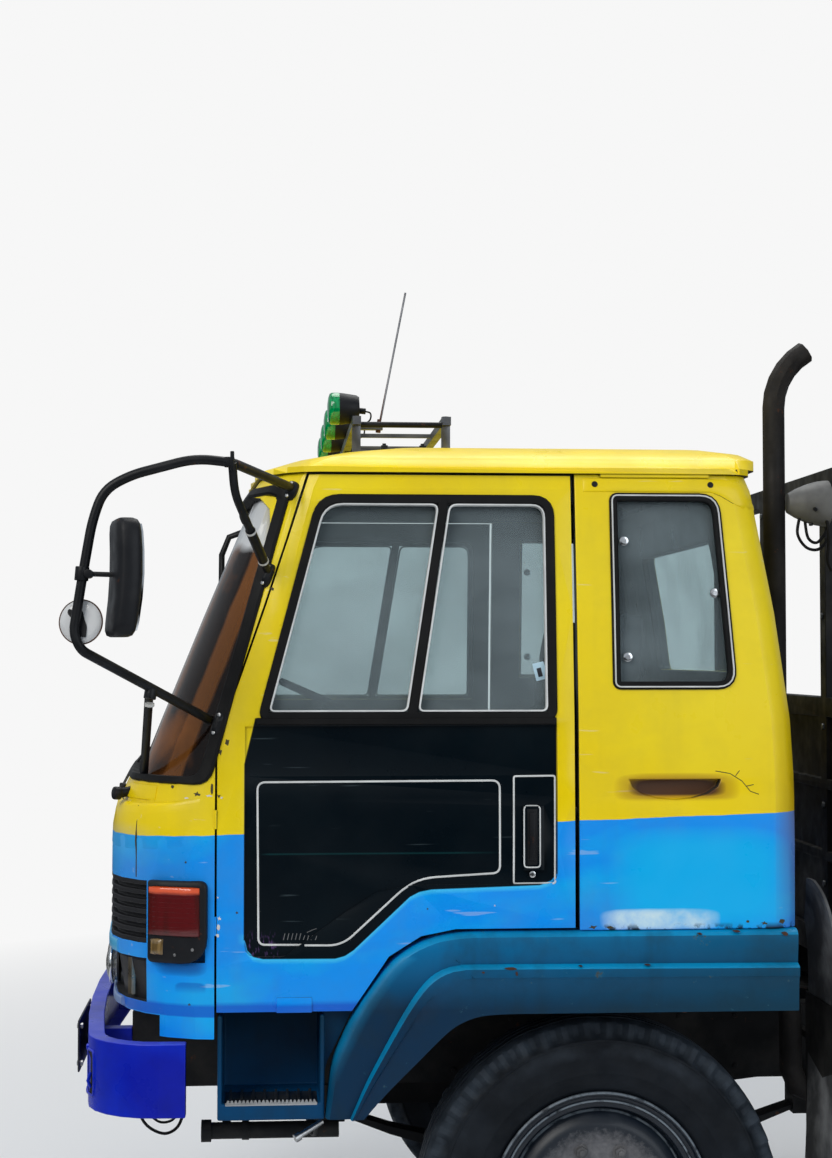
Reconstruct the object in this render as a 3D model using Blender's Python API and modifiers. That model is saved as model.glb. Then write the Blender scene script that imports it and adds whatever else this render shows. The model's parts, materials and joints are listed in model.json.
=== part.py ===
"""Cab-over flatbed truck with a tilting day-and-bunk cab, modelled from its named sizes.

Metres, +Z up. The truck faces -X, its left side is -Y. Everything is drawn in axle
coordinates (x = 0 at the front axle, z = 0 on the ground), and the empty named truck
shifts it so that the origin lies under the middle of its length.
"""

import math

import bmesh
import bpy
from mathutils import Matrix, Vector

# Fits
SEAT_GAP = 0.0003
DOOR_GAP = 0.006
CUT_OVERRUN = 0.3
WELD_DISTANCE = 0.00001
TUBE_RESOLUTION = 2
SMOOTH_ANGLE = math.radians(35)
CORNER_STEPS = 3
BOW_STEPS = 3
REAR_STEPS = 3

# Running gear
TYRE_RADIUS = 0.5
TYRE_WIDTH = 0.235
TYRE_SIDES = 24
RIM_RADIUS = 0.298
RIM_SEAT_RADIUS = 0.262
WHEELBASE = 3.75
FRONT_TRACK_HALF = 0.87
REAR_TWIN_MIDDLE = 0.84
TWIN_PITCH = 0.29
KINGPIN_INSET = 0.17
KINGPIN_Y = FRONT_TRACK_HALF - KINGPIN_INSET
STUD_CIRCLE_RADIUS = 0.143
HAND_HOLE_COUNT = 6
HAND_HOLE_RADIUS = 0.027
HAND_HOLE_SIDES = 8
HALF_TURN_SHARE = 0.5
RIM_SKIN = 0.012
DISC_SKIN = 0.014
DISC_ROOT_OFFSET = 0.03
DISC_SHOULDER_RADIUS = 0.205
DISC_SHOULDER_OFFSET = 0.075
DISC_FACE_OFFSET = 0.06
HUB_RADIUS = 0.105
HUB_SIDES = 16
HUB_BACK_OFFSET = -0.068
HUB_CAP_RADIUS = 0.06
HUB_CAP_OFFSET = 0.115
SPINDLE_RADIUS = 0.04
SPINDLE_END_OFFSET = 0.04
REAR_CAP_OFFSET = 0.11
REAR_SPINDLE_OFFSET = 0.05
RIM_WIDTH_SHARES = (0.66, 0.745, 0.85)
# Columns: height above the rim and width, as shares of the sidewall and of half the tyre.
SIDEWALL_SHARES = ((0.10, 0.86), (0.40, 1.00), (0.68, 0.955), (0.90, 0.83), (1.00, 0.70))
AXLE_Z = TYRE_RADIUS * math.cos(math.pi / TYRE_SIDES)

# Frame
RAIL_OUTER_Y = 0.43
RAIL_FLANGE = 0.065
RAIL_WEB = 0.008
RAIL_TOP_Z = 0.93
RAIL_HEIGHT = 0.22
RAIL_REAR_X = 5.05
CROSS_WIDTH = 0.08
CROSS_HEIGHT = 0.10
CROSS_INSET = 0.03

# Cab outer form, worked from the side view
CAB_BOTTOM_Z = 1.02
CAB_EAVES_Z = 2.475
CAB_HALF_WIDTH = 1.06
CAB_FRONT_REACH = 1.365
CAB_REAR_REACH = 0.534
CAB_NOSE_DEPTH = 0.33
CAB_NOSE_WIDTH = 0.33
CAB_FRONT_BULGE = 0.025
CAB_REAR_CORNER = 0.07
CAB_WALL = 0.045
ROOF_RISE = 0.095
ROOF_DRIP = 0.014
ROOF_DRIP_HEIGHT = 0.016
ROOF_THICKNESS = 0.03
ARC_STEPS = 6

# Columns: height above the cab's bottom, half width, front reach, nose depth, rear reach,
# as shares of the cab's wall height, half width, front reach, nose depth and rear reach.
CAB_LEVEL_SHARES = (
    (0.000, 0.985, 0.985, 1.00, 0.985),
    (0.095, 1.000, 1.000, 1.00, 0.998),
    (0.320, 1.002, 0.998, 1.00, 1.000),
    (0.398, 1.000, 0.972, 0.98, 1.000),
    (0.438, 0.998, 0.953, 0.96, 0.998),
    (0.540, 0.995, 0.910, 0.91, 0.983),
    (0.740, 0.972, 0.824, 0.77, 0.917),
    (0.970, 0.939, 0.722, 0.61, 0.811),
    (1.000, 0.931, 0.700, 0.58, 0.780),
)
# Columns: height above the drip, half width, front reach, nose depth, rear reach, as shares of
# the roof's rise and of the same cab sizes.
ROOF_LEVEL_SHARES = (
    (0.000, 0.920, 0.690, 0.56, 0.840),
    (0.360, 0.900, 0.648, 0.54, 0.850),
    (0.640, 0.860, 0.575, 0.52, 0.790),
    (0.860, 0.795, 0.480, 0.48, 0.640),
    (1.000, 0.700, 0.330, 0.40, 0.400),
)

# Cab splits
SIDE_ZONE_SHARE = 0.68
RECESS_OVERRUN = 0.05
REAR_SEAM_INSET = 0.16
REAR_SEAM_Y = CAB_HALF_WIDTH - REAR_SEAM_INSET
CAB_REAR_SILL_Z = 1.16

# Door, in the side view
DOOR_REAR_GAP = 0.0115
DOOR_ARCH_GAP = 0.008
DOOR_BOW_SHARE = 0.10
DOOR_STEPS = 4
DOOR_ARCH_HIGH_X = -0.489
DOOR_ARCH_HIGH_Z = 1.225
PANEL_FRONT_X = -0.965
PANEL_REAR_X = -0.130
PANEL_LOW_Z = 1.183
PANEL_TOP_Z = 1.79
PANEL_ARCH_GAP = 0.125
HINGE_PIN_RADIUS = 0.0027
HANDLE_STAND = 0.004
DOOR_FRONT_SETBACK = 0.327
DOOR_FRONT_X = DOOR_FRONT_SETBACK - CAB_FRONT_REACH
DOOR_REAR_X = -0.083
DOOR_SILL_Z = 1.036
DOOR_KNEE_Z = 1.75
DOOR_HEAD_RAKE = 0.243
DOOR_HEAD_X = DOOR_FRONT_X + DOOR_HEAD_RAKE
DOOR_ARCH_FRONT_X = -0.672
DOOR_ARCH_MID_X = -0.575
DOOR_ARCH_MID_Z = 1.172
DOOR_ARCH_TOP_X = -0.396
DOOR_WAIST_Z = 1.815
DOOR_RECESS = 0.008
DOOR_CORNER = 0.03
WINDOW_FRONT_INSET = 0.12
WINDOW_HEAD_RAKE = 0.156
WINDOW_FRONT_X = DOOR_FRONT_X + WINDOW_FRONT_INSET
WINDOW_HEAD_X = WINDOW_FRONT_X + WINDOW_HEAD_RAKE
WINDOW_REAR_X = -0.142
WINDOW_HEAD_Z = 2.402
WINDOW_CORNER = 0.03
GLASS_INSET = 0.02
GLASS_THICKNESS = 0.006
HANDLE_X = -0.195
HANDLE_Z = 1.49
HANDLE_WIDTH = 0.055
HANDLE_HEIGHT = 0.17
HANDLE_DEPTH = 0.022
HINGE_LENGTH = 0.05
HINGE_HEIGHTS = (1.24, 1.52)

# Cab panels
QUARTER_FRONT_X = 0.034
QUARTER_REAR_X = 0.318
QUARTER_SILL_Z = 1.897
QUARTER_HEAD_Z = 2.412
QUARTER_RAKE = 0.036
SCOOP_X = 0.19
SCOOP_Z = 1.645
SCOOP_LENGTH = 0.25
SCOOP_HEIGHT = 0.055
SCOOP_DEPTH = 0.03
SCOOP_STEPS = 8
SCREEN_SILL_Z = 1.64
SCREEN_HEAD_Z = 2.425
SCREEN_EDGE_LOW_SETBACK = 0.273
SCREEN_EDGE_RAKE = 0.216
SCREEN_EDGE_LOW_X = SCREEN_EDGE_LOW_SETBACK - CAB_FRONT_REACH
SCREEN_EDGE_HIGH_X = SCREEN_EDGE_LOW_X + SCREEN_EDGE_RAKE
SCREEN_CORNER = 0.07
REAR_WINDOW_PILLAR = 0.54
REAR_WINDOW_HALF = CAB_HALF_WIDTH - REAR_WINDOW_PILLAR
REAR_WINDOW_LOW_Z = 1.93
REAR_WINDOW_HIGH_Z = 2.32
GRILLE_LOW_Z = 1.212
GRILLE_HIGH_Z = 1.378
GRILLE_SIDE_SETBACK = 0.139
GRILLE_SIDE_X = GRILLE_SIDE_SETBACK - CAB_FRONT_REACH
GRILLE_BARS = 6
GRILLE_BAR_DEPTH = 0.016
LAMP_PANEL_LOW_Z = 1.052
LAMP_PANEL_HIGH_Z = 1.172
FRONT_RECESS = 0.03
HEADLAMP_RADIUS = 0.055
HEADLAMP_YS = (0.50, 0.66)
HEADLAMP_STAND = 0.012
HEADLAMP_SET = 0.0015
LAMP_PANEL_DEPTH = 0.022
CORNER_LAMP_SETBACK = 0.144
CORNER_LAMP_LENGTH = 0.153
CORNER_LAMP_FRONT_X = CORNER_LAMP_SETBACK - CAB_FRONT_REACH
CORNER_LAMP_REAR_X = CORNER_LAMP_FRONT_X + CORNER_LAMP_LENGTH
CORNER_LAMP_LOW_Z = 1.168
CORNER_LAMP_HIGH_Z = 1.378
CORNER_LAMP_STAND = 0.012

# Cab floor and inside
FLOOR_SIDE_GAP = 0.08
FLOOR_FRONT_HALF = CAB_HALF_WIDTH - FLOOR_SIDE_GAP
FLOOR_STEP_X = -0.60
FLOOR_LOW_Z = 1.05
FLOOR_HIGH_Z = 1.24
FLOOR_THICKNESS = 0.04
TUNNEL_HALF = 0.36
TUNNEL_FRONT_X = -0.82
TUNNEL_TOP_Z = 1.38
TUNNEL_WALL = 0.03
DASH_RAKE = 0.05
DASH_LIP = 0.04
DASH_REAR_SETBACK = 0.435
DASH_REAR_X = DASH_REAR_SETBACK - CAB_FRONT_REACH
DASH_LOW_Z = 1.42
DASH_HIGH_Z = 1.62
DASH_SIDE_GAP = 0.09
DASH_HALF = CAB_HALF_WIDTH - DASH_SIDE_GAP
WHEEL_Y = 0.52
WHEEL_X = -0.66
WHEEL_Z = 1.80
WHEEL_RADIUS = 0.215
WHEEL_RIM = 0.014
WHEEL_TILT = math.radians(24)
WHEEL_STEPS = 20
WHEEL_RIM_SIDES = 6
WHEEL_HUB = 0.05
COLUMN_RADIUS = 0.03
SEAT_Y = 0.56
SEAT_HALF = 0.23
SEAT_FRONT_X = -0.42
SEAT_REAR_X = 0.10
SEAT_BASE_Z = 1.43
SEAT_CUSHION = 0.13
SEAT_BACK_TOP_Z = 2.10
SEAT_BACK_RAKE = 0.09
SEAT_BACK_THICKNESS = 0.11
SEAT_INSET = 0.06
BUNK_HALF = 0.85
BUNK_TOP_Z = 1.62

# Cab tilt
TILT_SETBACK = 0.115
TILT_X = TILT_SETBACK - CAB_FRONT_REACH
RAIL_LEAD = 0.05
RAIL_FRONT_X = TILT_X - RAIL_LEAD
FRONT_CROSS_SETBACK = 0.20
CROSS_MEMBER_XS = (RAIL_FRONT_X + FRONT_CROSS_SETBACK, 1.10, 1.95, 2.90, 4.60, 5.01)
TILT_Z = 0.995
TILT_PIN_RADIUS = 0.022
TILT_PIN_HALF = 0.50
TILT_PIN_SIDES = 24
TILT_LUG_Y = 0.46
TILT_LUG_WIDTH = 0.05
TILT_LUG_HALF = 0.036
TILT_CLEARANCE = 0.0004
CAB_REST_X = 0.40
CAB_REST_SIZE = 0.08

# Fender and step, carried by the cab
FENDER_INSET = 0.075
FENDER_UPPER_STAND = 0.018
FENDER_LOWER_STAND = 0.036
FENDER_INNER_Y = CAB_HALF_WIDTH - FENDER_INSET
FENDER_UPPER_Y = CAB_HALF_WIDTH + FENDER_UPPER_STAND
FENDER_LOWER_Y = CAB_HALF_WIDTH + FENDER_LOWER_STAND
FENDER_REAR_X = 0.522
FENDER_TOP_Z = 1.243
FENDER_CREASE = 0.105
FENDER_SHIN_X = -0.735
FENDER_SHIN_Z = 0.90
ARCH_REAR_X = 0.522
ARCH_TOP_X = -0.343
ARCH_TOP_Z = 1.030
ARCH_BEND_X = -0.449
ARCH_BEND_Z = 1.010
ARCH_LOW_X = -0.555
ARCH_LOW_Z = 0.914
ARCH_TOE_X = -0.66
FENDER_SKIN = 0.012
FENDER_TOE_X = -0.752
FENDER_TOE_Z = 0.76
STEP_FRONT_INSET = 0.003
STEP_FRONT_X = DOOR_FRONT_X + STEP_FRONT_INSET
STEP_REAR_X = FENDER_TOE_X - SEAT_GAP
STEP_TOP_Z = 1.026
STEP_SHELL_Y = FENDER_INNER_Y
STEP_BOTTOM_Z = 0.752
STEP_WELL_DEPTH = 0.185
STEP_BACK_Y = STEP_SHELL_Y - STEP_WELL_DEPTH
STEP_OUTER_INSET = 0.015
STEP_OUTER_Y = CAB_HALF_WIDTH - STEP_OUTER_INSET
STEP_SKIN = 0.012
STEP_TREAD_Z = 0.795
VALANCE_SETBACK = 0.175
VALANCE_FRONT_X = VALANCE_SETBACK - CAB_FRONT_REACH
VALANCE_LOW_Z = 0.965

# Bumper
BUMPER_STAND = 0.07
BUMPER_LENGTH = 0.317
BUMPER_FRONT_X = -CAB_FRONT_REACH - BUMPER_STAND
BUMPER_REAR_X = BUMPER_FRONT_X + BUMPER_LENGTH
BUMPER_SIDE_INSET = 0.01
BUMPER_HALF = CAB_HALF_WIDTH - BUMPER_SIDE_INSET
BUMPER_BULGE = 0.045
BUMPER_CORNER = 0.20
BUMPER_TOP_Z = 0.955
BUMPER_LOW_Z = 0.762
BUMPER_DEPTH = 0.045
BUMPER_SKIN = 0.007
BUMPER_ARM_Y = 0.41
BUMPER_ARM_SIZE = 0.05

# Mirrors, the long arm on the left and a short one on the right
MIRROR_REACH = 0.28
MIRROR_Y = CAB_HALF_WIDTH + MIRROR_REACH
ARM_RADIUS = 0.0125
MIRROR_HEAD_X = -1.262
MIRROR_HEAD_Z = 2.17
MIRROR_HEAD_HEIGHT = 0.30
MIRROR_HEAD_WIDTH = 0.19
MIRROR_HEAD_DEPTH = 0.07
MIRROR_HEAD_CORNER = 0.03
MIRROR_CLAMP_X = -1.345
MIRROR_CLAMP_ZS = (2.10, 2.25)
# Columns: station along the truck and height of the arm's bends, drawn by hand.
MIRROR_ARM_ROUTE = ((-0.996, 2.464), (-1.089, 2.474), (-1.251, 2.430), (-1.317, 2.392), (-1.344, 2.316),
                    (-1.366, 2.186), (-1.389, 2.035), (-1.371, 1.992))
# Columns: station, distance in from the cab's half width and height of each root in the cab's skin.
MIRROR_ROOTS = ((-0.83, 0.11, 2.43), (-1.05, 0.08, 1.80), (-0.90, 0.07, 2.19), (-1.25, 0.26, 1.60))
# The right mirror sits close by its door, on a short arm. Columns: station, distance out from the
# cab's half width and height of the arm's bends.
SHORT_ARM_ROUTE = ((-0.996, 0.28, 2.464), (-1.060, 0.28, 2.440), (-1.088, 0.28, 2.370),
                   (-1.090, 0.28, 2.020), (-1.100, 0.27, 1.950), (-1.090, 0.04, 1.840))
SHORT_ARM_CLAMP_X = -1.09
SHORT_ARM_HEAD_X = -1.035
ROUND_MIRROR_X = -1.372
ROUND_MIRROR_Z = 2.062
ROUND_MIRROR_RADIUS = 0.06
ROUND_MIRROR_DEPTH = 0.03
ROUND_MIRROR_SLANT_SHARE = 0.35

# Roof rack and marker lamps
RACK_FRONT_X = -0.655
RACK_REAR_X = -0.398
RACK_HALF = 0.74
RACK_TOP_Z = 2.66
RACK_BAR = 0.024
MARKER_RADIUS = 0.045
MARKER_BACK_SHARE = 0.75
MARKER_FRONT_X = -0.725
MARKER_Z = 2.70
MARKER_YS = (0.19, 0.58)
RACK_POST_Y = 0.70
RACK_FOOT_Z = 2.555
RACK_BAR_SHARES = (-0.5, 0, 0.5)
ANTENNA_RADIUS = 0.003
ANTENNA_FOOT_X = -0.58
ANTENNA_TIP_X = -0.50
ANTENNA_Y = -0.50
ANTENNA_TIP_Z = 3.06

# Engine and driveline
ENGINE_FRONT_X = -0.68
ENGINE_REAR_X = 0.30
ENGINE_HALF = 0.30
ENGINE_LOW_Z = 0.62
ENGINE_TOP_Z = 1.18
GEARBOX_REAR_X = 0.95
GEARBOX_HALF = 0.19
GEARBOX_TOP_Z = 0.98
PROP_RADIUS = 0.045
PROP_FRONT_Z = 0.76
SHAFT_GAP = 0.006
ENGINE_MOUNT_X = -0.40
ENGINE_MOUNT_LENGTH = 0.10
ENGINE_MOUNT_Z = 0.80
ENGINE_MOUNT_HEIGHT = 0.09

# Axles and springs
BEAM_HEIGHT = 0.09
BEAM_DEPTH = 0.08
BEAM_DROP = 0.09
BEAM_EYE_REACH = 0.10
BEAM_EYE_HALF = 0.06
BEAM_EYE_RADIUS = 0.045
KNUCKLE_PLATE = 0.02
KNUCKLE_STEP = 0.002
KNUCKLE_REACH = 0.075
KNUCKLE_ARM = 0.04
KNUCKLE_ARM_REACH = 0.16
FRONT_SPRING_HALF_LENGTH = 0.72
REAR_SPRING_HALF_LENGTH = 0.66
SPRING_Y = 0.39
SPRING_WIDTH = 0.07
SPRING_LEAF = 0.012
SPRING_LEAVES = 5
SPRING_EYE_Z = 0.64
HANGER_WIDTH = 0.09
HANGER_DROP = 0.04
SPRING_BITE = 0.004
SPRING_STATIONS = 4
SPRING_REAR_LIFT = 0.03
HOUSING_RADIUS = 0.065
DIFF_RADIUS = 0.185
DIFF_HALF = 0.16
HOUSING_HALF = 0.56
DIFF_NOSE = 0.30

# Tanks and boxes
TANK_FRONT_X = 1.30
TANK_REAR_X = 2.30
TANK_INNER_Y = 0.46
TANK_OUTER_Y = 0.98
TANK_LOW_Z = 0.42
TANK_TOP_Z = 0.86
BATTERY_REAR_X = 1.95
TANK_CORNER = 0.03
STACK_X = 0.625
STACK_Y = 0.46
STACK_RADIUS = 0.034
STACK_TOP_Z = 2.93
STACK_TIP = 0.20
STACK_STEPS = 5
STACK_BEND = 0.07
BEND_MID_SHARE = 0.707
MUFFLER_RADIUS = 0.095
MUFFLER_FRONT_X = 0.74
MUFFLER_REAR_X = 1.20
MUFFLER_Y = 0.60
MUFFLER_Z = 0.70
FLAP_X = 0.63
FLAP_TOP_Z = 1.02
FLAP_LOW_Z = 0.40
FLAP_THICKNESS = 0.01
FLAP_INNER_Y = 0.74
FLAP_OUTER_Y = 1.04
FLAP_BAR = 0.02
FLAP_STAY_X = 0.68
FLAP_STAY_Z = 0.85

# Load bed
BED_FRONT_X = 0.80
BED_REAR_X = 5.15
BED_HALF = 1.125
SUBRAIL_HEIGHT = 0.12
BEARER_HEIGHT = 0.08
BEARER_WIDTH = 0.06
BEARER_COUNT = 9
BED_FLOOR = 0.035
RAVE_HEIGHT = 0.13
RAVE_THICKNESS = 0.03
PLANK_COUNT = 12
GROOVE = 0.006
HEADBOARD_DEPTH = 0.06
HEADBOARD_POST = 0.06
HEADBOARD_TOP_Z = 2.49
RIB_HEIGHTS = (1.35, 1.57)
HEADBOARD_SHEET_TOP_Z = 1.79
HEADBOARD_SHEET = 0.012
WORK_LAMP_Y = 0.46
WORK_LAMP_Z = 2.44
WORK_LAMP_RADIUS = 0.068
WORK_LAMP_LENGTH = 0.135
WORK_LAMP_GAP = 0.01
WORK_LAMP_BACK_SHARE = 0.35
MUDGUARD_SKIN = 0.012
MUDGUARD_STEPS = 10
MUDGUARD_DEGREES = 15
MUDGUARD_INNER_Y = 0.57
MUDGUARD_OUTER_Y = 1.09
TAIL_BAR_HALF = 1.05
TAIL_BAR_Z = 0.62
TAIL_BAR_SIZE = 0.09
TAIL_LAMP_Y = 0.84
TAIL_LAMP_WIDTH = 0.30
TAIL_LAMP_DEPTH = 0.04
TAIL_LAMP_Z = 0.80


def clear_scene():
    for item in list(bpy.data.objects):
        bpy.data.objects.remove(item)


def collection(name):
    group = bpy.data.collections.new(name)
    bpy.context.scene.collection.children.link(group)
    return group


clear_scene()
TRUCK = collection("Flatbed truck")
CUTTERS = collection("Cutters")


def material(name, colour, roughness, metallic=0.0):
    finish = bpy.data.materials.new(name)
    finish.use_nodes = True
    shader = finish.node_tree.nodes["Principled BSDF"]
    shader.inputs["Base Color"].default_value = (*colour, 1.0)
    shader.inputs["Roughness"].default_value = roughness
    shader.inputs["Metallic"].default_value = metallic
    finish.diffuse_color = (*colour, 1.0)
    return finish


YELLOW = material("yellow_paint", (0.72, 0.58, 0.02), 0.35)
TEAL = material("teal_paint", (0.01, 0.26, 0.44), 0.5)
ULTRAMARINE = material("ultramarine_paint", (0.01, 0.02, 0.6), 0.35)
BLACK = material("black_paint", (0.012, 0.02, 0.025), 0.4)
CHASSIS = material("chassis_paint", (0.03, 0.03, 0.032), 0.6)
RUBBER = material("rubber", (0.02, 0.02, 0.02), 0.8)
GALVANISED = material("galvanised", (0.3, 0.32, 0.34), 0.5, 0.9)
GLASS = material("glass", (0.3, 0.4, 0.42), 0.05)
PLASTIC = material("dark_plastic", (0.03, 0.03, 0.03), 0.6)
CLOTH = material("seat_cloth", (0.06, 0.06, 0.07), 0.9)
RED_LENS = material("red_lens", (0.45, 0.03, 0.02), 0.2)
WOOD = material("deck_wood", (0.24, 0.15, 0.08), 0.8)


def scratch(mesh):
    """An unnamed working solid, kept out of the model until it is finished."""
    piece = bpy.data.objects.new("working solid", mesh)
    CUTTERS.objects.link(piece)
    piece.hide_render = True
    piece.display_type = "WIRE"
    return piece


def from_bmesh(form):
    bmesh.ops.recalc_face_normals(form, faces=form.faces)
    mesh = bpy.data.meshes.new("solid")
    form.to_mesh(mesh)
    form.free()
    return scratch(mesh)


def box(low, high):
    low, high = Vector(low), Vector(high)
    form = bmesh.new()
    bmesh.ops.create_cube(form, size=1)
    bmesh.ops.scale(form, verts=form.verts, vec=high - low)
    bmesh.ops.translate(form, verts=form.verts, vec=(low + high) / 2)
    return from_bmesh(form)


def rod(start, end, radius, sides, end_radius=None):
    start, end = Vector(start), Vector(end)
    along = end - start
    turn = along.to_track_quat("Z", "Y").to_matrix().to_4x4()
    form = bmesh.new()
    bmesh.ops.create_cone(
        form, cap_ends=True, segments=sides, radius1=radius,
        radius2=radius if end_radius is None else end_radius, depth=along.length,
        matrix=Matrix.Translation((start + end) / 2) @ turn)
    return from_bmesh(form)


def evaluated(item):
    """The mesh that the viewport shows for an object, in world space."""
    bpy.context.view_layer.update()
    graph = bpy.context.evaluated_depsgraph_get()
    mesh = bpy.data.meshes.new_from_object(item.evaluated_get(graph))
    mesh.transform(item.matrix_world)
    bpy.data.objects.remove(item)
    form = bmesh.new()
    form.from_mesh(mesh)
    bmesh.ops.remove_doubles(form, verts=form.verts, dist=WELD_DISTANCE)
    bmesh.ops.dissolve_degenerate(form, edges=form.edges, dist=WELD_DISTANCE)
    loose = [edge for edge in form.edges if not edge.link_faces]
    bmesh.ops.delete(form, geom=loose, context="EDGES")
    return from_bmesh(form)


PLANES = {
    "XZ": Matrix(((1, 0, 0, 0), (0, 0, -1, 0), (0, 1, 0, 0), (0, 0, 0, 1))),
    "YZ": Matrix(((0, 0, 1, 0), (1, 0, 0, 0), (0, 1, 0, 0), (0, 0, 0, 1))),
    "XY": Matrix.Identity(4),
}
NORMALS = {"XZ": Vector((0, 1, 0)), "YZ": Vector((1, 0, 0)), "XY": Vector((0, 0, 1))}


def prism(outline, low, high, plane="XZ"):
    """A flat outline in a plane, drawn out from low to high across it."""
    curve = bpy.data.curves.new("outline", "CURVE")
    curve.dimensions = "2D"
    curve.fill_mode = "BOTH"
    curve.extrude = (high - low) / 2
    line = curve.splines.new("POLY")
    line.points.add(len(outline) - 1)
    for point, place in zip(line.points, outline):
        point.co = (*place, 0, 1)
    line.use_cyclic_u = True
    item = bpy.data.objects.new("outline", curve)
    CUTTERS.objects.link(item)
    middle = NORMALS[plane] * (low + high) / 2
    item.matrix_world = Matrix.Translation(middle) @ PLANES[plane]
    return evaluated(item)


def tube(points, radius):
    curve = bpy.data.curves.new("route", "CURVE")
    curve.dimensions = "3D"
    curve.bevel_depth = radius
    curve.bevel_resolution = TUBE_RESOLUTION
    curve.use_fill_caps = True
    curve.render_resolution_u = 0
    line = curve.splines.new("POLY")
    line.points.add(len(points) - 1)
    for point, place in zip(line.points, points):
        point.co = (*place, 1)
    item = bpy.data.objects.new("route", curve)
    CUTTERS.objects.link(item)
    return evaluated(item)


def turned(profile, centre, outboard):
    """A closed (radius, offset) profile turned about a wheel's axis."""
    mesh = bpy.data.meshes.new("profile")
    edges = [(index, (index + 1) % len(profile)) for index in range(len(profile))]
    mesh.from_pydata([(radius, 0, offset) for radius, offset in profile], edges, [])
    item = bpy.data.objects.new("profile", mesh)
    CUTTERS.objects.link(item)
    screw = item.modifiers.new("Turn", "SCREW")
    screw.steps = screw.render_steps = TYRE_SIDES
    screw.use_merge_vertices = True
    screw.merge_threshold = WELD_DISTANCE
    half_step = Matrix.Rotation(math.pi / TYRE_SIDES, 4, "Z")
    flat_down = Matrix.Rotation(math.pi / 2, 4, "Z") @ half_step
    upright = Matrix.Rotation(-outboard * math.pi / 2, 4, "X")
    item.matrix_world = Matrix.Translation(centre) @ upright @ flat_down
    return evaluated(item)


def combined(base, others, operation):
    for other in others:
        change = base.modifiers.new(operation, "BOOLEAN")
        change.object = other
        change.operation = operation
        change.solver = "EXACT"
    result = evaluated(base)
    for other in others:
        bpy.data.objects.remove(other)
    return result


def fused(*pieces):
    return combined(pieces[0], pieces[1:], "UNION")


def cut(base, *cutters):
    return combined(base, cutters, "DIFFERENCE")


def shared(base, *limits):
    return combined(base, limits, "INTERSECT")


def mirrored(piece):
    mesh = piece.data.copy()
    mesh.transform(Matrix.Scale(-1, 4, (0, 1, 0)))
    mesh.flip_normals()
    return scratch(mesh)


def copied(piece, offset):
    mesh = piece.data.copy()
    mesh.transform(Matrix.Translation(offset))
    return scratch(mesh)


def empty(name, place, parent=None):
    anchor = bpy.data.objects.new(name, None)
    TRUCK.objects.link(anchor)
    anchor.empty_display_size = TYRE_RADIUS
    anchor.location = place if parent is None else Vector(place) - ANCHOR_PLACES[parent.name]
    anchor.parent = parent
    ANCHOR_PLACES[name] = Vector(place) if parent else Vector((0, 0, 0))
    return anchor


ANCHOR_PLACES = {}


def finished(piece, name, finish, anchor):
    """Names a solid, gives it its material and hangs it on its anchor."""
    piece.name = name
    piece.data.name = name
    piece.hide_render = False
    piece.display_type = "TEXTURED"
    CUTTERS.objects.unlink(piece)
    TRUCK.objects.link(piece)
    piece.data.transform(Matrix.Translation(-ANCHOR_PLACES[anchor.name]))
    piece.parent = anchor
    piece.data.materials.clear()
    piece.data.materials.append(finish)
    piece.data.shade_smooth()
    piece.data.set_sharp_from_angle(angle=SMOOTH_ANGLE)
    return piece


def finished_pair(left, name, finish, anchors):
    right = mirrored(left)
    finished(left, name + "_left", finish, anchors[0])
    finished(right, name + "_right", finish, anchors[1])


def arc(centre, radius, start, end, steps):
    """Points on a circle, with angles in degrees."""
    angles = [math.radians(start + (end - start) * step / steps) for step in range(steps + 1)]
    return [(centre[0] + radius * math.cos(a), centre[1] + radius * math.sin(a)) for a in angles]


def rounded(outline, radii, steps=CORNER_STEPS):
    """An outline with each corner replaced by a tangent arc of its radius."""
    points = []
    for index, corner in enumerate(outline):
        radius = radii[index] if isinstance(radii, (list, tuple)) else radii
        here = Vector(corner)
        before = (Vector(outline[index - 1]) - here).normalized()
        after = (Vector(outline[(index + 1) % len(outline)]) - here).normalized()
        half_angle = before.angle(after) / 2
        if not radius:
            points.append(tuple(here))
            continue
        reach = radius / math.tan(half_angle)
        centre = here + (before + after).normalized() * radius / math.sin(half_angle)
        first, last = here + before * reach - centre, here + after * reach - centre
        turn = first.angle_signed(last)
        for step in range(steps + 1):
            swing = Matrix.Rotation(-turn * step / steps, 2)
            points.append(tuple(centre + swing @ first))
    return points


def inset_outline(outline, distance):
    """An anticlockwise outline drawn in by a distance, with mitred corners."""
    points = []
    for index, corner in enumerate(outline):
        here = Vector(corner)
        before = (here - Vector(outline[index - 1])).normalized()
        after = (Vector(outline[(index + 1) % len(outline)]) - here).normalized()
        inward_before = Vector((-before.y, before.x))
        inward_after = Vector((-after.y, after.x))
        mitre = inward_before + inward_after
        points.append(tuple(here + mitre * distance / (1 + inward_before.dot(inward_after))))
    return points


def plan(front, half, rear, nose_depth, nose_width, bulge, rear_corner, inset):
    """Half of a cab-like plan, from the middle of the nose to the middle of the rear."""
    front, half, rear = front - inset, half - inset, rear - inset
    nose_depth, nose_width = nose_depth - inset, nose_width - inset
    points = []
    edge_y = half - nose_width
    for step in range(BOW_STEPS):
        share = step / BOW_STEPS
        points.append((-front + bulge * share ** 2, edge_y * share))
    centre_x = -front + nose_depth
    for step in range(ARC_STEPS + 1):
        angle = math.pi / 2 * step / ARC_STEPS
        points.append((centre_x - (nose_depth - bulge) * math.cos(angle),
                       edge_y + nose_width * math.sin(angle)))
    corner = rear_corner - inset
    if rear_corner:
        for step in range(REAR_STEPS + 1):
            angle = math.pi / 2 * step / REAR_STEPS
            points.append((rear - corner + corner * math.sin(angle),
                           half - corner + corner * math.cos(angle)))
    else:
        points.append((rear + inset, half))
    return points


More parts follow.
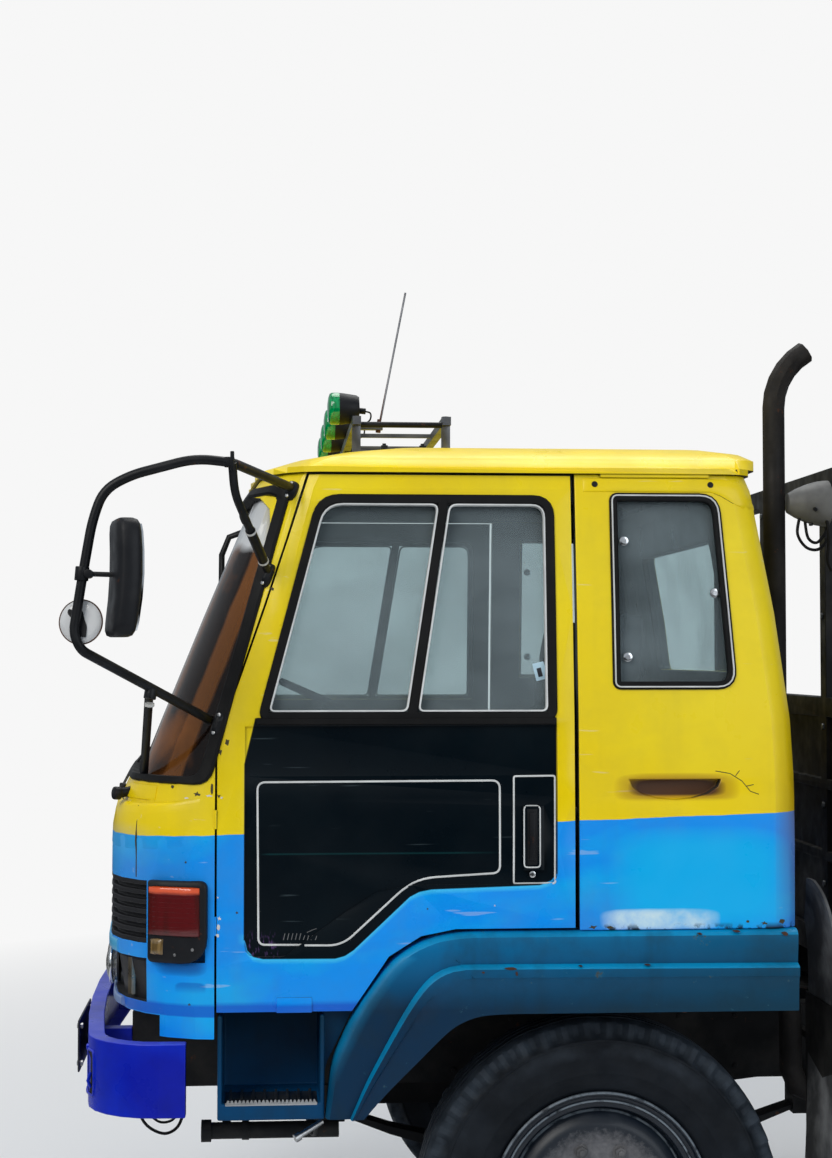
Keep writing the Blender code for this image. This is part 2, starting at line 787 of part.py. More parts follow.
def whole_plan(half_plan):
    return [(x, -y) for x, y in reversed(half_plan)] + half_plan[1:]


def cab_sizes(z):
    """Half width, front reach, nose depth and rear reach at a height."""
    share = (z - CAB_BOTTOM_Z) / (CAB_EAVES_Z - CAB_BOTTOM_Z)
    rows = CAB_LEVEL_SHARES
    share = min(max(share, rows[0][0]), rows[-1][0])
    upper = next(index for index in range(1, len(rows)) if share <= rows[index][0])
    low, high = rows[upper - 1], rows[upper]
    mix = (share - low[0]) / (high[0] - low[0])
    half, front, nose, rear = (a + (b - a) * mix for a, b in zip(low[1:], high[1:]))
    return half * CAB_HALF_WIDTH, front * CAB_FRONT_REACH, nose * CAB_NOSE_DEPTH, rear * CAB_REAR_REACH


def cab_plan(z, inset):
    half, front, nose, rear = cab_sizes(z)
    points = plan(front, half, rear, nose, CAB_NOSE_WIDTH, CAB_FRONT_BULGE, CAB_REAR_CORNER, inset)
    return [(x, y, z) for x, y in whole_plan(points)]


def nose_x(y, z):
    """Station of the bowed nose at a distance from the middle."""
    half, front, _, _ = cab_sizes(z)
    return -front + CAB_FRONT_BULGE * (y / (half - CAB_NOSE_WIDTH)) ** 2


def level_heights():
    span = CAB_EAVES_Z - CAB_BOTTOM_Z
    return [CAB_BOTTOM_Z + row[0] * span for row in CAB_LEVEL_SHARES]


def with_levels(profile, closed=True):
    """A (height, inset) profile with a point wherever the cab's form changes."""
    points = []
    last = len(profile) if closed else len(profile) - 1
    for index in range(last):
        start, end = profile[index], profile[(index + 1) % len(profile)]
        points.append(start)
        between = [z for z in level_heights() if min(start[0], end[0]) < z < max(start[0], end[0])]
        for z in sorted(between, reverse=end[0] < start[0]):
            mix = (z - start[0]) / (end[0] - start[0])
            points.append((z, start[1] + (end[1] - start[1]) * mix))
    if not closed:
        points.append(profile[-1])
    return points


def skinned(sections, closed_path, closed_profile):
    """Joins sections of equal point counts into one closed body.

    Each quad's diagonal rises towards the nose on both sides, so that nested skins share facets.
    """
    form = bmesh.new()
    rows = [[form.verts.new(point) for point in section] for section in sections]
    around = len(rows[0]) if closed_path else len(rows[0]) - 1
    middle = (len(rows[0]) - 1) // 2
    count = len(rows) if closed_profile else len(rows) - 1
    for index in range(count):
        low, high = rows[index], rows[(index + 1) % len(rows)]
        for step in range(around):
            after = (step + 1) % len(low)
            right_side = middle <= step < len(low) - 1
            falling = low[step].co.z > high[step].co.z
            if right_side == falling:
                form.faces.new((low[step], low[after], high[after]))
                form.faces.new((low[step], high[after], high[step]))
            else:
                form.faces.new((low[step], low[after], high[step]))
                form.faces.new((low[after], high[after], high[step]))
    if not closed_profile:
        form.faces.new(rows[0])
        form.faces.new(rows[-1])
    if closed_profile and not closed_path:
        form.faces.new([row[0] for row in rows])
        form.faces.new([row[-1] for row in rows])
    return from_bmesh(form)


def cab_ring(profile):
    """A closed (height, inset) profile swept right round the cab."""
    return skinned([cab_plan(z, inset) for z, inset in with_levels(profile)], True, True)


def cab_wall(low_z, high_z, outer, inner):
    return cab_ring([(low_z, outer), (high_z, outer), (high_z, inner), (low_z, inner)])


def cab_core(low_z, high_z, inset):
    """A solid filling of the cab's plan between two heights."""
    profile = with_levels([(low_z, inset), (high_z, inset)], closed=False)
    return skinned([cab_plan(z, inset) for z, inset in profile], True, False)


# Anchors, one for each body that moves
MIDDLE_X = (BUMPER_FRONT_X + BED_REAR_X) / 2
ORIGIN = empty("truck", (-MIDDLE_X, 0, 0))
CAB = empty("cab_tilt_axis", (TILT_X, 0, TILT_Z), ORIGIN)
HINGE_X = DOOR_FRONT_X - DOOR_GAP / 2
HINGE_Y = CAB_HALF_WIDTH
DOORS = [empty("door_hinge_" + side, (HINGE_X, sign * HINGE_Y, HINGE_HEIGHTS[0]), CAB)
         for side, sign in (("left", -1), ("right", 1))]
KNUCKLES = [empty("kingpin_" + side, (0, sign * KINGPIN_Y, AXLE_Z), ORIGIN)
            for side, sign in (("left", -1), ("right", 1))]
FRONT_WHEELS = [empty("front_hub_" + side, (0, sign * FRONT_TRACK_HALF, AXLE_Z), knuckle)
                for side, sign, knuckle in (("left", -1, KNUCKLES[0]), ("right", 1, KNUCKLES[1]))]
REAR_WHEELS = [empty("rear_hub_" + side, (WHEELBASE, sign * REAR_TWIN_MIDDLE, AXLE_Z), ORIGIN)
               for side, sign in (("left", -1), ("right", 1))]


# Wheels

def tyre_profile(middle):
    """Closed (radius, offset) profile, from rim seat to tread and back."""
    half = TYRE_WIDTH / 2
    rise = TYRE_RADIUS - RIM_RADIUS
    side = [
        (RIM_SEAT_RADIUS + SEAT_GAP, half * RIM_WIDTH_SHARES[0] - SEAT_GAP),
        (RIM_RADIUS + SEAT_GAP, half * RIM_WIDTH_SHARES[1] - SEAT_GAP),
    ]
    side += [(RIM_RADIUS + rise * height, half * width) for height, width in SIDEWALL_SHARES]
    outboard = [(radius, middle + width) for radius, width in side]
    inboard = [(radius, middle - width) for radius, width in side]
    return outboard[::-1] + inboard


def rim_skin(middle, side):
    """A rim's seat, flange and lip on one side of its middle, on the tyre's side of the metal."""
    seat, flange, lip = (TYRE_WIDTH / 2 * share for share in RIM_WIDTH_SHARES)
    return [(RIM_SEAT_RADIUS, middle + side * seat), (RIM_RADIUS, middle + side * flange),
            (RIM_RADIUS, middle + side * lip)]


def rim_back(middle, side, bore):
    """The same lip and seat, on the far side of the metal."""
    seat, _, lip = (TYRE_WIDTH / 2 * share for share in RIM_WIDTH_SHARES)
    return [(bore, middle + side * seat), (RIM_RADIUS - RIM_SKIN, middle + side * lip)]


def front_rim_profile():
    bore = RIM_SEAT_RADIUS - RIM_SKIN
    outside = rim_skin(0, 1)[::-1] + rim_skin(0, -1)
    face = [
        (bore, DISC_ROOT_OFFSET),
        (DISC_SHOULDER_RADIUS, DISC_SHOULDER_OFFSET),
        (STUD_CIRCLE_RADIUS, DISC_FACE_OFFSET),
        (HUB_RADIUS, DISC_FACE_OFFSET),
        (HUB_CAP_RADIUS, HUB_CAP_OFFSET),
        (0, HUB_CAP_OFFSET),
        (0, SPINDLE_END_OFFSET + SEAT_GAP),
        (SPINDLE_RADIUS + SEAT_GAP, SPINDLE_END_OFFSET + SEAT_GAP),
        (SPINDLE_RADIUS + SEAT_GAP, HUB_BACK_OFFSET),
        (HUB_RADIUS, HUB_BACK_OFFSET),
        (HUB_RADIUS, DISC_FACE_OFFSET - DISC_SKIN),
        (STUD_CIRCLE_RADIUS, DISC_FACE_OFFSET - DISC_SKIN),
        (DISC_SHOULDER_RADIUS, DISC_SHOULDER_OFFSET - DISC_SKIN),
        (bore, DISC_ROOT_OFFSET - DISC_SKIN),
    ]
    return outside + rim_back(0, -1, bore)[::-1] + face[::-1] + rim_back(0, 1, bore)


def rear_rim_profile():
    """Both rims of a twin, joined back to back by their discs and one hub."""
    pitch = TWIN_PITCH / 2
    waist = RIM_SEAT_RADIUS - RIM_SKIN
    bore = waist - RIM_SKIN
    outside = rim_skin(pitch, 1)[::-1] + rim_skin(pitch, -1)
    outside += [(waist, outside[-1][1]), (waist, -outside[-1][1])]
    outside += rim_skin(-pitch, 1)[::-1] + rim_skin(-pitch, -1)
    face = [
        (bore, DISC_SKIN),
        (HUB_RADIUS, DISC_SKIN),
        (HUB_CAP_RADIUS, REAR_CAP_OFFSET),
        (0, REAR_CAP_OFFSET),
        (0, REAR_SPINDLE_OFFSET + SEAT_GAP),
        (SPINDLE_RADIUS + SEAT_GAP, REAR_SPINDLE_OFFSET + SEAT_GAP),
        (SPINDLE_RADIUS + SEAT_GAP, -REAR_CAP_OFFSET),
        (HUB_RADIUS, -REAR_CAP_OFFSET),
        (HUB_RADIUS, -DISC_SKIN),
        (bore, -DISC_SKIN),
    ]
    return outside + rim_back(-pitch, -1, bore)[::-1] + face[::-1] + rim_back(pitch, 1, bore)


def hand_holes(rim, centre, depth):
    """Round windows through a wheel disc, between its studs and its rim."""
    radius = (DISC_SHOULDER_RADIUS + STUD_CIRCLE_RADIUS) / 2
    cutters = []
    for index in range(HAND_HOLE_COUNT):
        angle = 2 * math.pi * (index + HALF_TURN_SHARE) / HAND_HOLE_COUNT
        x = centre[0] + radius * math.cos(angle)
        z = centre[2] + radius * math.sin(angle)
        y = centre[1]
        cutters.append(rod((x, y - depth, z), (x, y + depth, z), HAND_HOLE_RADIUS, HAND_HOLE_SIDES))
    return cut(rim, *cutters)


def wheels():
    tyre = turned(tyre_profile(0), (0, -FRONT_TRACK_HALF, AXLE_Z), -1)
    finished_pair(tyre, "front_tyre", RUBBER, FRONT_WHEELS)
    centre = (0, -FRONT_TRACK_HALF, AXLE_Z)
    rim = hand_holes(turned(front_rim_profile(), centre, -1), centre, TYRE_WIDTH)
    finished_pair(rim, "front_rim", GALVANISED, FRONT_WHEELS)
    centre = (WHEELBASE, -REAR_TWIN_MIDDLE, AXLE_Z)
    for place, offset in (("outer", TWIN_PITCH / 2), ("inner", -TWIN_PITCH / 2)):
        tyre = turned(tyre_profile(offset), centre, -1)
        finished_pair(tyre, "rear_%s_tyre" % place, RUBBER, REAR_WHEELS)
    rim = turned(rear_rim_profile(), centre, -1)
    finished_pair(rim, "rear_rims", GALVANISED, REAR_WHEELS)


# Running gear

def spring_pack(centre_x, half_length, seat_z, eye_z, y):
    """A leaf pack: an arched stack whose leaves shorten towards its middle."""
    thick = SPRING_LEAF * SPRING_LEAVES
    stations = [half_length * (step / SPRING_STATIONS)
                for step in range(-SPRING_STATIONS, SPRING_STATIONS + 1)]
    rise = eye_z - seat_z
    top, bottom = [], []
    for x in stations:
        share = abs(x) / half_length
        height = seat_z + rise * share ** 2
        top.append((centre_x + x, height))
        bottom.append((centre_x + x, height - SPRING_LEAF - (thick - SPRING_LEAF) * (1 - share)))
    half = SPRING_WIDTH / 2
    pack = prism(top + bottom[::-1], y - half, y + half)
    hangers = []
    for x in (centre_x - half_length, centre_x + half_length):
        low = (x - HANGER_WIDTH / 2, y - half - SPRING_LEAF, eye_z - HANGER_DROP)
        high = (x + HANGER_WIDTH / 2, y + half + SPRING_LEAF, RAIL_TOP_Z - RAIL_HEIGHT - SEAT_GAP)
        hangers.append(box(low, high))
    return fused(pack, *hangers)


def front_axle():
    low = AXLE_Z - BEAM_DROP - BEAM_HEIGHT / 2
    eye = AXLE_Z - BEAM_HEIGHT / 2
    outer, knee, flat = KINGPIN_Y, KINGPIN_Y - BEAM_EYE_REACH, KINGPIN_Y - 2 * BEAM_EYE_REACH
    half = [(outer, eye), (outer, eye + BEAM_HEIGHT), (knee, eye + BEAM_HEIGHT),
            (flat, low + BEAM_HEIGHT)]
    under = [(flat, low), (knee, eye)]
    outline = half + [(-y, z) for y, z in reversed(half)] + [(-y, z) for y, z in reversed(under)] + under
    beam = prism(outline, -BEAM_DEPTH / 2, BEAM_DEPTH / 2, "YZ")
    eyes = [rod((0, sign * KINGPIN_Y, AXLE_Z - BEAM_EYE_HALF), (0, sign * KINGPIN_Y, AXLE_Z + BEAM_EYE_HALF),
                BEAM_EYE_RADIUS, HUB_SIDES) for sign in (-1, 1)]
    seat_z = low + BEAM_HEIGHT + SPRING_LEAF * SPRING_LEAVES - SPRING_BITE
    springs = [spring_pack(0, FRONT_SPRING_HALF_LENGTH, seat_z, SPRING_EYE_Z, sign * SPRING_Y)
               for sign in (-1, 1)]
    finished(fused(beam, *eyes, *springs), "front_axle", CHASSIS, ORIGIN)


def rear_axle():
    tube_piece = rod((WHEELBASE, -HOUSING_HALF, AXLE_Z), (WHEELBASE, HOUSING_HALF, AXLE_Z),
                     HOUSING_RADIUS, HUB_SIDES)
    spindle_reach = REAR_TWIN_MIDDLE + REAR_SPINDLE_OFFSET
    spindle = rod((WHEELBASE, -spindle_reach, AXLE_Z), (WHEELBASE, spindle_reach, AXLE_Z),
                  SPINDLE_RADIUS - SEAT_GAP, TYRE_SIDES)
    ball = rod((WHEELBASE, -DIFF_HALF, AXLE_Z), (WHEELBASE, DIFF_HALF, AXLE_Z), DIFF_RADIUS, HUB_SIDES)
    nose = rod((WHEELBASE - DIFF_NOSE, 0, AXLE_Z), (WHEELBASE, 0, AXLE_Z), PROP_RADIUS * 2, HUB_SIDES,
               DIFF_RADIUS - DIFF_HALF / 2)
    seat_z = AXLE_Z + HOUSING_RADIUS + SPRING_LEAF * SPRING_LEAVES - SPRING_BITE
    springs = [spring_pack(WHEELBASE, REAR_SPRING_HALF_LENGTH, seat_z, SPRING_EYE_Z + SPRING_REAR_LIFT,
                           sign * SPRING_Y) for sign in (-1, 1)]
    finished(fused(tube_piece, spindle, ball, nose, *springs), "rear_axle", CHASSIS, ORIGIN)


def knuckle():
    """Left steering knuckle: a fork round the beam's eye, and the wheel's spindle."""
    y = -KINGPIN_Y
    plates = []
    for sign in (-1, 1):
        near = AXLE_Z + sign * (BEAM_EYE_HALF + SEAT_GAP)
        far = near + sign * KNUCKLE_PLATE
        plates.append(rod((0, y, near), (0, y, far), BEAM_EYE_RADIUS, HUB_SIDES))
        inner, outer = near + sign * KNUCKLE_STEP, far - sign * KNUCKLE_STEP
        plates.append(box((-KNUCKLE_ARM, y - KNUCKLE_REACH - KNUCKLE_PLATE / 2, min(inner, outer)),
                          (KNUCKLE_ARM, y, max(inner, outer))))
    web_half = BEAM_EYE_HALF + KNUCKLE_PLATE + KNUCKLE_STEP
    web = box((-BEAM_EYE_RADIUS, y - KNUCKLE_REACH - KNUCKLE_PLATE, AXLE_Z - web_half),
              (BEAM_EYE_RADIUS, y - KNUCKLE_REACH, AXLE_Z + web_half))
    spindle = rod((0, y - KNUCKLE_REACH - KNUCKLE_STEP, AXLE_Z),
                  (0, -FRONT_TRACK_HALF - SPINDLE_END_OFFSET, AXLE_Z), SPINDLE_RADIUS - SEAT_GAP, TYRE_SIDES)
    arm_low = AXLE_Z - BEAM_EYE_HALF - KNUCKLE_PLATE + KNUCKLE_STEP * 2
    arm = box((0, y - KNUCKLE_ARM / 2, arm_low), (KNUCKLE_ARM_REACH, y + KNUCKLE_ARM / 2,
              arm_low + KNUCKLE_PLATE / 2))
    finished_pair(fused(web, *plates, spindle, arm), "knuckle", CHASSIS, KNUCKLES)


def frame():
    bottom = RAIL_TOP_Z - RAIL_HEIGHT
    inner = RAIL_OUTER_Y - RAIL_FLANGE
    web = RAIL_OUTER_Y - RAIL_WEB
    section = [(RAIL_OUTER_Y, bottom), (RAIL_OUTER_Y, RAIL_TOP_Z), (inner, RAIL_TOP_Z),
               (inner, RAIL_TOP_Z - RAIL_WEB), (web, RAIL_TOP_Z - RAIL_WEB), (web, bottom + RAIL_WEB),
               (inner, bottom + RAIL_WEB), (inner, bottom)]
    rails = [prism(section, RAIL_FRONT_X, RAIL_REAR_X, "YZ")]
    rails.append(prism([(-y, z) for y, z in reversed(section)], RAIL_FRONT_X, RAIL_REAR_X, "YZ"))
    high_z = RAIL_TOP_Z - CROSS_INSET
    low_z = high_z - CROSS_HEIGHT
    reach = RAIL_OUTER_Y - RAIL_WEB / 2
    cross = [box((x - CROSS_WIDTH / 2, -reach, low_z), (x + CROSS_WIDTH / 2, reach, high_z))
             for x in CROSS_MEMBER_XS]
    pin = rod((TILT_X, -TILT_PIN_HALF, TILT_Z), (TILT_X, TILT_PIN_HALF, TILT_Z), TILT_PIN_RADIUS,
              TILT_PIN_SIDES)
    brackets = []
    for sign in (-1, 1):
        near, far = sorted((sign * (inner + RAIL_WEB), sign * (RAIL_OUTER_Y - RAIL_WEB)))
        brackets.append(box((TILT_X - TILT_LUG_HALF, near, RAIL_TOP_Z - RAIL_WEB),
                            (TILT_X + TILT_LUG_HALF, far, TILT_Z + TILT_LUG_HALF)))
        near, far = sorted((sign * inner, sign * RAIL_OUTER_Y))
        brackets.append(box((CAB_REST_X - CAB_REST_SIZE / 2, near, RAIL_TOP_Z - RAIL_WEB),
                            (CAB_REST_X + CAB_REST_SIZE / 2, far, FLOOR_HIGH_Z - FLOOR_THICKNESS - SEAT_GAP)))
    finished(fused(*rails, *cross, pin, *brackets), "frame", CHASSIS, ORIGIN)


def engine():
    block = box((ENGINE_FRONT_X, -ENGINE_HALF, ENGINE_LOW_Z), (ENGINE_REAR_X, ENGINE_HALF, ENGINE_TOP_Z))
    box_low = ENGINE_LOW_Z + RAIL_WEB
    gearbox = prism([(ENGINE_REAR_X, ENGINE_LOW_Z), (GEARBOX_REAR_X, box_low + RAIL_FLANGE),
                     (GEARBOX_REAR_X, GEARBOX_TOP_Z - RAIL_FLANGE), (ENGINE_REAR_X, GEARBOX_TOP_Z)],
                    -GEARBOX_HALF, GEARBOX_HALF)
    gearbox = fused(gearbox, box((ENGINE_REAR_X - RAIL_FLANGE, -GEARBOX_HALF, box_low),
                                 (ENGINE_REAR_X + RAIL_FLANGE, GEARBOX_HALF, GEARBOX_TOP_Z)))
    arm_half = RAIL_OUTER_Y - RAIL_WEB - SEAT_GAP
    mount = box((ENGINE_MOUNT_X, -arm_half, ENGINE_MOUNT_Z),
                (ENGINE_MOUNT_X + ENGINE_MOUNT_LENGTH, arm_half, ENGINE_MOUNT_Z + ENGINE_MOUNT_HEIGHT))
    shaft = tube([(GEARBOX_REAR_X - RAIL_FLANGE, 0, PROP_FRONT_Z),
                  (WHEELBASE - DIFF_NOSE - SHAFT_GAP, 0, AXLE_Z)], PROP_RADIUS)
    finished(fused(block, gearbox, mount, shaft), "engine", CHASSIS, ORIGIN)


def bumper():
    """A bowed channel that wraps round the nose, with arms back to the frame."""
    reach = -BUMPER_FRONT_X
    skin = BUMPER_SKIN
    profile = [(BUMPER_LOW_Z, 0), (BUMPER_TOP_Z, 0), (BUMPER_TOP_Z, BUMPER_DEPTH),
               (BUMPER_TOP_Z - skin, BUMPER_DEPTH), (BUMPER_TOP_Z - skin, skin),
               (BUMPER_LOW_Z + skin, skin), (BUMPER_LOW_Z + skin, BUMPER_DEPTH),
               (BUMPER_LOW_Z, BUMPER_DEPTH)]
    sections = []
    for z, inset in profile:
        half = plan(reach, BUMPER_HALF, BUMPER_REAR_X, BUMPER_CORNER + BUMPER_BULGE, BUMPER_CORNER,
                    BUMPER_BULGE, 0, inset)
        sections.append([(x, y, z) for x, y in whole_plan(half)])
    channel = skinned(sections, False, True)
    middle_z = (BUMPER_LOW_Z + BUMPER_TOP_Z) / 2
    half = BUMPER_ARM_SIZE / 2
    bow = BUMPER_BULGE * (BUMPER_ARM_Y / (BUMPER_HALF - BUMPER_CORNER)) ** 2
    arms = [box((-reach + skin / 2 + bow, sign * BUMPER_ARM_Y - half, middle_z - half),
                (RAIL_FRONT_X - SEAT_GAP, sign * BUMPER_ARM_Y + half, middle_z + half)) for sign in (-1, 1)]
    finished(fused(channel, *arms), "bumper", ULTRAMARINE, ORIGIN)


def tank_and_battery():
    for name, sign, rear_x in (("fuel_tank", 1, TANK_REAR_X), ("battery_box", -1, BATTERY_REAR_X)):
        near, far = sorted((sign * TANK_INNER_Y, sign * TANK_OUTER_Y))
        body = box((TANK_FRONT_X, near, TANK_LOW_Z), (rear_x, far, TANK_TOP_Z))
        bevel = body.modifiers.new("Rounded edges", "BEVEL")
        bevel.width = TANK_CORNER
        bevel.segments = 2
        body = evaluated(body)
        arms = []
        for x in (TANK_FRONT_X + TANK_CORNER * 2, rear_x - TANK_CORNER * 2):
            near, far = sorted((sign * (RAIL_OUTER_Y + SEAT_GAP), sign * (TANK_INNER_Y + TANK_CORNER)))
            arms.append(box((x - TANK_CORNER, near, TANK_TOP_Z - TANK_CORNER * 3),
                            (x + TANK_CORNER, far, TANK_TOP_Z - TANK_CORNER)))
        finished(fused(body, *arms), name, CHASSIS, ORIGIN)


def exhaust():
    """Muffler beside the left rail and the curved stack that climbs behind the cab."""
    can = rod((MUFFLER_FRONT_X, -MUFFLER_Y, MUFFLER_Z), (MUFFLER_REAR_X, -MUFFLER_Y, MUFFLER_Z),
              MUFFLER_RADIUS, HUB_SIDES)
    tip = [(STACK_X + STACK_TIP * (1 - math.cos(angle)), -STACK_Y,
            STACK_TOP_Z - STACK_TIP + STACK_TIP * math.sin(angle))
           for angle in (math.radians(step * 60 / STACK_STEPS) for step in range(STACK_STEPS + 1))]
    bend_mid = STACK_BEND * (1 - BEND_MID_SHARE)
    route = [(MUFFLER_FRONT_X + STACK_RADIUS, -MUFFLER_Y, MUFFLER_Z),
             (STACK_X + STACK_BEND, -MUFFLER_Y, MUFFLER_Z),
             (STACK_X + bend_mid, -MUFFLER_Y, MUFFLER_Z + bend_mid),
             (STACK_X, -MUFFLER_Y, MUFFLER_Z + STACK_BEND),
             (STACK_X, -MUFFLER_Y, RAIL_TOP_Z),
             (STACK_X, -STACK_Y, RAIL_TOP_Z + (MUFFLER_Y - STACK_Y) * 2)] + tip
    pipe = tube(route, STACK_RADIUS)
    bracket = box((MUFFLER_FRONT_X + MUFFLER_RADIUS, -MUFFLER_Y, MUFFLER_Z),
                  (MUFFLER_FRONT_X + 2 * MUFFLER_RADIUS, -RAIL_OUTER_Y - SEAT_GAP, MUFFLER_Z + RAIL_FLANGE))
    finished(fused(can, pipe, bracket), "exhaust_stack", CHASSIS, ORIGIN)


def front_flaps():
    """Splash flaps behind the front wheels, hung from brackets on the frame."""
    flap = box((FLAP_X, -FLAP_OUTER_Y, FLAP_LOW_Z), (FLAP_X + FLAP_THICKNESS, -FLAP_INNER_Y, FLAP_TOP_Z))
    rod_z = FLAP_TOP_Z - FLAP_BAR * 2
    bar = box((FLAP_X + FLAP_THICKNESS / 2, -FLAP_OUTER_Y, rod_z),
              (FLAP_X + FLAP_THICKNESS / 2 + FLAP_BAR, -FLAP_INNER_Y, rod_z + FLAP_BAR))
    stay = box((FLAP_STAY_X, -FLAP_INNER_Y - FLAP_BAR, FLAP_STAY_Z),
               (FLAP_STAY_X + FLAP_BAR, -RAIL_OUTER_Y - SEAT_GAP, FLAP_STAY_Z + FLAP_BAR))
    link = box((FLAP_X + FLAP_THICKNESS / 2, -FLAP_INNER_Y - FLAP_BAR, FLAP_STAY_Z),
               (FLAP_STAY_X + FLAP_BAR, -FLAP_INNER_Y, FLAP_STAY_Z + FLAP_BAR))
    finished_pair(fused(flap, bar, stay, link), "front_flap", RUBBER, (ORIGIN, ORIGIN))


# Load bed

def bed_levels():
    """Underside of the bearers, of the planks, and the top of the planks."""
    bearer_low = RAIL_TOP_Z + SEAT_GAP + SUBRAIL_HEIGHT
    plank_low = bearer_low + BEARER_HEIGHT
    return bearer_low, plank_low, plank_low + SEAT_GAP + BED_FLOOR


def bed_frame():
    bearer_low, plank_low, plank_top = bed_levels()
    inner = RAIL_OUTER_Y - RAIL_FLANGE
    pieces = []
    for sign in (-1, 1):
        near, far = sorted((sign * inner, sign * RAIL_OUTER_Y))
        pieces.append(box((BED_FRONT_X, near, RAIL_TOP_Z + SEAT_GAP),
                          (BED_REAR_X, far, bearer_low + RAIL_WEB)))
        near, far = sorted((sign * (BED_HALF - RAVE_THICKNESS), sign * BED_HALF))
        pieces.append(box((BED_FRONT_X, near, plank_top - RAVE_HEIGHT), (BED_REAR_X, far, plank_top)))
    span = BED_REAR_X - BED_FRONT_X - BEARER_WIDTH
    for index in range(BEARER_COUNT):
        x = BED_FRONT_X + span * index / (BEARER_COUNT - 1)
        pieces.append(box((x, -BED_HALF + RAVE_THICKNESS / 2, bearer_low),
                          (x + BEARER_WIDTH, BED_HALF - RAVE_THICKNESS / 2, plank_low)))
    pieces.append(box((WHEELBASE - BEARER_WIDTH / 2, -BED_HALF + RAVE_THICKNESS / 2, bearer_low),
                      (WHEELBASE + BEARER_WIDTH / 2, BED_HALF - RAVE_THICKNESS / 2, plank_low)))
    pieces.append(box((BED_REAR_X - RAVE_THICKNESS, -BED_HALF, plank_top - RAVE_HEIGHT),
                      (BED_REAR_X, BED_HALF, plank_top)))
    finished(fused(*pieces), "bed_frame", CHASSIS, ORIGIN)


def bed_floor():
    _, plank_low, plank_top = bed_levels()
    half = BED_HALF - RAVE_THICKNESS - SEAT_GAP
    front = BED_FRONT_X + HEADBOARD_DEPTH + SEAT_GAP
    rear = BED_REAR_X - RAVE_THICKNESS - SEAT_GAP
    planks = box((front, -half, plank_low + SEAT_GAP), (rear, half, plank_top))
    grooves = []
    for index in range(1, PLANK_COUNT):
        y = -half + 2 * half * index / PLANK_COUNT
        grooves.append(box((front - CUT_OVERRUN, y - GROOVE / 2, plank_top - GROOVE),
                           (rear + CUT_OVERRUN, y + GROOVE / 2, plank_top + GROOVE)))
    finished(cut(planks, *grooves), "bed_floor", WOOD, ORIGIN)


def headboard():
    _, plank_low, _ = bed_levels()
    x_low, x_high = BED_FRONT_X, BED_FRONT_X + HEADBOARD_DEPTH
    foot = plank_low + SEAT_GAP
    half = BED_HALF - RAVE_THICKNESS - SEAT_GAP
    post = HEADBOARD_POST / 2
    pieces = [box((x_low, y - post, foot), (x_high, y + post, HEADBOARD_TOP_Z))
              for y in (-half + post, -half / 3, half / 3, half - post)]
    pieces.append(box((x_low, -half, HEADBOARD_TOP_Z), (x_high, half, HEADBOARD_TOP_Z + HEADBOARD_POST)))
    pieces.append(box((x_low + post / 2, -half, foot), (x_low + post / 2 + HEADBOARD_SHEET, half,
                      HEADBOARD_SHEET_TOP_Z)))
    pieces.append(box((x_low, -half, HEADBOARD_SHEET_TOP_Z), (x_high, half,
                      HEADBOARD_SHEET_TOP_Z + HEADBOARD_POST)))
    for z in RIB_HEIGHTS:
        pieces.append(box((x_low, -half, z), (x_high - post / 2, half, z + HEADBOARD_POST / 2)))
    lamp_x = x_low - WORK_LAMP_LENGTH
    pieces.append(rod((lamp_x, -WORK_LAMP_Y, WORK_LAMP_Z), (x_low - WORK_LAMP_GAP, -WORK_LAMP_Y, WORK_LAMP_Z),
                      WORK_LAMP_RADIUS * WORK_LAMP_BACK_SHARE, HUB_SIDES, WORK_LAMP_RADIUS))
    pieces.append(box((lamp_x + WORK_LAMP_LENGTH / 2, -WORK_LAMP_Y - post / 2, WORK_LAMP_Z - post / 2),
                      (x_low + post, -half / 3 + post, WORK_LAMP_Z + post / 2)))
    finished(fused(*pieces), "headboard", CHASSIS, ORIGIN)


def rear_mudguards():
    bearer_low, _, _ = bed_levels()
    outer = bearer_low - SEAT_GAP - AXLE_Z
    path_out = arc((WHEELBASE, AXLE_Z), outer, 180 - MUDGUARD_DEGREES, MUDGUARD_DEGREES, MUDGUARD_STEPS)
    path_in = arc((WHEELBASE, AXLE_Z), outer - MUDGUARD_SKIN, MUDGUARD_DEGREES, 180 - MUDGUARD_DEGREES,
                  MUDGUARD_STEPS)
    guard = prism(path_out + path_in, -MUDGUARD_OUTER_Y, -MUDGUARD_INNER_Y)
    flap_x = WHEELBASE + outer * math.cos(math.radians(MUDGUARD_DEGREES))
    flap_z = AXLE_Z + outer * math.sin(math.radians(MUDGUARD_DEGREES))
    flap = box((flap_x - MUDGUARD_SKIN, -MUDGUARD_OUTER_Y, FLAP_LOW_Z), (flap_x, -MUDGUARD_INNER_Y, flap_z))
    finished_pair(fused(guard, flap), "rear_mudguard", RUBBER, (ORIGIN, ORIGIN))


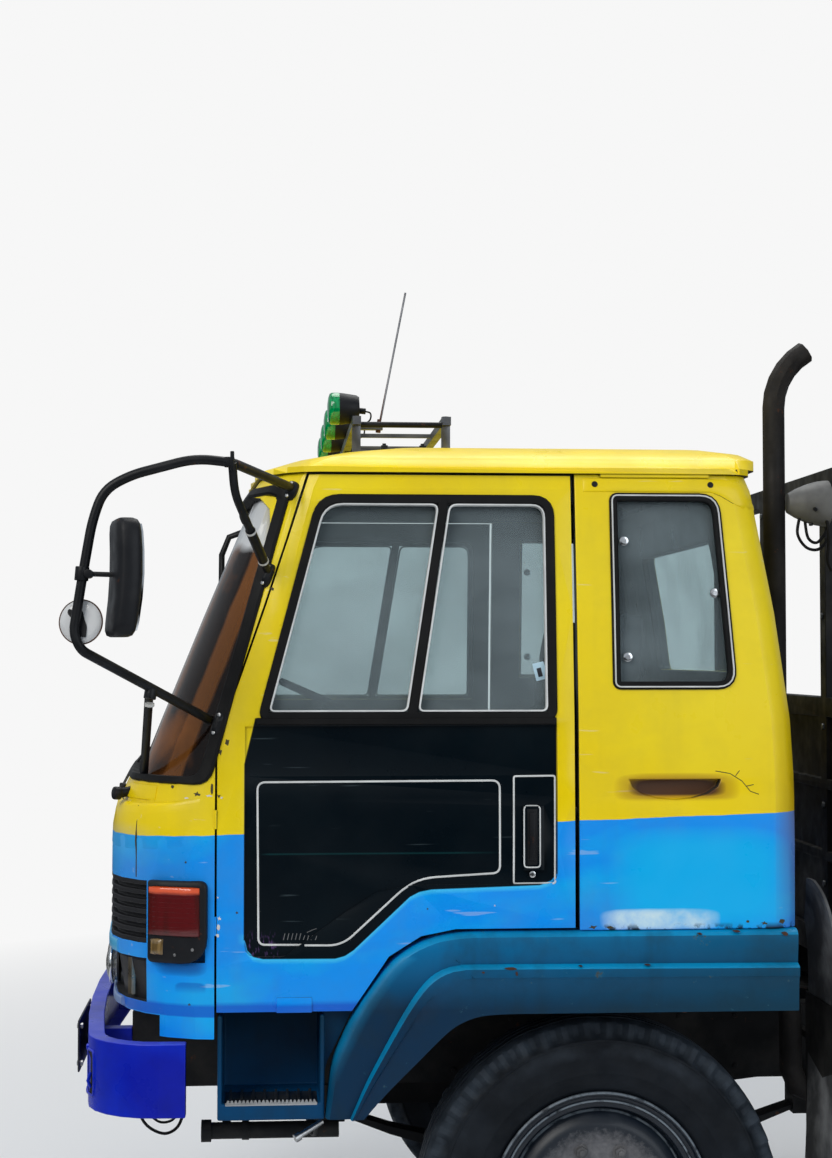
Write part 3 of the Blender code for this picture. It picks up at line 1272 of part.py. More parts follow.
def tail_bar():
    half = TAIL_BAR_SIZE / 2
    x = RAIL_REAR_X + SEAT_GAP
    bar = box((x, -TAIL_BAR_HALF, TAIL_BAR_Z - half), (x + TAIL_BAR_SIZE, TAIL_BAR_HALF, TAIL_BAR_Z + half))
    pieces = [bar]
    for sign in (-1, 1):
        pieces.append(box((x, sign * SPRING_Y - half, TAIL_BAR_Z),
                          (x + RAVE_THICKNESS, sign * SPRING_Y + half, RAIL_TOP_Z)))
        y = sign * TAIL_LAMP_Y
        pieces.append(box((x + RAVE_THICKNESS, y - TAIL_LAMP_WIDTH / 2, TAIL_BAR_Z + half - RAIL_WEB),
                          (x + RAVE_THICKNESS + TAIL_LAMP_DEPTH, y + TAIL_LAMP_WIDTH / 2, TAIL_LAMP_Z)))
    finished(fused(*pieces), "tail_bar", CHASSIS, ORIGIN)


# Cab shell

LEFT_SIDE = (-CAB_HALF_WIDTH - CUT_OVERRUN, -CAB_HALF_WIDTH * SIDE_ZONE_SHARE)


def door_front_x(z):
    """The door's front seam at a height."""
    if z <= DOOR_KNEE_Z:
        return DOOR_FRONT_X
    share = (z - DOOR_KNEE_Z) / (CAB_EAVES_Z - DOOR_KNEE_Z)
    return DOOR_FRONT_X + (DOOR_HEAD_X - DOOR_FRONT_X) * (share + DOOR_BOW_SHARE * share * (1 - share))


def door_front_line(shift):
    heights = [DOOR_SILL_Z, DOOR_KNEE_Z]
    span = CAB_EAVES_Z - DOOR_KNEE_Z
    heights += [DOOR_KNEE_Z + span * step / DOOR_STEPS for step in range(1, DOOR_STEPS + 1)]
    return [(door_front_x(z) + shift, z) for z in heights]


def fender_top_line(shift_x, shift_z):
    """The fender's upper edge, front to rear, from which the door's lower edge is offset."""
    return [(DOOR_ARCH_FRONT_X + shift_x, DOOR_SILL_Z + shift_z),
            (DOOR_ARCH_MID_X + shift_x, DOOR_ARCH_MID_Z + shift_z),
            (DOOR_ARCH_HIGH_X + shift_x, DOOR_ARCH_HIGH_Z + shift_z),
            (DOOR_ARCH_TOP_X + shift_x, FENDER_TOP_Z + shift_z)]


def door_outline():
    front = door_front_line(0)
    top = CAB_EAVES_Z - DOOR_GAP
    front[-1] = (front[-1][0], top)
    arch = fender_top_line(-DOOR_ARCH_GAP, DOOR_ARCH_GAP)
    arch[0] = (arch[0][0], DOOR_SILL_Z)
    return arch + [(DOOR_REAR_X, FENDER_TOP_Z + DOOR_ARCH_GAP), (DOOR_REAR_X, top)] + front[::-1]


def window_outline(shrink):
    corners = [(WINDOW_FRONT_X, DOOR_WAIST_Z), (WINDOW_REAR_X, DOOR_WAIST_Z),
               (WINDOW_REAR_X, WINDOW_HEAD_Z), (WINDOW_HEAD_X, WINDOW_HEAD_Z)]
    return inset_outline(rounded(corners, (0, 0, WINDOW_CORNER, WINDOW_CORNER)), shrink)


def quarter_outline(shrink):
    corners = [(QUARTER_FRONT_X, QUARTER_SILL_Z), (QUARTER_REAR_X + QUARTER_RAKE, QUARTER_SILL_Z),
               (QUARTER_REAR_X, QUARTER_HEAD_Z), (QUARTER_FRONT_X, QUARTER_HEAD_Z)]
    radii = (0, WINDOW_CORNER, WINDOW_CORNER, 0)
    return inset_outline(rounded(corners, radii), shrink)


def screen_outline(shrink):
    reach = -CAB_FRONT_REACH - CUT_OVERRUN
    corners = [(reach, SCREEN_SILL_Z), (SCREEN_EDGE_LOW_X, SCREEN_SILL_Z),
               (SCREEN_EDGE_HIGH_X, SCREEN_HEAD_Z), (reach, SCREEN_HEAD_Z)]
    return inset_outline(rounded(corners, (0, SCREEN_CORNER, SCREEN_CORNER, 0)), shrink)


def across(outline):
    reach = CAB_HALF_WIDTH + CUT_OVERRUN
    return prism(outline, -reach, reach)


def ahead_of(x, low_z, high_z):
    reach = CAB_HALF_WIDTH + CUT_OVERRUN
    return box((-CAB_FRONT_REACH - CUT_OVERRUN, -reach, low_z), (x, reach, high_z))


def band(low_z, high_z, front_x, rear_x, outer, inner):
    """A length of the cab's wall between two heights and two stations along it."""
    reach = CAB_HALF_WIDTH + CUT_OVERRUN
    low, high = (front_x, -reach, low_z - CUT_OVERRUN), (rear_x, reach, high_z + CUT_OVERRUN)
    return shared(cab_wall(low_z, high_z, outer, inner), box(low, high))


def cab_front():
    shell = cab_wall(VALANCE_LOW_Z, CAB_EAVES_Z, 0, CAB_WALL)
    seam = door_front_line(-DOOR_GAP)
    seam[0] = (seam[0][0], VALANCE_LOW_Z - CUT_OVERRUN)
    reach = -CAB_FRONT_REACH - CUT_OVERRUN
    outline = seam + [(seam[-1][0], CAB_EAVES_Z + CUT_OVERRUN), (reach, CAB_EAVES_Z + CUT_OVERRUN),
                      (reach, VALANCE_LOW_Z - CUT_OVERRUN)]
    shell = shared(shell, across(outline))
    far = -CAB_FRONT_REACH - CUT_OVERRUN
    below = ahead_of(VALANCE_FRONT_X, VALANCE_LOW_Z - CUT_OVERRUN, CAB_BOTTOM_Z)
    lamp_band = band(LAMP_PANEL_LOW_Z, LAMP_PANEL_HIGH_Z, far, GRILLE_SIDE_X, -RECESS_OVERRUN, FRONT_RECESS)
    grille_band = band(GRILLE_LOW_Z, GRILLE_HIGH_Z, far, GRILLE_SIDE_X, -RECESS_OVERRUN, FRONT_RECESS)
    corner_band = band(CORNER_LAMP_LOW_Z, CORNER_LAMP_HIGH_Z, CORNER_LAMP_FRONT_X, CORNER_LAMP_REAR_X,
                       -RECESS_OVERRUN, FRONT_RECESS)
    shell = cut(shell, across(screen_outline(0)), below, lamp_band, grille_band, corner_band)
    pins = []
    for sign in (-1, 1):
        for z in HINGE_HEIGHTS:
            pins.append(rod((HINGE_X, sign * HINGE_Y, z), (HINGE_X, sign * HINGE_Y, z + HINGE_LENGTH),
                            HINGE_PIN_RADIUS, HAND_HOLE_SIDES))
            low, high = sorted((sign * (HINGE_Y - HINGE_PIN_RADIUS * 2), sign * HINGE_Y))
            pins.append(box((HINGE_X - DOOR_GAP, low, z), (HINGE_X, high, z + HINGE_LENGTH)))
    finished(fused(shell, *pins), "cab_front", YELLOW, CAB)


def windscreen():
    sheet = cab_wall(SCREEN_SILL_Z + SEAT_GAP, SCREEN_HEAD_Z - SEAT_GAP, GLASS_INSET,
                     GLASS_INSET + GLASS_THICKNESS)
    finished(shared(sheet, across(screen_outline(SEAT_GAP))), "windscreen", GLASS, CAB)


def grille():
    """Horizontal bars stepped out of a back plate."""
    low, high = GRILLE_LOW_Z + SEAT_GAP, GRILLE_HIGH_Z - SEAT_GAP
    pitch = (high - low) / (GRILLE_BARS * 2 + 1)
    profile = []
    for index in range(GRILLE_BARS * 2 + 1):
        depth = GRILLE_BAR_DEPTH if index % 2 else SEAT_GAP
        profile += [(low + pitch * index, depth), (low + pitch * (index + 1), depth)]
    profile += [(high, FRONT_RECESS - SEAT_GAP), (low, FRONT_RECESS - SEAT_GAP)]
    ring = cab_ring(profile)
    piece = shared(ring, ahead_of(GRILLE_SIDE_X - SEAT_GAP, low - CUT_OVERRUN, high + CUT_OVERRUN))
    finished(piece, "grille", BLACK, CAB)


def headlamp_panel():
    low, high = LAMP_PANEL_LOW_Z + SEAT_GAP, LAMP_PANEL_HIGH_Z - SEAT_GAP
    far = -CAB_FRONT_REACH - CUT_OVERRUN
    panel = band(low, high, far, GRILLE_SIDE_X - SEAT_GAP, LAMP_PANEL_DEPTH, FRONT_RECESS - SEAT_GAP)
    middle = (low + high) / 2
    lamps = []
    for y in HEADLAMP_YS:
        for sign in (-1, 1):
            front_x = nose_x(y, middle) + HEADLAMP_STAND
            back_x = nose_x(y - HEADLAMP_RADIUS, high) + FRONT_RECESS - HEADLAMP_SET
            lamps.append(rod((front_x, sign * y, middle), (back_x, sign * y, middle), HEADLAMP_RADIUS,
                             HUB_SIDES))
    finished(fused(panel, *lamps), "headlamp_panel", BLACK, CAB)


def corner_lamps():
    low, high = CORNER_LAMP_LOW_Z + SEAT_GAP, CORNER_LAMP_HIGH_Z - SEAT_GAP
    ring = band(low, high, CORNER_LAMP_FRONT_X + SEAT_GAP, CORNER_LAMP_REAR_X - SEAT_GAP,
                -CORNER_LAMP_STAND, FRONT_RECESS - SEAT_GAP)
    corner = (-CAB_FRONT_REACH - CUT_OVERRUN, -CAB_HALF_WIDTH - CUT_OVERRUN, low - CUT_OVERRUN)
    left = shared(ring, box(corner, (0, 0, high + CUT_OVERRUN)))
    finished_pair(left, "corner_lamp", RED_LENS, (CAB, CAB))


def doors():
    shell = cab_wall(DOOR_SILL_Z, CAB_EAVES_Z - DOOR_GAP, 0, CAB_WALL)
    door = shared(shell, prism(door_outline(), *LEFT_SIDE))
    panel_recess = cab_wall(DOOR_SILL_Z, DOOR_WAIST_Z, -RECESS_OVERRUN, DOOR_RECESS)
    panel_recess = shared(panel_recess, prism(door_panel_outline(), *LEFT_SIDE))
    door = cut(door, prism(window_outline(0), *LEFT_SIDE), panel_recess)
    low = (HANDLE_X - HANDLE_WIDTH / 2, -CAB_HALF_WIDTH - HANDLE_STAND, HANDLE_Z - HANDLE_HEIGHT / 2)
    high = (HANDLE_X + HANDLE_WIDTH / 2, -CAB_HALF_WIDTH + HANDLE_DEPTH, HANDLE_Z + HANDLE_HEIGHT / 2)
    finished_pair(fused(door, box(low, high)), "door", YELLOW, DOORS)
    sheet = cab_wall(DOOR_WAIST_Z + SEAT_GAP, WINDOW_HEAD_Z - SEAT_GAP, GLASS_INSET,
                     GLASS_INSET + GLASS_THICKNESS)
    glass = shared(sheet, prism(window_outline(SEAT_GAP), *LEFT_SIDE))
    finished_pair(glass, "door_glass", GLASS, DOORS)


def door_panel_outline():
    """The pressed lower panel of the door, which follows the wheel arch."""
    line = fender_top_line(-PANEL_ARCH_GAP, PANEL_ARCH_GAP)
    corners = [(PANEL_FRONT_X, PANEL_LOW_Z), (line[0][0] - PANEL_ARCH_GAP / 2, PANEL_LOW_Z), line[1], line[2],
               (line[3][0], line[3][1]), (PANEL_REAR_X, line[3][1]), (PANEL_REAR_X, PANEL_TOP_Z),
               (PANEL_FRONT_X, PANEL_TOP_Z)]
    return rounded(corners, (DOOR_CORNER, DOOR_CORNER, 0, 0, 0, DOOR_CORNER, 0, 0))


def quarter_panels():
    low = FENDER_TOP_Z + SEAT_GAP
    shell = cab_wall(low, CAB_EAVES_Z, 0, CAB_WALL)
    zone = box((DOOR_REAR_X + DOOR_REAR_GAP, -CAB_HALF_WIDTH - CUT_OVERRUN, low - CUT_OVERRUN),
               (CAB_REAR_REACH + CUT_OVERRUN, -REAR_SEAM_Y - SEAT_GAP, CAB_EAVES_Z + CUT_OVERRUN))
    panel = shared(shell, zone)
    half = SCOOP_LENGTH / 2
    scoop = prism([(SCOOP_X - half, SCOOP_Z)] + arc((SCOOP_X, SCOOP_Z), half, 180, 360, SCOOP_STEPS)[1:-1]
                  + [(SCOOP_X + half, SCOOP_Z)], -CAB_HALF_WIDTH - CUT_OVERRUN, -CAB_HALF_WIDTH + SCOOP_DEPTH)
    scoop.data.transform(Matrix.Translation((0, 0, SCOOP_Z)) @ Matrix.Scale(SCOOP_HEIGHT / half, 4, (0, 0, 1))
                         @ Matrix.Translation((0, 0, -SCOOP_Z)))
    panel = cut(panel, prism(quarter_outline(0), *LEFT_SIDE), scoop)
    finished_pair(panel, "quarter_panel", YELLOW, (CAB, CAB))
    sheet = cab_wall(QUARTER_SILL_Z + SEAT_GAP, QUARTER_HEAD_Z - SEAT_GAP, GLASS_INSET,
                     GLASS_INSET + GLASS_THICKNESS)
    glass = shared(sheet, prism(quarter_outline(SEAT_GAP), *LEFT_SIDE))
    finished_pair(glass, "quarter_glass", GLASS, (CAB, CAB))


def cab_rear():
    shell = cab_wall(CAB_REAR_SILL_Z, CAB_EAVES_Z, 0, CAB_WALL)
    zone = box((0, -REAR_SEAM_Y, CAB_REAR_SILL_Z - CUT_OVERRUN),
               (CAB_REAR_REACH + CUT_OVERRUN, REAR_SEAM_Y, CAB_EAVES_Z + CUT_OVERRUN))
    wall = shared(shell, zone)
    corners = [(-REAR_WINDOW_HALF, REAR_WINDOW_LOW_Z), (REAR_WINDOW_HALF, REAR_WINDOW_LOW_Z),
               (REAR_WINDOW_HALF, REAR_WINDOW_HIGH_Z), (-REAR_WINDOW_HALF, REAR_WINDOW_HIGH_Z)]
    outline = rounded(corners, WINDOW_CORNER)
    wall = cut(wall, prism(outline, 0, CAB_REAR_REACH + CUT_OVERRUN, "YZ"))
    finished(wall, "cab_rear_wall", YELLOW, CAB)
    sheet = cab_wall(REAR_WINDOW_LOW_Z + SEAT_GAP, REAR_WINDOW_HIGH_Z - SEAT_GAP, GLASS_INSET,
                     GLASS_INSET + GLASS_THICKNESS)
    outline = inset_outline(outline, SEAT_GAP)
    finished(shared(sheet, prism(outline, 0, CAB_REAR_REACH + CUT_OVERRUN, "YZ")), "rear_glass", GLASS, CAB)


def roof_plan(share_row, z, inset):
    half, front, nose, rear = share_row
    points = plan(front * CAB_FRONT_REACH, half * CAB_HALF_WIDTH, rear * CAB_REAR_REACH,
                  nose * CAB_NOSE_DEPTH, CAB_NOSE_WIDTH, CAB_FRONT_BULGE, CAB_REAR_CORNER, inset)
    return [(x, y, z) for x, y in whole_plan(points)]


def roof_block():
    """The roof's outer form: a crowned skin over a drip channel."""
    base = CAB_EAVES_Z + SEAT_GAP
    lip = CAB_LEVEL_SHARES[-1][1:]
    outer = [roof_plan(lip, base, -ROOF_DRIP), roof_plan(lip, base + ROOF_DRIP_HEIGHT, -ROOF_DRIP)]
    for share, *row in ROOF_LEVEL_SHARES:
        outer.append(roof_plan(row, base + ROOF_DRIP_HEIGHT + share * (ROOF_RISE - ROOF_DRIP_HEIGHT), 0))
    return skinned(outer, True, False)


def roof_hollow():
    base = CAB_EAVES_Z + SEAT_GAP
    lip = CAB_LEVEL_SHARES[-1][1:]
    inner = [roof_plan(lip, base, CAB_WALL)]
    for share, *row in ROOF_LEVEL_SHARES[:-1]:
        height = base + share * (ROOF_RISE - ROOF_THICKNESS) + ROOF_DRIP_HEIGHT / 2
        inner.append(roof_plan(row, height, CAB_WALL))
    return skinned([roof_plan(lip, base - CUT_OVERRUN, CAB_WALL)] + inner, True, False)


def cab_floor():
    wall = CAB_WALL + SEAT_GAP
    front = shared(cab_core(FLOOR_LOW_Z, FLOOR_LOW_Z + FLOOR_THICKNESS, wall),
                   box((-CAB_FRONT_REACH, -FLOOR_FRONT_HALF, FLOOR_LOW_Z - CUT_OVERRUN),
                       (FLOOR_STEP_X + FLOOR_THICKNESS, FLOOR_FRONT_HALF, FLOOR_HIGH_Z)))
    rear_half = FENDER_INNER_Y - SEAT_GAP
    rear = shared(cab_core(FLOOR_HIGH_Z - FLOOR_THICKNESS, FLOOR_HIGH_Z, wall),
                  box((FLOOR_STEP_X, -rear_half, FLOOR_LOW_Z),
                      (CAB_REAR_REACH, rear_half, FLOOR_HIGH_Z + CUT_OVERRUN)))
    riser = box((FLOOR_STEP_X, -rear_half, FLOOR_LOW_Z),
                (FLOOR_STEP_X + FLOOR_THICKNESS, rear_half, FLOOR_HIGH_Z))
    tunnel_rear = cab_sizes(FLOOR_HIGH_Z)[3] - wall
    hump = box((TUNNEL_FRONT_X, -TUNNEL_HALF, FLOOR_LOW_Z), (tunnel_rear, TUNNEL_HALF, TUNNEL_TOP_Z))
    inner = box((TUNNEL_FRONT_X + TUNNEL_WALL, -TUNNEL_HALF + TUNNEL_WALL, FLOOR_LOW_Z - CUT_OVERRUN),
                (tunnel_rear - TUNNEL_WALL, TUNNEL_HALF - TUNNEL_WALL, TUNNEL_TOP_Z - TUNNEL_WALL))
    lugs = []
    for sign in (-1, 1):
        near = sign * TILT_LUG_Y - TILT_LUG_WIDTH / 2
        far = sign * TILT_LUG_Y + TILT_LUG_WIDTH / 2
        lugs.append(box((TILT_X - TILT_LUG_HALF, near, TILT_Z), (TILT_X + TILT_LUG_HALF, far,
                        FLOOR_LOW_Z + FLOOR_THICKNESS / 2)))
        lugs.append(rod((TILT_X, near, TILT_Z), (TILT_X, far, TILT_Z), TILT_LUG_HALF, TILT_PIN_SIDES))
    bore = rod((TILT_X, -CAB_HALF_WIDTH, TILT_Z), (TILT_X, CAB_HALF_WIDTH, TILT_Z),
               TILT_PIN_RADIUS + TILT_CLEARANCE * 2, TILT_PIN_SIDES)
    floor = cut(fused(front, rear, riser, hump, *lugs), inner, bore)
    finished(floor, "cab_floor", CHASSIS, CAB)


# Fender, step and other things hung on the cab

def fender():
    """A two-step band round the wheel arch, hollow towards the wheel."""
    top = fender_top_line(0, 0)
    arch = [(ARCH_REAR_X, ARCH_TOP_Z), (ARCH_TOP_X, ARCH_TOP_Z), (ARCH_BEND_X, ARCH_BEND_Z),
            (ARCH_LOW_X, ARCH_LOW_Z), (ARCH_TOE_X, FENDER_TOE_Z)]
    toe = [(FENDER_TOE_X, FENDER_TOE_Z), (FENDER_SHIN_X, FENDER_SHIN_Z)]
    outline = (arch + toe + top + [(FENDER_REAR_X, FENDER_TOP_Z)])[::-1]
    upper = prism(outline, -FENDER_UPPER_Y, -FENDER_INNER_Y)
    crease_z = ARCH_TOP_Z + FENDER_CREASE
    mid = [(FENDER_REAR_X, crease_z), (ARCH_TOP_X - FENDER_CREASE / 4, crease_z),
           (ARCH_BEND_X - FENDER_CREASE * 2 / 3, ARCH_BEND_Z + FENDER_CREASE),
           (ARCH_LOW_X - FENDER_CREASE, ARCH_LOW_Z + FENDER_CREASE / 2)]
    lower_outline = (arch + [(FENDER_TOE_X, FENDER_TOE_Z)] + mid[::-1])[::-1]
    lower = prism(lower_outline, -FENDER_LOWER_Y, -FENDER_INNER_Y)
    inner = prism(inset_outline(outline, FENDER_SKIN), -FENDER_UPPER_Y + FENDER_SKIN,
                  -FENDER_INNER_Y + CUT_OVERRUN)
    finished_pair(cut(fused(upper, lower), inner), "fender", TEAL, (CAB, CAB))


def steps():
    """Open step wells in the cab's corners, each with a tread."""
    deck_top = FLOOR_LOW_Z - SEAT_GAP
    back = box((STEP_FRONT_X, -STEP_SHELL_Y, STEP_BOTTOM_Z), (STEP_REAR_X, -STEP_BACK_Y, deck_top))
    outer = box((STEP_FRONT_X, -STEP_OUTER_Y, STEP_BOTTOM_Z), (STEP_REAR_X, -STEP_BACK_Y, STEP_TOP_Z))
    well = box((STEP_FRONT_X + STEP_SKIN, -STEP_OUTER_Y - CUT_OVERRUN, STEP_TREAD_Z),
               (STEP_REAR_X - STEP_SKIN, -STEP_BACK_Y - STEP_SKIN, deck_top + CUT_OVERRUN))
    under = box((STEP_FRONT_X + STEP_SKIN, -STEP_OUTER_Y + STEP_SKIN, STEP_BOTTOM_Z - CUT_OVERRUN),
                (STEP_REAR_X - STEP_SKIN, -STEP_BACK_Y - STEP_SKIN, STEP_TREAD_Z - STEP_SKIN))
    finished_pair(cut(fused(back, outer), well, under), "step", TEAL, (CAB, CAB))


def cab_envelope(clearance):
    return cab_core(CAB_BOTTOM_Z, CAB_EAVES_Z, -clearance)


def mirror_head(x, y, clamp_x):
    """Rounded housing of a tall mirror, and the two rods that clamp it to the arm."""
    depth, width, height = MIRROR_HEAD_DEPTH / 2, MIRROR_HEAD_WIDTH / 2, MIRROR_HEAD_HEIGHT / 2
    head = box((x - depth, y - width, MIRROR_HEAD_Z - height), (x + depth, y + width, MIRROR_HEAD_Z + height))
    bevel = head.modifiers.new("Rounded edges", "BEVEL")
    bevel.width = MIRROR_HEAD_CORNER
    bevel.segments = 2
    return [evaluated(head)] + [rod((clamp_x, y, z), (x, y, z), ARM_RADIUS, HAND_HOLE_SIDES)
                                for z in MIRROR_CLAMP_ZS]


def mirrors():
    """Braced mirror arms: a long one ahead of the left door, and a short one beside the right door."""
    y = -MIRROR_Y
    root = [(x, inset - CAB_HALF_WIDTH, z) for x, inset, z in MIRROR_ROOTS]
    arm = [root[0]] + [(x, y, z) for x, z in MIRROR_ARM_ROUTE] + [root[1]]
    brace = [arm[1], root[2]]
    strut = [tuple((first + last) / 2 for first, last in zip(arm[-2], arm[-1])), root[3]]
    pieces = [tube(route, ARM_RADIUS) for route in (arm, brace, strut)]
    pieces += mirror_head(MIRROR_HEAD_X, y, MIRROR_CLAMP_X)
    middle = Vector((ROUND_MIRROR_X, y + ARM_RADIUS + ROUND_MIRROR_DEPTH / 4, ROUND_MIRROR_Z))
    reach = Vector((ROUND_MIRROR_SLANT_SHARE, 1, 0)).normalized() * ROUND_MIRROR_DEPTH / 2
    pieces.append(rod(middle - reach, middle + reach, ROUND_MIRROR_RADIUS, HUB_SIDES))
    finished(cut(fused(*pieces), cab_envelope(SEAT_GAP)), "mirror_left", BLACK, CAB)
    root = [(x, -y_root, z) for x, y_root, z in root]
    arm = [root[0]] + [(x, CAB_HALF_WIDTH + out, z) for x, out, z in SHORT_ARM_ROUTE] + [root[1]]
    pieces = [tube(route, ARM_RADIUS) for route in (arm, [arm[1], root[2]])]
    pieces += mirror_head(SHORT_ARM_HEAD_X, MIRROR_Y, SHORT_ARM_CLAMP_X)
    finished(cut(fused(*pieces), cab_envelope(SEAT_GAP)), "mirror_right", BLACK, CAB)


def roof_rack(roof_shape):
    """Rack on four posts with a row of marker lamps and a whip aerial."""
    bar = RACK_BAR / 2
    pieces = []
    for y in (-RACK_POST_Y, RACK_POST_Y):
        for x in (RACK_FRONT_X, RACK_REAR_X):
            pieces.append(box((x - bar, y - bar, RACK_FOOT_Z - RACK_BAR), (x + bar, y + bar, RACK_TOP_Z)))
        pieces.append(box((RACK_FRONT_X, y - bar, RACK_FOOT_Z - bar),
                          (RACK_REAR_X, y + bar, RACK_FOOT_Z + bar)))
    for x in (RACK_FRONT_X, RACK_REAR_X):
        pieces.append(box((x - bar, -RACK_HALF, RACK_TOP_Z - 2 * bar), (x + bar, RACK_HALF, RACK_TOP_Z)))
    for share in RACK_BAR_SHARES:
        y = RACK_POST_Y * share
        pieces.append(box((RACK_FRONT_X, y - bar / 2, RACK_TOP_Z - bar * 3 / 2),
                          (RACK_REAR_X, y + bar / 2, RACK_TOP_Z - bar / 2)))
    for y in MARKER_YS:
        for sign in (-1, 1):
            pieces.append(rod((MARKER_FRONT_X, sign * y, MARKER_Z), (RACK_FRONT_X + bar, sign * y, MARKER_Z),
                              MARKER_RADIUS, HUB_SIDES, MARKER_RADIUS * MARKER_BACK_SHARE))
            pieces.append(box((RACK_FRONT_X - bar, sign * y - bar, RACK_TOP_Z - bar),
                              (RACK_FRONT_X + bar, sign * y + bar, MARKER_Z)))
    whip = [(ANTENNA_FOOT_X, ANTENNA_Y, RACK_TOP_Z - bar), (ANTENNA_TIP_X, ANTENNA_Y, ANTENNA_TIP_Z)]
    pieces.append(tube(whip, ANTENNA_RADIUS))
    pieces.append(box((RACK_FRONT_X, ANTENNA_Y - bar, RACK_TOP_Z - bar),
                      (ANTENNA_FOOT_X + bar, ANTENNA_Y + bar, RACK_TOP_Z)))
    below = copied(roof_shape, (0, 0, SEAT_GAP))
    finished(cut(fused(*pieces), below), "roof_rack", GALVANISED, CAB)


# Cab inside

def dashboard():
    shelf = across([(-CAB_FRONT_REACH, DASH_LOW_Z), (DASH_REAR_X - DASH_RAKE, DASH_LOW_Z),
                    (DASH_REAR_X, DASH_LOW_Z + DASH_LIP), (DASH_REAR_X, DASH_HIGH_Z - DASH_LIP),
                    (DASH_REAR_X - DASH_RAKE, DASH_HIGH_Z), (-CAB_FRONT_REACH, DASH_HIGH_Z)])
    core = cab_core(DASH_LOW_Z - DASH_LIP, DASH_HIGH_Z + DASH_LIP, CAB_WALL + SEAT_GAP)
    limit = box((-CAB_FRONT_REACH, -DASH_HALF, DASH_LOW_Z - DASH_LIP), (0, DASH_HALF, DASH_HIGH_Z + DASH_LIP))
    finished(shared(shelf, core, limit), "dashboard", PLASTIC, CAB)


def steering_wheel():
    form = bmesh.new()
    rows = []
    for step in range(WHEEL_STEPS):
        around = 2 * math.pi * step / WHEEL_STEPS
        row = []
        for side in range(WHEEL_RIM_SIDES):
            turn = 2 * math.pi * side / WHEEL_RIM_SIDES
            radius = WHEEL_RADIUS + WHEEL_RIM * math.cos(turn)
            row.append(form.verts.new((radius * math.cos(around), radius * math.sin(around),
                                       WHEEL_RIM * math.sin(turn))))
        rows.append(row)
    for step, row in enumerate(rows):
        after = rows[(step + 1) % WHEEL_STEPS]
        for side in range(WHEEL_RIM_SIDES):
            near = (side + 1) % WHEEL_RIM_SIDES
            form.faces.new((row[side], after[side], after[near], row[near]))
    pieces = [from_bmesh(form)]
    pieces.append(box((-WHEEL_RADIUS, -WHEEL_RIM, -WHEEL_RIM / 2), (WHEEL_RADIUS, WHEEL_RIM, WHEEL_RIM / 2)))
    pieces.append(rod((0, 0, -WHEEL_HUB), (0, 0, WHEEL_RIM), WHEEL_HUB, HUB_SIDES))
    drop = (WHEEL_Z - FLOOR_LOW_Z - FLOOR_THICKNESS - SEAT_GAP) / math.cos(WHEEL_TILT)
    reach = drop - COLUMN_RADIUS * math.tan(WHEEL_TILT)
    pieces.append(rod((0, 0, -reach), (0, 0, 0), COLUMN_RADIUS, HUB_SIDES))
    wheel = fused(*pieces)
    tilt = Matrix.Rotation(WHEEL_TILT, 4, "Y")
    wheel.data.transform(Matrix.Translation((WHEEL_X, WHEEL_Y, WHEEL_Z)) @ tilt)
    finished(wheel, "steering_wheel", PLASTIC, CAB)


def seats():
    top = SEAT_BASE_Z + SEAT_CUSHION
    side = [(SEAT_FRONT_X, SEAT_BASE_Z), (SEAT_REAR_X, SEAT_BASE_Z),
            (SEAT_REAR_X + SEAT_BACK_RAKE, SEAT_BACK_TOP_Z),
            (SEAT_REAR_X + SEAT_BACK_RAKE - SEAT_BACK_THICKNESS, SEAT_BACK_TOP_Z),
            (SEAT_REAR_X - SEAT_BACK_THICKNESS, top), (SEAT_FRONT_X, top)]
    pad = prism(side, -SEAT_Y - SEAT_HALF, -SEAT_Y + SEAT_HALF)
    foot = box((SEAT_FRONT_X + SEAT_INSET, -SEAT_Y - SEAT_HALF + SEAT_INSET, FLOOR_HIGH_Z + SEAT_GAP),
               (SEAT_REAR_X - SEAT_INSET, -SEAT_Y + SEAT_HALF - SEAT_INSET, SEAT_BASE_Z + SEAT_INSET / 2))
    finished_pair(fused(pad, foot), "seat", CLOTH, (CAB, CAB))


def bunk():
    rear = cab_sizes(BUNK_TOP_Z)[3] - CAB_WALL - SEAT_GAP
    base = TUNNEL_TOP_Z + SEAT_GAP
    front = SEAT_REAR_X + SEAT_BACK_RAKE + SEAT_INSET
    finished(box((front, -BUNK_HALF, base), (rear, BUNK_HALF, BUNK_TOP_Z)), "bunk", CLOTH, CAB)


def build():
    wheels()
    front_axle()
    rear_axle()
    knuckle()
    frame()
    engine()
    bumper()
    tank_and_battery()
    exhaust()
    front_flaps()
    bed_frame()
    bed_floor()
    headboard()
    rear_mudguards()
    tail_bar()
    cab_front()
    windscreen()
    grille()
    headlamp_panel()
    corner_lamps()
    doors()
    quarter_panels()
    cab_rear()
    cab_floor()
    fender()
    steps()
    mirrors()
    roof_shape = roof_block()
    roof_rack(roof_shape)
    finished(cut(roof_shape, roof_hollow()), "cab_roof", YELLOW, CAB)
    dashboard()
    steering_wheel()
    seats()
    bunk()


build()
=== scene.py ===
"""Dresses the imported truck: paint, seals, stripes, lamps, tyres and trim, in a plain studio."""

import json
import math

import bmesh
import bpy
from mathutils import Matrix, Vector
from mathutils.bvhtree import BVHTree

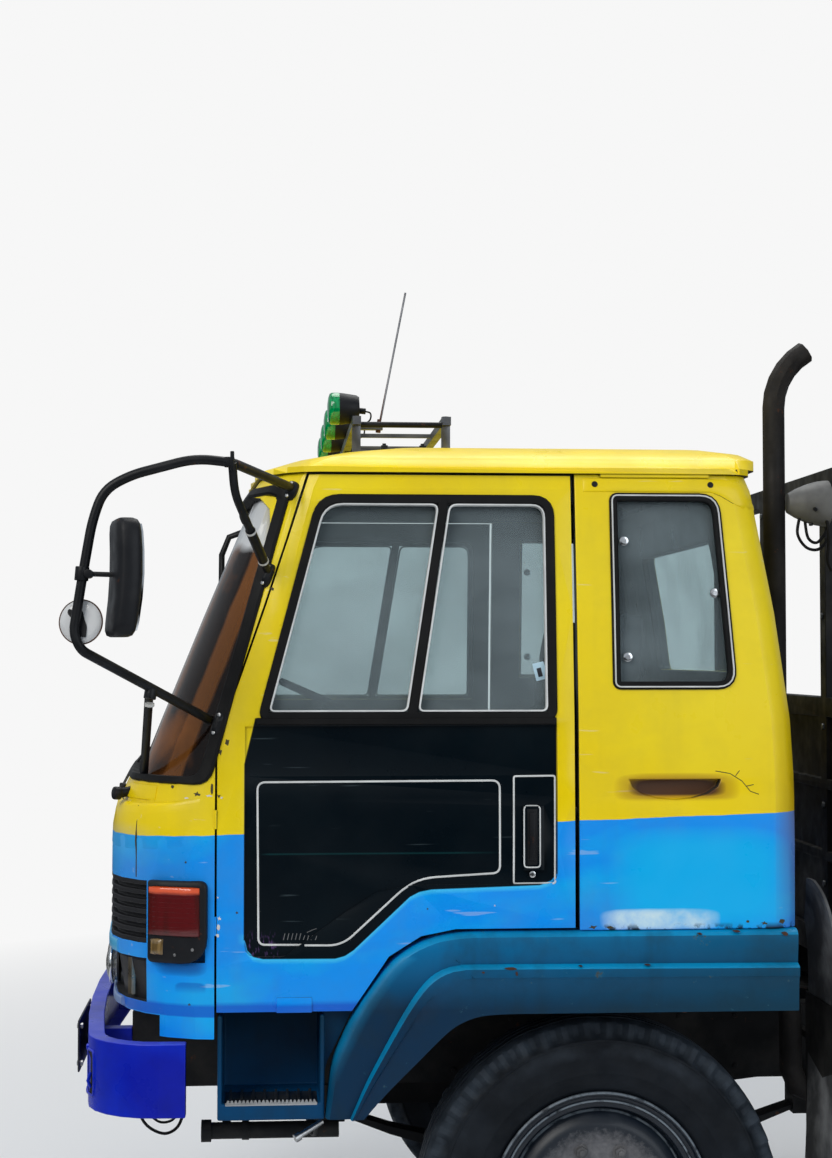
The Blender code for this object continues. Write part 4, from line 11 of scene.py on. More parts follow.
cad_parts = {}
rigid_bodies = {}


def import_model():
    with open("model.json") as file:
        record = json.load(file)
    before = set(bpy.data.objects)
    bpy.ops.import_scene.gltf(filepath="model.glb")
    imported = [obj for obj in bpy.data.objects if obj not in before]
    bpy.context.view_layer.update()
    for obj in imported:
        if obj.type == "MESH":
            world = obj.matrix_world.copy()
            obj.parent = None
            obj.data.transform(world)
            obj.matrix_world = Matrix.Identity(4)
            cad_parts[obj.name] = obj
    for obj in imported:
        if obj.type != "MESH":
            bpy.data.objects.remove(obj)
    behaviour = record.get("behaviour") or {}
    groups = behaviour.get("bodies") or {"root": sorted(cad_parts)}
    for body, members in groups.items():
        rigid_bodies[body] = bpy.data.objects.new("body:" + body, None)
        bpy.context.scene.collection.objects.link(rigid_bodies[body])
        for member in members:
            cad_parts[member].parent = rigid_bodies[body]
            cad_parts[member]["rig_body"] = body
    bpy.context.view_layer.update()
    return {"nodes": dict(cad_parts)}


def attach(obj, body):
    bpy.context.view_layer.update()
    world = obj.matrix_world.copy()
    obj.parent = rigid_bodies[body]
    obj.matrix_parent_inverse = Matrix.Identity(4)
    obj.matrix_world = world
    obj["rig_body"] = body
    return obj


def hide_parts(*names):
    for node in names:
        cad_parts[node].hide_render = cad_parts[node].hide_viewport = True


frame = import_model()
NODES = frame["nodes"]

# Lengths are in metres. X is counted from the front axle and moved to the shared frame by Form.make.
FRONT_AXLE_X = -1.8575
AXLE_Z = 0.495722
WHEELBASE = 3.75
BOARD_PITCH = 0.18245

CAMERA_PLACE = (-2.7575, -6.207, 1.977)
CAMERA_YAW = math.radians(4.326)
CAMERA_PITCH = math.radians(2.285)
CAMERA_LENS = 60


# Materials

class Wire:
    """A node's output, which sums and products turn into math nodes."""

    def __init__(self, graph, socket):
        self.graph = graph
        self.socket = socket

    def __add__(self, other):
        return self.graph.math("ADD", self, other)

    def __sub__(self, other):
        return self.graph.math("SUBTRACT", self, other)

    def __mul__(self, other):
        return self.graph.math("MULTIPLY", self, other)

    def __truediv__(self, other):
        return self.graph.math("DIVIDE", self, other)


class Graph:
    """A material's node tree, with short calls for the nodes used here."""

    def __init__(self, name):
        self.material = bpy.data.materials.new(name)
        self.material.use_nodes = True
        self.tree = self.material.node_tree
        self.shader = self.tree.nodes["Principled BSDF"]
        self.place = self.tree.nodes.new("ShaderNodeTexCoord").outputs["Object"]
        self.facing = self.place.node.outputs["Normal"]

    def put(self, socket, value):
        if isinstance(value, Wire):
            value = value.socket
        if isinstance(value, bpy.types.NodeSocket):
            self.tree.links.new(value, socket)
        else:
            socket.default_value = value

    def math(self, operation, *values):
        node = self.tree.nodes.new("ShaderNodeMath")
        node.operation = operation
        for socket, value in zip(node.inputs, values):
            self.put(socket, value)
        return Wire(self, node.outputs[0])

    def vector(self, operation, *values):
        node = self.tree.nodes.new("ShaderNodeVectorMath")
        node.operation = operation
        for socket, value in zip(node.inputs, values):
            self.put(socket, value)
        return Wire(self, node.outputs["Value" if operation == "DOT_PRODUCT" else "Vector"])

    def axes(self):
        node = self.tree.nodes.new("ShaderNodeSeparateXYZ")
        self.put(node.inputs[0], self.place)
        return [Wire(self, socket) for socket in node.outputs]

    def noise(self, scale, detail=4, rough=0.55, stretch=None):
        node = self.tree.nodes.new("ShaderNodeTexNoise")
        node.inputs["Scale"].default_value = scale
        node.inputs["Detail"].default_value = detail
        node.inputs["Roughness"].default_value = rough
        place = self.place if stretch is None else self.vector("MULTIPLY", self.place, stretch)
        self.put(node.inputs["Vector"], place)
        return Wire(self, node.outputs["Fac"])

    def span(self, value, low, high, to_low=0, to_high=1):
        node = self.tree.nodes.new("ShaderNodeMapRange")
        for name, level in (("From Min", low), ("From Max", high), ("To Min", to_low), ("To Max", to_high)):
            self.put(node.inputs[name], level)
        self.put(node.inputs["Value"], value)
        return Wire(self, node.outputs["Result"])

    def mix(self, share, first, second):
        node = self.tree.nodes.new("ShaderNodeMix")
        node.data_type = "RGBA"
        self.put(node.inputs["Factor"], share)
        for socket, value in zip((node.inputs[6], node.inputs[7]), (first, second)):
            self.put(socket, (*value, 1) if isinstance(value, tuple) else value)
        return Wire(self, node.outputs[2])

    def curve(self, value, points):
        node = self.tree.nodes.new("ShaderNodeFloatCurve")
        line = node.mapping.curves[0]
        while len(line.points) < len(points):
            line.points.new(0.5, 0.5)
        for point, (along, up) in zip(line.points, points):
            point.location = (along, up)
            point.handle_type = "VECTOR"
        node.mapping.update()
        self.put(node.inputs["Value"], value)
        return Wire(self, node.outputs[0])

    def mix_value(self, share, low=0.35, high=0.12):
        """A number that goes from low to high as the share goes from nought to one."""
        return share * (high - low) + low

    def bump(self, height, strength, distance=0.001):
        node = self.tree.nodes.new("ShaderNodeBump")
        node.inputs["Strength"].default_value = strength
        node.inputs["Distance"].default_value = distance
        self.put(node.inputs["Height"], height)
        self.put(self.shader.inputs["Normal"], node.outputs["Normal"])

    def surface(self, **values):
        names = {"colour": "Base Color", "rough": "Roughness", "metal": "Metallic", "coat": "Coat Weight",
            "coat_rough": "Coat Roughness", "shine": "Specular IOR Level", "clear": "Transmission Weight",
            "sheen": "Sheen Weight", "glow": "Emission Strength", "glow_colour": "Emission Color"}
        for key, value in values.items():
            self.put(self.shader.inputs[names[key]], (*value, 1) if isinstance(value, tuple) else value)
        return self.material


def grimy(graph, colour, grime, share=0.5, scale=5, streaks=True):
    """The colour with soft dirt in patches and, where asked, in upright streaks."""
    patches = graph.span(graph.noise(scale, 6, 0.62), 0.47, 0.78, 0, share)
    dirty = graph.mix(patches, colour, grime)
    if streaks:
        lines = graph.span(graph.noise(scale * 3, 3, 0.5, (1, 1, 0.12)), 0.55, 0.8, 0, share * 0.6)
        dirty = graph.mix(lines, dirty, grime)
    return dirty


YELLOW = (0.96, 0.71, 0)
PALE_YELLOW = (1, 0.79, 0.01)
BLUE = (0, 0.32, 1)
CYAN = (0, 0.48, 1)
TRIM_GREY = (0.035, 0.036, 0.038)
CAB_MIDDLE = (FRONT_AXLE_X - 0.42, 0, 1.75)


def outward(graph):
    """One on the outside of the cab's skin, nought on its inner faces."""
    spoke = graph.vector("SUBTRACT", graph.place, CAB_MIDDLE)
    spoke = graph.vector("MULTIPLY", spoke, (1, 1, 0.6))
    return graph.math("GREATER_THAN", graph.vector("DOT_PRODUCT", spoke, graph.facing), 0)


def bands(graph, x, z):
    """Yellow over blue, with paler blue where the paint has faded."""
    line = x * 0.0335 + 1.6007
    wobble = (graph.noise(14, 3) - 0.5) * 0.006
    above = graph.span(z - line - wobble, -0.0008, 0.0008)
    fade = graph.span(graph.noise(2.6, 3, 0.5, (1, 1, 2.2)), 0.5, 0.66, 0, 0.75)
    blue = graph.mix(fade, BLUE, CYAN)
    yellow = graph.mix(graph.span(graph.noise(1.8, 3), 0.42, 0.7), YELLOW, PALE_YELLOW)
    return graph.mix(above, blue, yellow)


def worn_paint(graph, colour, chip_scale=26, chip_share=0.735):
    """Grime, fine scratches and a few dark chips over a painted colour."""
    colour = grimy(graph, colour, (0.16, 0.12, 0.05), 0.16, 3.5)
    scratch = graph.span(graph.noise(60, 2, 0.5, (0.1, 1, 1)), 0.7, 0.74, 0, 0.22)
    colour = graph.mix(scratch, colour, (0.8, 0.82, 0.8))
    chips = graph.span(graph.noise(chip_scale, 6, 0.7), chip_share, chip_share + 0.012)
    colour = graph.mix(chips, colour, (0.055, 0.028, 0.016))
    graph.bump(graph.noise(180, 2), 0.04, 0.0006)
    return colour


def cab_paint():
    """The bands with their stains, faded and scraped places, a painted highlight on the front corner, painted
    shade in the scoop and under the corner lamp, and grey on the skin's inner faces.
    """
    graph = Graph("cab_paint_worn_painted_light")
    x, _, z = graph.axes()
    colour = worn_paint(graph, bands(graph, x, z), 22, 0.76)
    across = x - FRONT_AXLE_X
    ragged = (graph.noise(9, 5, 0.6) - 0.5) * 0.12

    def within(centre_x, centre_z, half_x, half_z, soft, uneven=0):
        """One inside an oval and nought outside it, with a border of the given softness."""
        east = (across - centre_x) / half_x
        north = (z - centre_z) / half_z
        power = graph.math("POWER", graph.math("ABSOLUTE", east), 4) + graph.math("POWER",
            graph.math("ABSOLUTE", north), 4)
        power = power + ragged * uneven
        return graph.span(power, 1 + soft, 1 - soft)

    below = graph.span(z, 1.53, 1.52)
    faded = within(0.262, 1.375, 0.225, 0.128, 0.75, 2) * below
    colour = graph.mix(faded, colour, (0, 0.5, 1))
    worn = within(0.145, 1.27, 0.14, 0.026, 0.98, 9)
    worn = worn * graph.span(graph.noise(16, 4), 0.3, 0.6, 0.35, 0.95)
    colour = graph.mix(worn, colour, (0.72, 0.92, 1))
    above = graph.span(z, 1.585, 1.595)
    rust = within(0.195, 1.622, 0.15, 0.036, 0.85, 3) * above
    colour = graph.mix(rust * 0.8, colour, (0.42, 0.2, 0.004))
    # Painted shade: dark brown inside the scoop, over the rust round it.
    painted_scoop_shade = within(0.195, 1.622, 0.122, 0.022, 0.5) * above
    colour = graph.mix(painted_scoop_shade, colour, (0.085, 0.03, 0.006))
    corner = graph.span(across, 0.455, 0.53) * graph.span(z, 2.15, 1.6)
    corner = corner * graph.span(z, 1.24, 1.56, 0.35, 1)
    colour = graph.mix(corner * 0.55, colour, (0.3, 0.13, 0.012))
    foot = graph.span(z, 1.262, 1.246) * graph.span(graph.noise(24, 5, 0.65), 0.5, 0.58)
    foot = foot * graph.span(across, -0.06, -0.02)
    colour = graph.mix(foot, colour, (0.006, 0.02, 0.04))
    # Painted highlight: paler violet-blue over the front corner below the paint line.
    violet = graph.span(across, -1.19, -1.33) * graph.span(z, 1.53, 1.5)
    colour = graph.mix(violet * 0.25, colour, (0.25, 0.45, 0.8))
    # Painted shade: darker blue just below the corner lamp, where its housing rounds off.
    painted_lamp_shade = within(-1.132, 1.165, 0.06, 0.03, 0.9)
    colour = graph.mix(painted_lamp_shade * 0.65, colour, (0, 0.045, 0.24))
    dimple = within(-1.107, 1.093, 0.04, 0.022, 0.35) * graph.span(z, 1.085, 1.105)
    colour = graph.mix(dimple * 0.55, colour, (0, 0.09, 0.5))
    lip = graph.span(z, 1.06, 1.05) * graph.span(z, 1.02, 1.024)
    colour = graph.mix(lip * 0.8, colour, (0, 0.1, 0.66))
    colour = graph.mix(outward(graph), TRIM_GREY, colour)
    rough = graph.span(graph.noise(7, 4), 0.3, 0.7, 0.24, 0.44)
    return graph.surface(colour=colour, rough=rough, coat=0.1, coat_rough=0.12, shine=0.35)


DOOR_BLACK_FLOOR = ((-0.963, 1.227), (-0.958, 1.2), (-0.942, 1.183), (-0.916, 1.177), (-0.725, 1.176),
    (-0.699, 1.183), (-0.676, 1.198), (-0.527, 1.337), (-0.501, 1.35), (-0.469, 1.356), (-0.179, 1.365),
    (-0.147, 1.376), (-0.131, 1.396))
DOOR_BLACK_TOP_Z = 1.812
DOOR_BLACK_FRONT_X = -0.967
DOOR_BLACK_REAR_X = -0.131
CURVE_X = (-1, -0.1)
CURVE_Z = (1.1, 1.5)


def door_paint():
    """The cab's bands, the black zone below the window, and a painted highlight along the flange just below
    the black zone.
    """
    graph = Graph("door_paint_worn_painted_highlight")
    x, _, z = graph.axes()
    painted = worn_paint(graph, bands(graph, x, z), 22, 0.76)
    across = x - FRONT_AXLE_X
    share = graph.span(across, *CURVE_X)
    points = [((px - CURVE_X[0]) / (CURVE_X[1] - CURVE_X[0]), (pz - CURVE_Z[0]) / (CURVE_Z[1] - CURVE_Z[0]))
        for px, pz in DOOR_BLACK_FLOOR]
    points = [(0, points[0][1])] + points + [(1, points[-1][1])]
    floor = graph.span(graph.curve(share, points), 0, 1, *CURVE_Z)
    soft = 0.0012
    inside = graph.span(z - floor, -soft, soft)
    front = graph.math("MAXIMUM", z - 1.69, 0)
    front = across - front * 0.235
    # Painted highlight: pale cyan along the flange just below the black zone.
    halo = z - floor
    halo = graph.span(halo, -0.014, -0.004) * graph.span(halo, 0.02, 0.01)
    halo = halo * graph.span(across, -0.985, -0.955)
    painted = graph.mix(halo * graph.span(across, -0.13, -0.16, 0, 0.75), painted, (0.06, 0.62, 1))
    sill = graph.span(z, 1.066, 1.052) * 0.85
    painted = graph.mix(sill, painted, (0, 0.1, 0.66))
    tests = (graph.span(z, DOOR_BLACK_TOP_Z + soft, DOOR_BLACK_TOP_Z - soft), graph.span(front,
        DOOR_BLACK_FRONT_X - soft, DOOR_BLACK_FRONT_X + soft), graph.span(across, DOOR_BLACK_REAR_X + soft,
        DOOR_BLACK_REAR_X - soft))
    for test in tests:
        inside = inside * test
    black = graph.mix(graph.span(graph.noise(4, 5), 0.45, 0.75, 0, 0.6), (0.0008, 0.004, 0.0072),
        (0.0025, 0.008, 0.012))
    scratch = graph.span(graph.noise(70, 2, 0.5, (0.06, 1, 1)), 0.71, 0.76, 0, 0.3)
    black = graph.mix(scratch, black, (0.1, 0.14, 0.16))
    scuffed = graph.span(z, 1.255, 1.222, 0, 1) * graph.span(graph.noise(150, 2, 0.5,
        (1, 1, 0.3)), 0.56, 0.66, 0, 0.45)
    scuffed = scuffed * graph.span(across, -0.86, -0.88)
    black = graph.mix(scuffed, black, (0.16, 0.08, 0.26))
    faint = graph.math("ABSOLUTE", z - 1.452)
    faint = graph.span(faint, 0.0035, 0) * graph.span(across, -0.925, -0.9)
    faint = faint * graph.span(across, -0.28, -0.4, 0, 0.35)
    black = graph.mix(faint, black, (0.01, 0.09, 0.095))
    colour = graph.mix(inside, painted, black)
    colour = graph.mix(outward(graph), TRIM_GREY, colour)
    rough = graph.span(graph.noise(7, 4), 0.3, 0.7, 0.24, 0.4)
    return graph.surface(colour=colour, rough=rough, coat=0.03, coat_rough=0.15,
        shine=graph.mix_value(inside))


def fender_paint():
    graph = Graph("teal_worn_painted_light")
    z = graph.axes()[2]
    # Painted shade and highlight: darker low down and towards the rear, lighter near the top and brightest on
    # upward faces.
    shade = graph.span(z, 1.04, 1.24)
    painted_top_highlight = graph.span(graph.vector("DOT_PRODUCT", graph.facing, (0, 0, 1)), 0.04, 0.55, 0, 0.85)
    rear = graph.span(graph.axes()[0], FRONT_AXLE_X - 0.5, FRONT_AXLE_X + 0.4)
    colour = graph.mix(shade, (0, 0.026, 0.072), (0, 0.185, 0.44))
    colour = graph.mix(rear * 0.6, colour, (0, 0.05, 0.09))
    colour = graph.mix(painted_top_highlight, colour, (0, 0.3, 0.6))
    colour = grimy(graph, colour, (0.006, 0.022, 0.03), 0.55, 6)
    chips = graph.span(graph.noise(17, 7, 0.72), 0.66, 0.675)
    colour = graph.mix(chips, colour, (0.05, 0.022, 0.012))
    halo = graph.span(graph.noise(17, 7, 0.72), 0.635, 0.65, 0, 0.25)
    colour = graph.mix(halo, colour, (0.06, 0.22, 0.28))
    graph.bump(graph.noise(40, 5), 0.12, 0.001)
    rough = graph.span(graph.noise(12, 4), 0.3, 0.7, 0.3, 0.58)
    return graph.surface(colour=colour, rough=rough, shine=0.22)


def step_paint():
    """Deep blue recess with painted shade that darkens it inward, worn where feet tread."""
    graph = Graph("step_recess_worn_painted_shade")
    z = graph.axes()[2]
    # Painted shade: darker towards the top of the recess.
    shade = graph.span(z, 0.8, 1.02)
    colour = graph.mix(shade, (0, 0.052, 0.15), (0, 0.03, 0.07))
    colour = grimy(graph, colour, (0.01, 0.024, 0.04), 0.45, 8)
    graph.bump(graph.noise(60, 4), 0.1, 0.0008)
    return graph.surface(colour=colour, rough=0.5, shine=0.15)


def bumper_paint():
    graph = Graph("ultramarine_worn_painted_highlight")
    colour = graph.mix(graph.span(graph.noise(3, 3), 0.42, 0.62), (0, 0.008, 0.4), (0, 0.022, 0.58))
    # Painted highlight: paler violet-blue on upward faces.
    up = graph.span(graph.vector("DOT_PRODUCT", graph.facing, (0, 0, 1)), 0.35, 0.85, 0, 0.75)
    colour = graph.mix(up, colour, (0.1, 0.13, 0.8))
    colour = grimy(graph, colour, (0.002, 0.004, 0.08), 0.4, 7, False)
    chips = graph.span(graph.noise(24, 6, 0.7), 0.7, 0.715)
    colour = graph.mix(chips, colour, (0.03, 0.02, 0.02))
    graph.bump(graph.noise(90, 3), 0.05, 0.0008)
    return graph.surface(colour=colour, rough=graph.span(graph.noise(9), 0.3, 0.7, 0.22, 0.42), shine=0.3)


def dark_metal(name, colour=(0.016, 0.017, 0.019), dust=(0.11, 0.1, 0.085), share=0.5, rough=(0.42, 0.75)):
    """Black paint over steel, dusty and a little rusty."""
    graph = Graph(name)
    colour = graph.mix(graph.span(graph.noise(6, 6, 0.62), 0.46, 0.74, 0, share), colour, dust)
    rust = graph.span(graph.noise(21, 6, 0.68), 0.64, 0.69, 0, 0.75)
    colour = graph.mix(rust, colour, (0.085, 0.03, 0.012))
    graph.bump(graph.noise(120, 4), 0.25, 0.0006)
    return graph.surface(colour=colour, rough=graph.span(graph.noise(15), 0.3, 0.7, *rough), metal=0,
        shine=0.22)


def metal(name, colour, rough, grain=140, tarnish=0.35, dark=(0.06, 0.055, 0.05)):
    graph = Graph(name)
    colour = graph.mix(graph.span(graph.noise(9, 6), 0.45, 0.75, 0, tarnish), colour, dark)
    graph.bump(graph.noise(grain, 3), 0.1, 0.0004)
    return graph.surface(colour=colour, rough=graph.span(graph.noise(20), 0.3, 0.7, rough, rough + 0.18),
        metal=1)


def rubber(name, colour=(0.009, 0.0095, 0.01), dust=(0.075, 0.07, 0.062), share=0.4, rough=0.62):
    graph = Graph(name)
    colour = graph.mix(graph.span(graph.noise(8, 5), 0.45, 0.8, 0, share), colour, dust)
    graph.bump(graph.noise(220, 3), 0.15, 0.0005)
    return graph.surface(colour=colour, rough=graph.span(graph.noise(18), 0.3, 0.7, rough, rough + 0.2),
        shine=0.2)


def wheel_radius(graph):
    """The distance from the nearer axle's line."""
    x, _, z = graph.axes()
    ahead = graph.math("ABSOLUTE", x - FRONT_AXLE_X - WHEELBASE / 2)
    across = ahead - WHEELBASE / 2
    up = z - AXLE_Z
    return graph.math("SQRT", across * across + up * up)


def tyre_rubber():
    """Blue-black side walls with dust on the shoulder lugs and a paler ring where the tyre flexes."""
    graph = Graph("tyre_rubber_dusty")
    radius = wheel_radius(graph)
    edge = radius + (graph.noise(30, 5) - 0.5) * 0.03
    colour = graph.mix(graph.span(graph.noise(7, 5), 0.42, 0.75, 0, 0.6), (0.0028, 0.005, 0.0085),
        (0.014, 0.019, 0.027))
    dust = graph.span(edge, 0.44, 0.468) * graph.span(graph.noise(16, 5), 0.25, 0.6, 0.35, 1)
    colour = graph.mix(dust, colour, (0.038, 0.05, 0.066))
    ring = graph.span(graph.math("ABSOLUTE", edge - 0.415), 0.024, 0.004) * graph.span(graph.noise(5, 4),
        0.42, 0.62, 0, 0.55)
    colour = graph.mix(ring, colour, (0.032, 0.042, 0.056))
    graph.bump(graph.noise(220, 3), 0.18, 0.0006)
    return graph.surface(colour=colour, rough=graph.span(graph.noise(18), 0.3, 0.7, 0.55, 0.8), shine=0.2)


def lens(name, colour, clear=0.25, rough=0.1):
    """Moulded lamp lens with fine ribs under a smooth face."""
    graph = Graph(name)
    ribs = graph.noise(55, 1, 0.4, (3, 3, 0.4))
    colour = graph.mix(graph.span(ribs, 0.4, 0.6), colour, tuple(part * 0.55 for part in colour))
    graph.bump(ribs, 0.25, 0.001)
    return graph.surface(colour=colour, rough=rough, clear=clear, coat=0.6)


def see_through(graph, tint, share):
    """Lets tinted light pass where the share is low."""
    tree = graph.tree
    through = tree.nodes.new("ShaderNodeBsdfTransparent")
    through.inputs["Color"].default_value = (*tint, 1)
    blend = tree.nodes.new("ShaderNodeMixShader")
    graph.put(blend.inputs[0], share)
    tree.links.new(through.outputs[0], blend.inputs[1])
    tree.links.new(graph.shader.outputs[0], blend.inputs[2])
    tree.links.new(blend.outputs[0], tree.nodes["Material Output"].inputs["Surface"])
    return graph.material


def glass(name, tint, veil, mirror_share):
    """Thin window glass: see-through, with a pale veil in patches that is partly dust and partly a painted
    reflection of cloud, and a mirror-like face.
    """
    graph = Graph(name)
    # Pale veil in patches: partly dust on the glass, partly a painted reflection of cloud.
    dust = graph.noise(3.2, 4, 0.55, (0.7, 1, 1))
    dust = graph.span(dust, 0.4, 0.72, mirror_share * 0.45, mirror_share)
    graph.surface(colour=veil, rough=0.06, metal=0, shine=1)
    return see_through(graph, tint, dust)


def screen_glass():
    """Smoked windscreen with painted reflections: brown drifts across it and a pale strip of sky along its
    top.
    """
    graph = Graph("screen_glass")
    x, y, z = graph.axes()
    # Painted reflection: brown and orange streaks stand for surroundings mirrored in the glass.
    slant = x - FRONT_AXLE_X - z * 0.4
    drift = slant * 11 + y * 1.2
    painted_reflection_streaks = graph.math("SINE", drift * 6.5 + graph.noise(2.2, 3) * 2.6)
    colour = graph.mix(graph.span(painted_reflection_streaks, -0.25, 0.25), (0.012, 0.006, 0.005), (0.26, 0.095, 0.022))
    colour = graph.mix(graph.span(graph.noise(3, 4), 0.55, 0.7, 0, 0.6), colour, (0.5, 0.17, 0.03))
    # Painted reflection: a pale strip of sky along the top.
    band = graph.span(z + graph.noise(4, 2) * 0.1, 2.315, 2.345)
    colour = graph.mix(band, colour, (0.72, 0.75, 0.78))
    share = graph.mix_value(band, 0.62, 0.88)
    graph.surface(colour=colour, rough=0.05, metal=0, shine=0.5)
    return see_through(graph, (0.55, 0.5, 0.46), share)


def wheel_paint():
    """Dark blue-black wheel paint with pale dust on the disc's middle and bare edges on the flange."""
    graph = Graph("wheel_paint_dusty")
    radius = wheel_radius(graph)
    ragged = (graph.noise(55, 6, 0.7) - 0.5) * 0.085
    edge = radius + ragged
    colour = graph.mix(graph.span(graph.noise(14, 6, 0.65), 0.45, 0.75, 0, 0.5), (0.0028, 0.0075,
        0.016), (0.018, 0.025, 0.034))
    dust = graph.span(edge, 0.196, 0.16, 0, 0.85)
    powder = graph.mix(graph.noise(90, 4), (0.085, 0.086, 0.094), (0.24, 0.24, 0.255))
    colour = graph.mix(dust, colour, powder)
    for ring in (0.296, 0.272, 0.24):
        near = graph.math("ABSOLUTE", radius - ring)
        bare = graph.span(near, 0.0035, 0.0015) * graph.span(graph.noise(24, 4), 0.38, 0.52, 0, 0.8)
        colour = graph.mix(bare, colour, (0.2, 0.24, 0.28))
    graph.bump(graph.noise(150, 4), 0.25, 0.0008)
    rough = graph.span(dust, 0, 1, 0.42, 0.88)
    return graph.surface(colour=colour, rough=rough)


def corner_lens():
    """Deep red moulding with a painted orange highlight along its top edge, duller down the middle."""
    graph = Graph("corner_lens_moulded")
    z = graph.axes()[2]
    # Painted highlight: orange along the lens's top edge.
    top = graph.span(z + graph.noise(30, 2) * 0.004, 1.349, 1.358)
    dull = graph.span(graph.noise(7, 3, 0.5, (3, 1, 0.5)), 0.45, 0.65, 0, 0.7)
    colour = graph.mix(dull, (0.115, 0.01, 0.012), (0.045, 0.012, 0.01))
    colour = graph.mix(top, colour, (0.8, 0.105, 0.03))
    graph.bump(graph.noise(60, 1, 0.4, (0.3, 0.3, 4)), 0.2, 0.001)
    return graph.surface(colour=colour, rough=0.16, coat=0.5, coat_rough=0.08)


def painted_sky_mirror_face():
    """Mirror face painted white as a painted reflection of the sky, with rust creeping in from its edge."""
    graph = Graph("mirror_face_painted_sky")
    spots = graph.span(graph.noise(34, 6, 0.7), 0.6, 0.66, 0, 0.9)
    # Painted reflection: the face's white stands for the sky it mirrors.
    colour = graph.mix(spots, (0.74, 0.76, 0.78), (0.1, 0.045, 0.03))
    haze = graph.span(graph.noise(12, 3), 0.4, 0.7, 0, 0.3)
    colour = graph.mix(haze, colour, (0.5, 0.53, 0.56))
    graph.bump(graph.noise(90, 2), 0.05, 0.0004)
    return graph.surface(colour=colour, rough=0.18, coat=0.3)


def planks():
    graph = Graph("weathered_planks")
    y = graph.axes()[1]
    grain = graph.noise(9, 8, 0.68, (0.35, 9, 9))
    colour = graph.mix(graph.span(grain, 0.3, 0.7), (0.075, 0.045, 0.026), (0.26, 0.185, 0.12))
    board = graph.math("FRACT", graph.math("FLOOR", y / BOARD_PITCH) * 0.371)
    colour = graph.mix(board * 0.45, colour, (0.15, 0.13, 0.11))
    colour = grimy(graph, colour, (0.03, 0.027, 0.024), 0.5, 2.5, False)
    graph.bump(grain, 0.55, 0.003)
    return graph.surface(colour=colour, rough=graph.span(grain, 0.3, 0.7, 0.65, 0.9))


def cloth(name, colour, second):
    graph = Graph(name)
    weave = graph.math("SINE", graph.axes()[0] * 2600) + graph.math("SINE", graph.axes()[1] * 2600)
    colour = graph.mix(graph.span(weave, -2, 2), colour, second)
    colour = grimy(graph, colour, (0.02, 0.018, 0.016), 0.4, 6, False)
    graph.bump(weave, 0.3, 0.0008)
    return graph.surface(colour=colour, rough=0.92, sheen=0.25)


def plain(name, colour, rough=0.5, scale=12, vary=0.25, **extra):
    """A moulded or painted surface whose tone and gloss vary a little."""
    graph = Graph(name)
    second = tuple(part * (1 - vary) for part in colour)
    colour = graph.mix(graph.span(graph.noise(scale, 4), 0.35, 0.7), colour, second)
    graph.bump(graph.noise(scale * 14, 2), 0.08, 0.0005)
    return graph.surface(colour=colour,
        rough=graph.span(graph.noise(scale * 2), 0.3, 0.7, rough, rough + 0.12), **extra)


CAB = cab_paint()
DOOR = door_paint()
TEAL = fender_paint()
BUMPER = bumper_paint()
CHASSIS = dark_metal("chassis_dusty", (0.008, 0.009, 0.011), (0.05, 0.046, 0.04))
BLACK = dark_metal("black_bracket", (0.007, 0.008, 0.01), (0.04, 0.042, 0.045), 0.4, (0.3, 0.5))
HOUSING = dark_metal("lamp_housing", (0.01, 0.011, 0.014), (0.05, 0.05, 0.05), 0.4, (0.35, 0.55))
SOOT = dark_metal("sooty_pipe", (0.01, 0.009, 0.009), (0.05, 0.045, 0.04), 0.5, (0.5, 0.8))
GALVANISED = metal("galvanised_dull", (0.16, 0.165, 0.18), 0.34, 90, 0.7, (0.035, 0.034, 0.034))
RIM = wheel_paint()
NUT = dark_metal("wheel_nut_dusty", (0.1, 0.1, 0.105), (0.34, 0.34, 0.35), 0.8, (0.5, 0.8))
CHROME = metal("chrome_worn", (0.8, 0.82, 0.84), 0.1, 200, 0.2, (0.35, 0.33, 0.3))
STEEL = metal("bright_steel", (0.52, 0.53, 0.54), 0.26, 160, 0.45, (0.12, 0.1, 0.08))
TYRE = tyre_rubber()
SEAL = rubber("seal_rubber", (0.0035, 0.0036, 0.0042), (0.022, 0.021, 0.02), 0.3, 0.45)
FLAP = rubber("flap_rubber", (0.01, 0.01, 0.01), (0.06, 0.057, 0.052), 0.5)
DUSTY_FLAP = rubber("dusty_flap_rubber", (0.05, 0.052, 0.055), (0.24, 0.25, 0.26), 0.9)
STEP_DARK = step_paint()
STEEL_DARK = metal("worn_tread_steel", (0.16, 0.17, 0.18), 0.34, 120, 0.7, (0.03, 0.03, 0.03))
WOOD = planks()
CLOTH = cloth("seat_cloth_grey", (0.045, 0.046, 0.055), (0.09, 0.09, 0.1))
PLASTIC = plain("dash_plastic", (0.022, 0.022, 0.024), 0.5)
GRILLE = plain("grille_plastic", (0.012, 0.012, 0.015), 0.42)
WHITE = plain("pinstripe_white", (0.78, 0.8, 0.8), 0.35)
PALE_BLUE = plain("pale_blue_paint", (0.1, 0.52, 0.88), 0.3)
TAPE = plain("white_tape", (0.72, 0.72, 0.7), 0.5)
TAG = plain("window_tag", (0.55, 0.78, 0.92), 0.35)
DARK_LINE = plain("crack_line", (0.06, 0.045, 0.012), 0.6)
PLATE = plain("blank_plate", (0.02, 0.022, 0.03), 0.38)
GREY_PAINT = plain("lamp_shell_grey", (0.18, 0.185, 0.19), 0.5, 9, 0.5)
RED = lens("red_lens_moulded", (0.42, 0.022, 0.018))
ORANGE = lens("orange_lens_moulded", (0.62, 0.1, 0.02))
AMBER = lens("amber_lens_moulded", (0.4, 0.26, 0.1), 0.4)
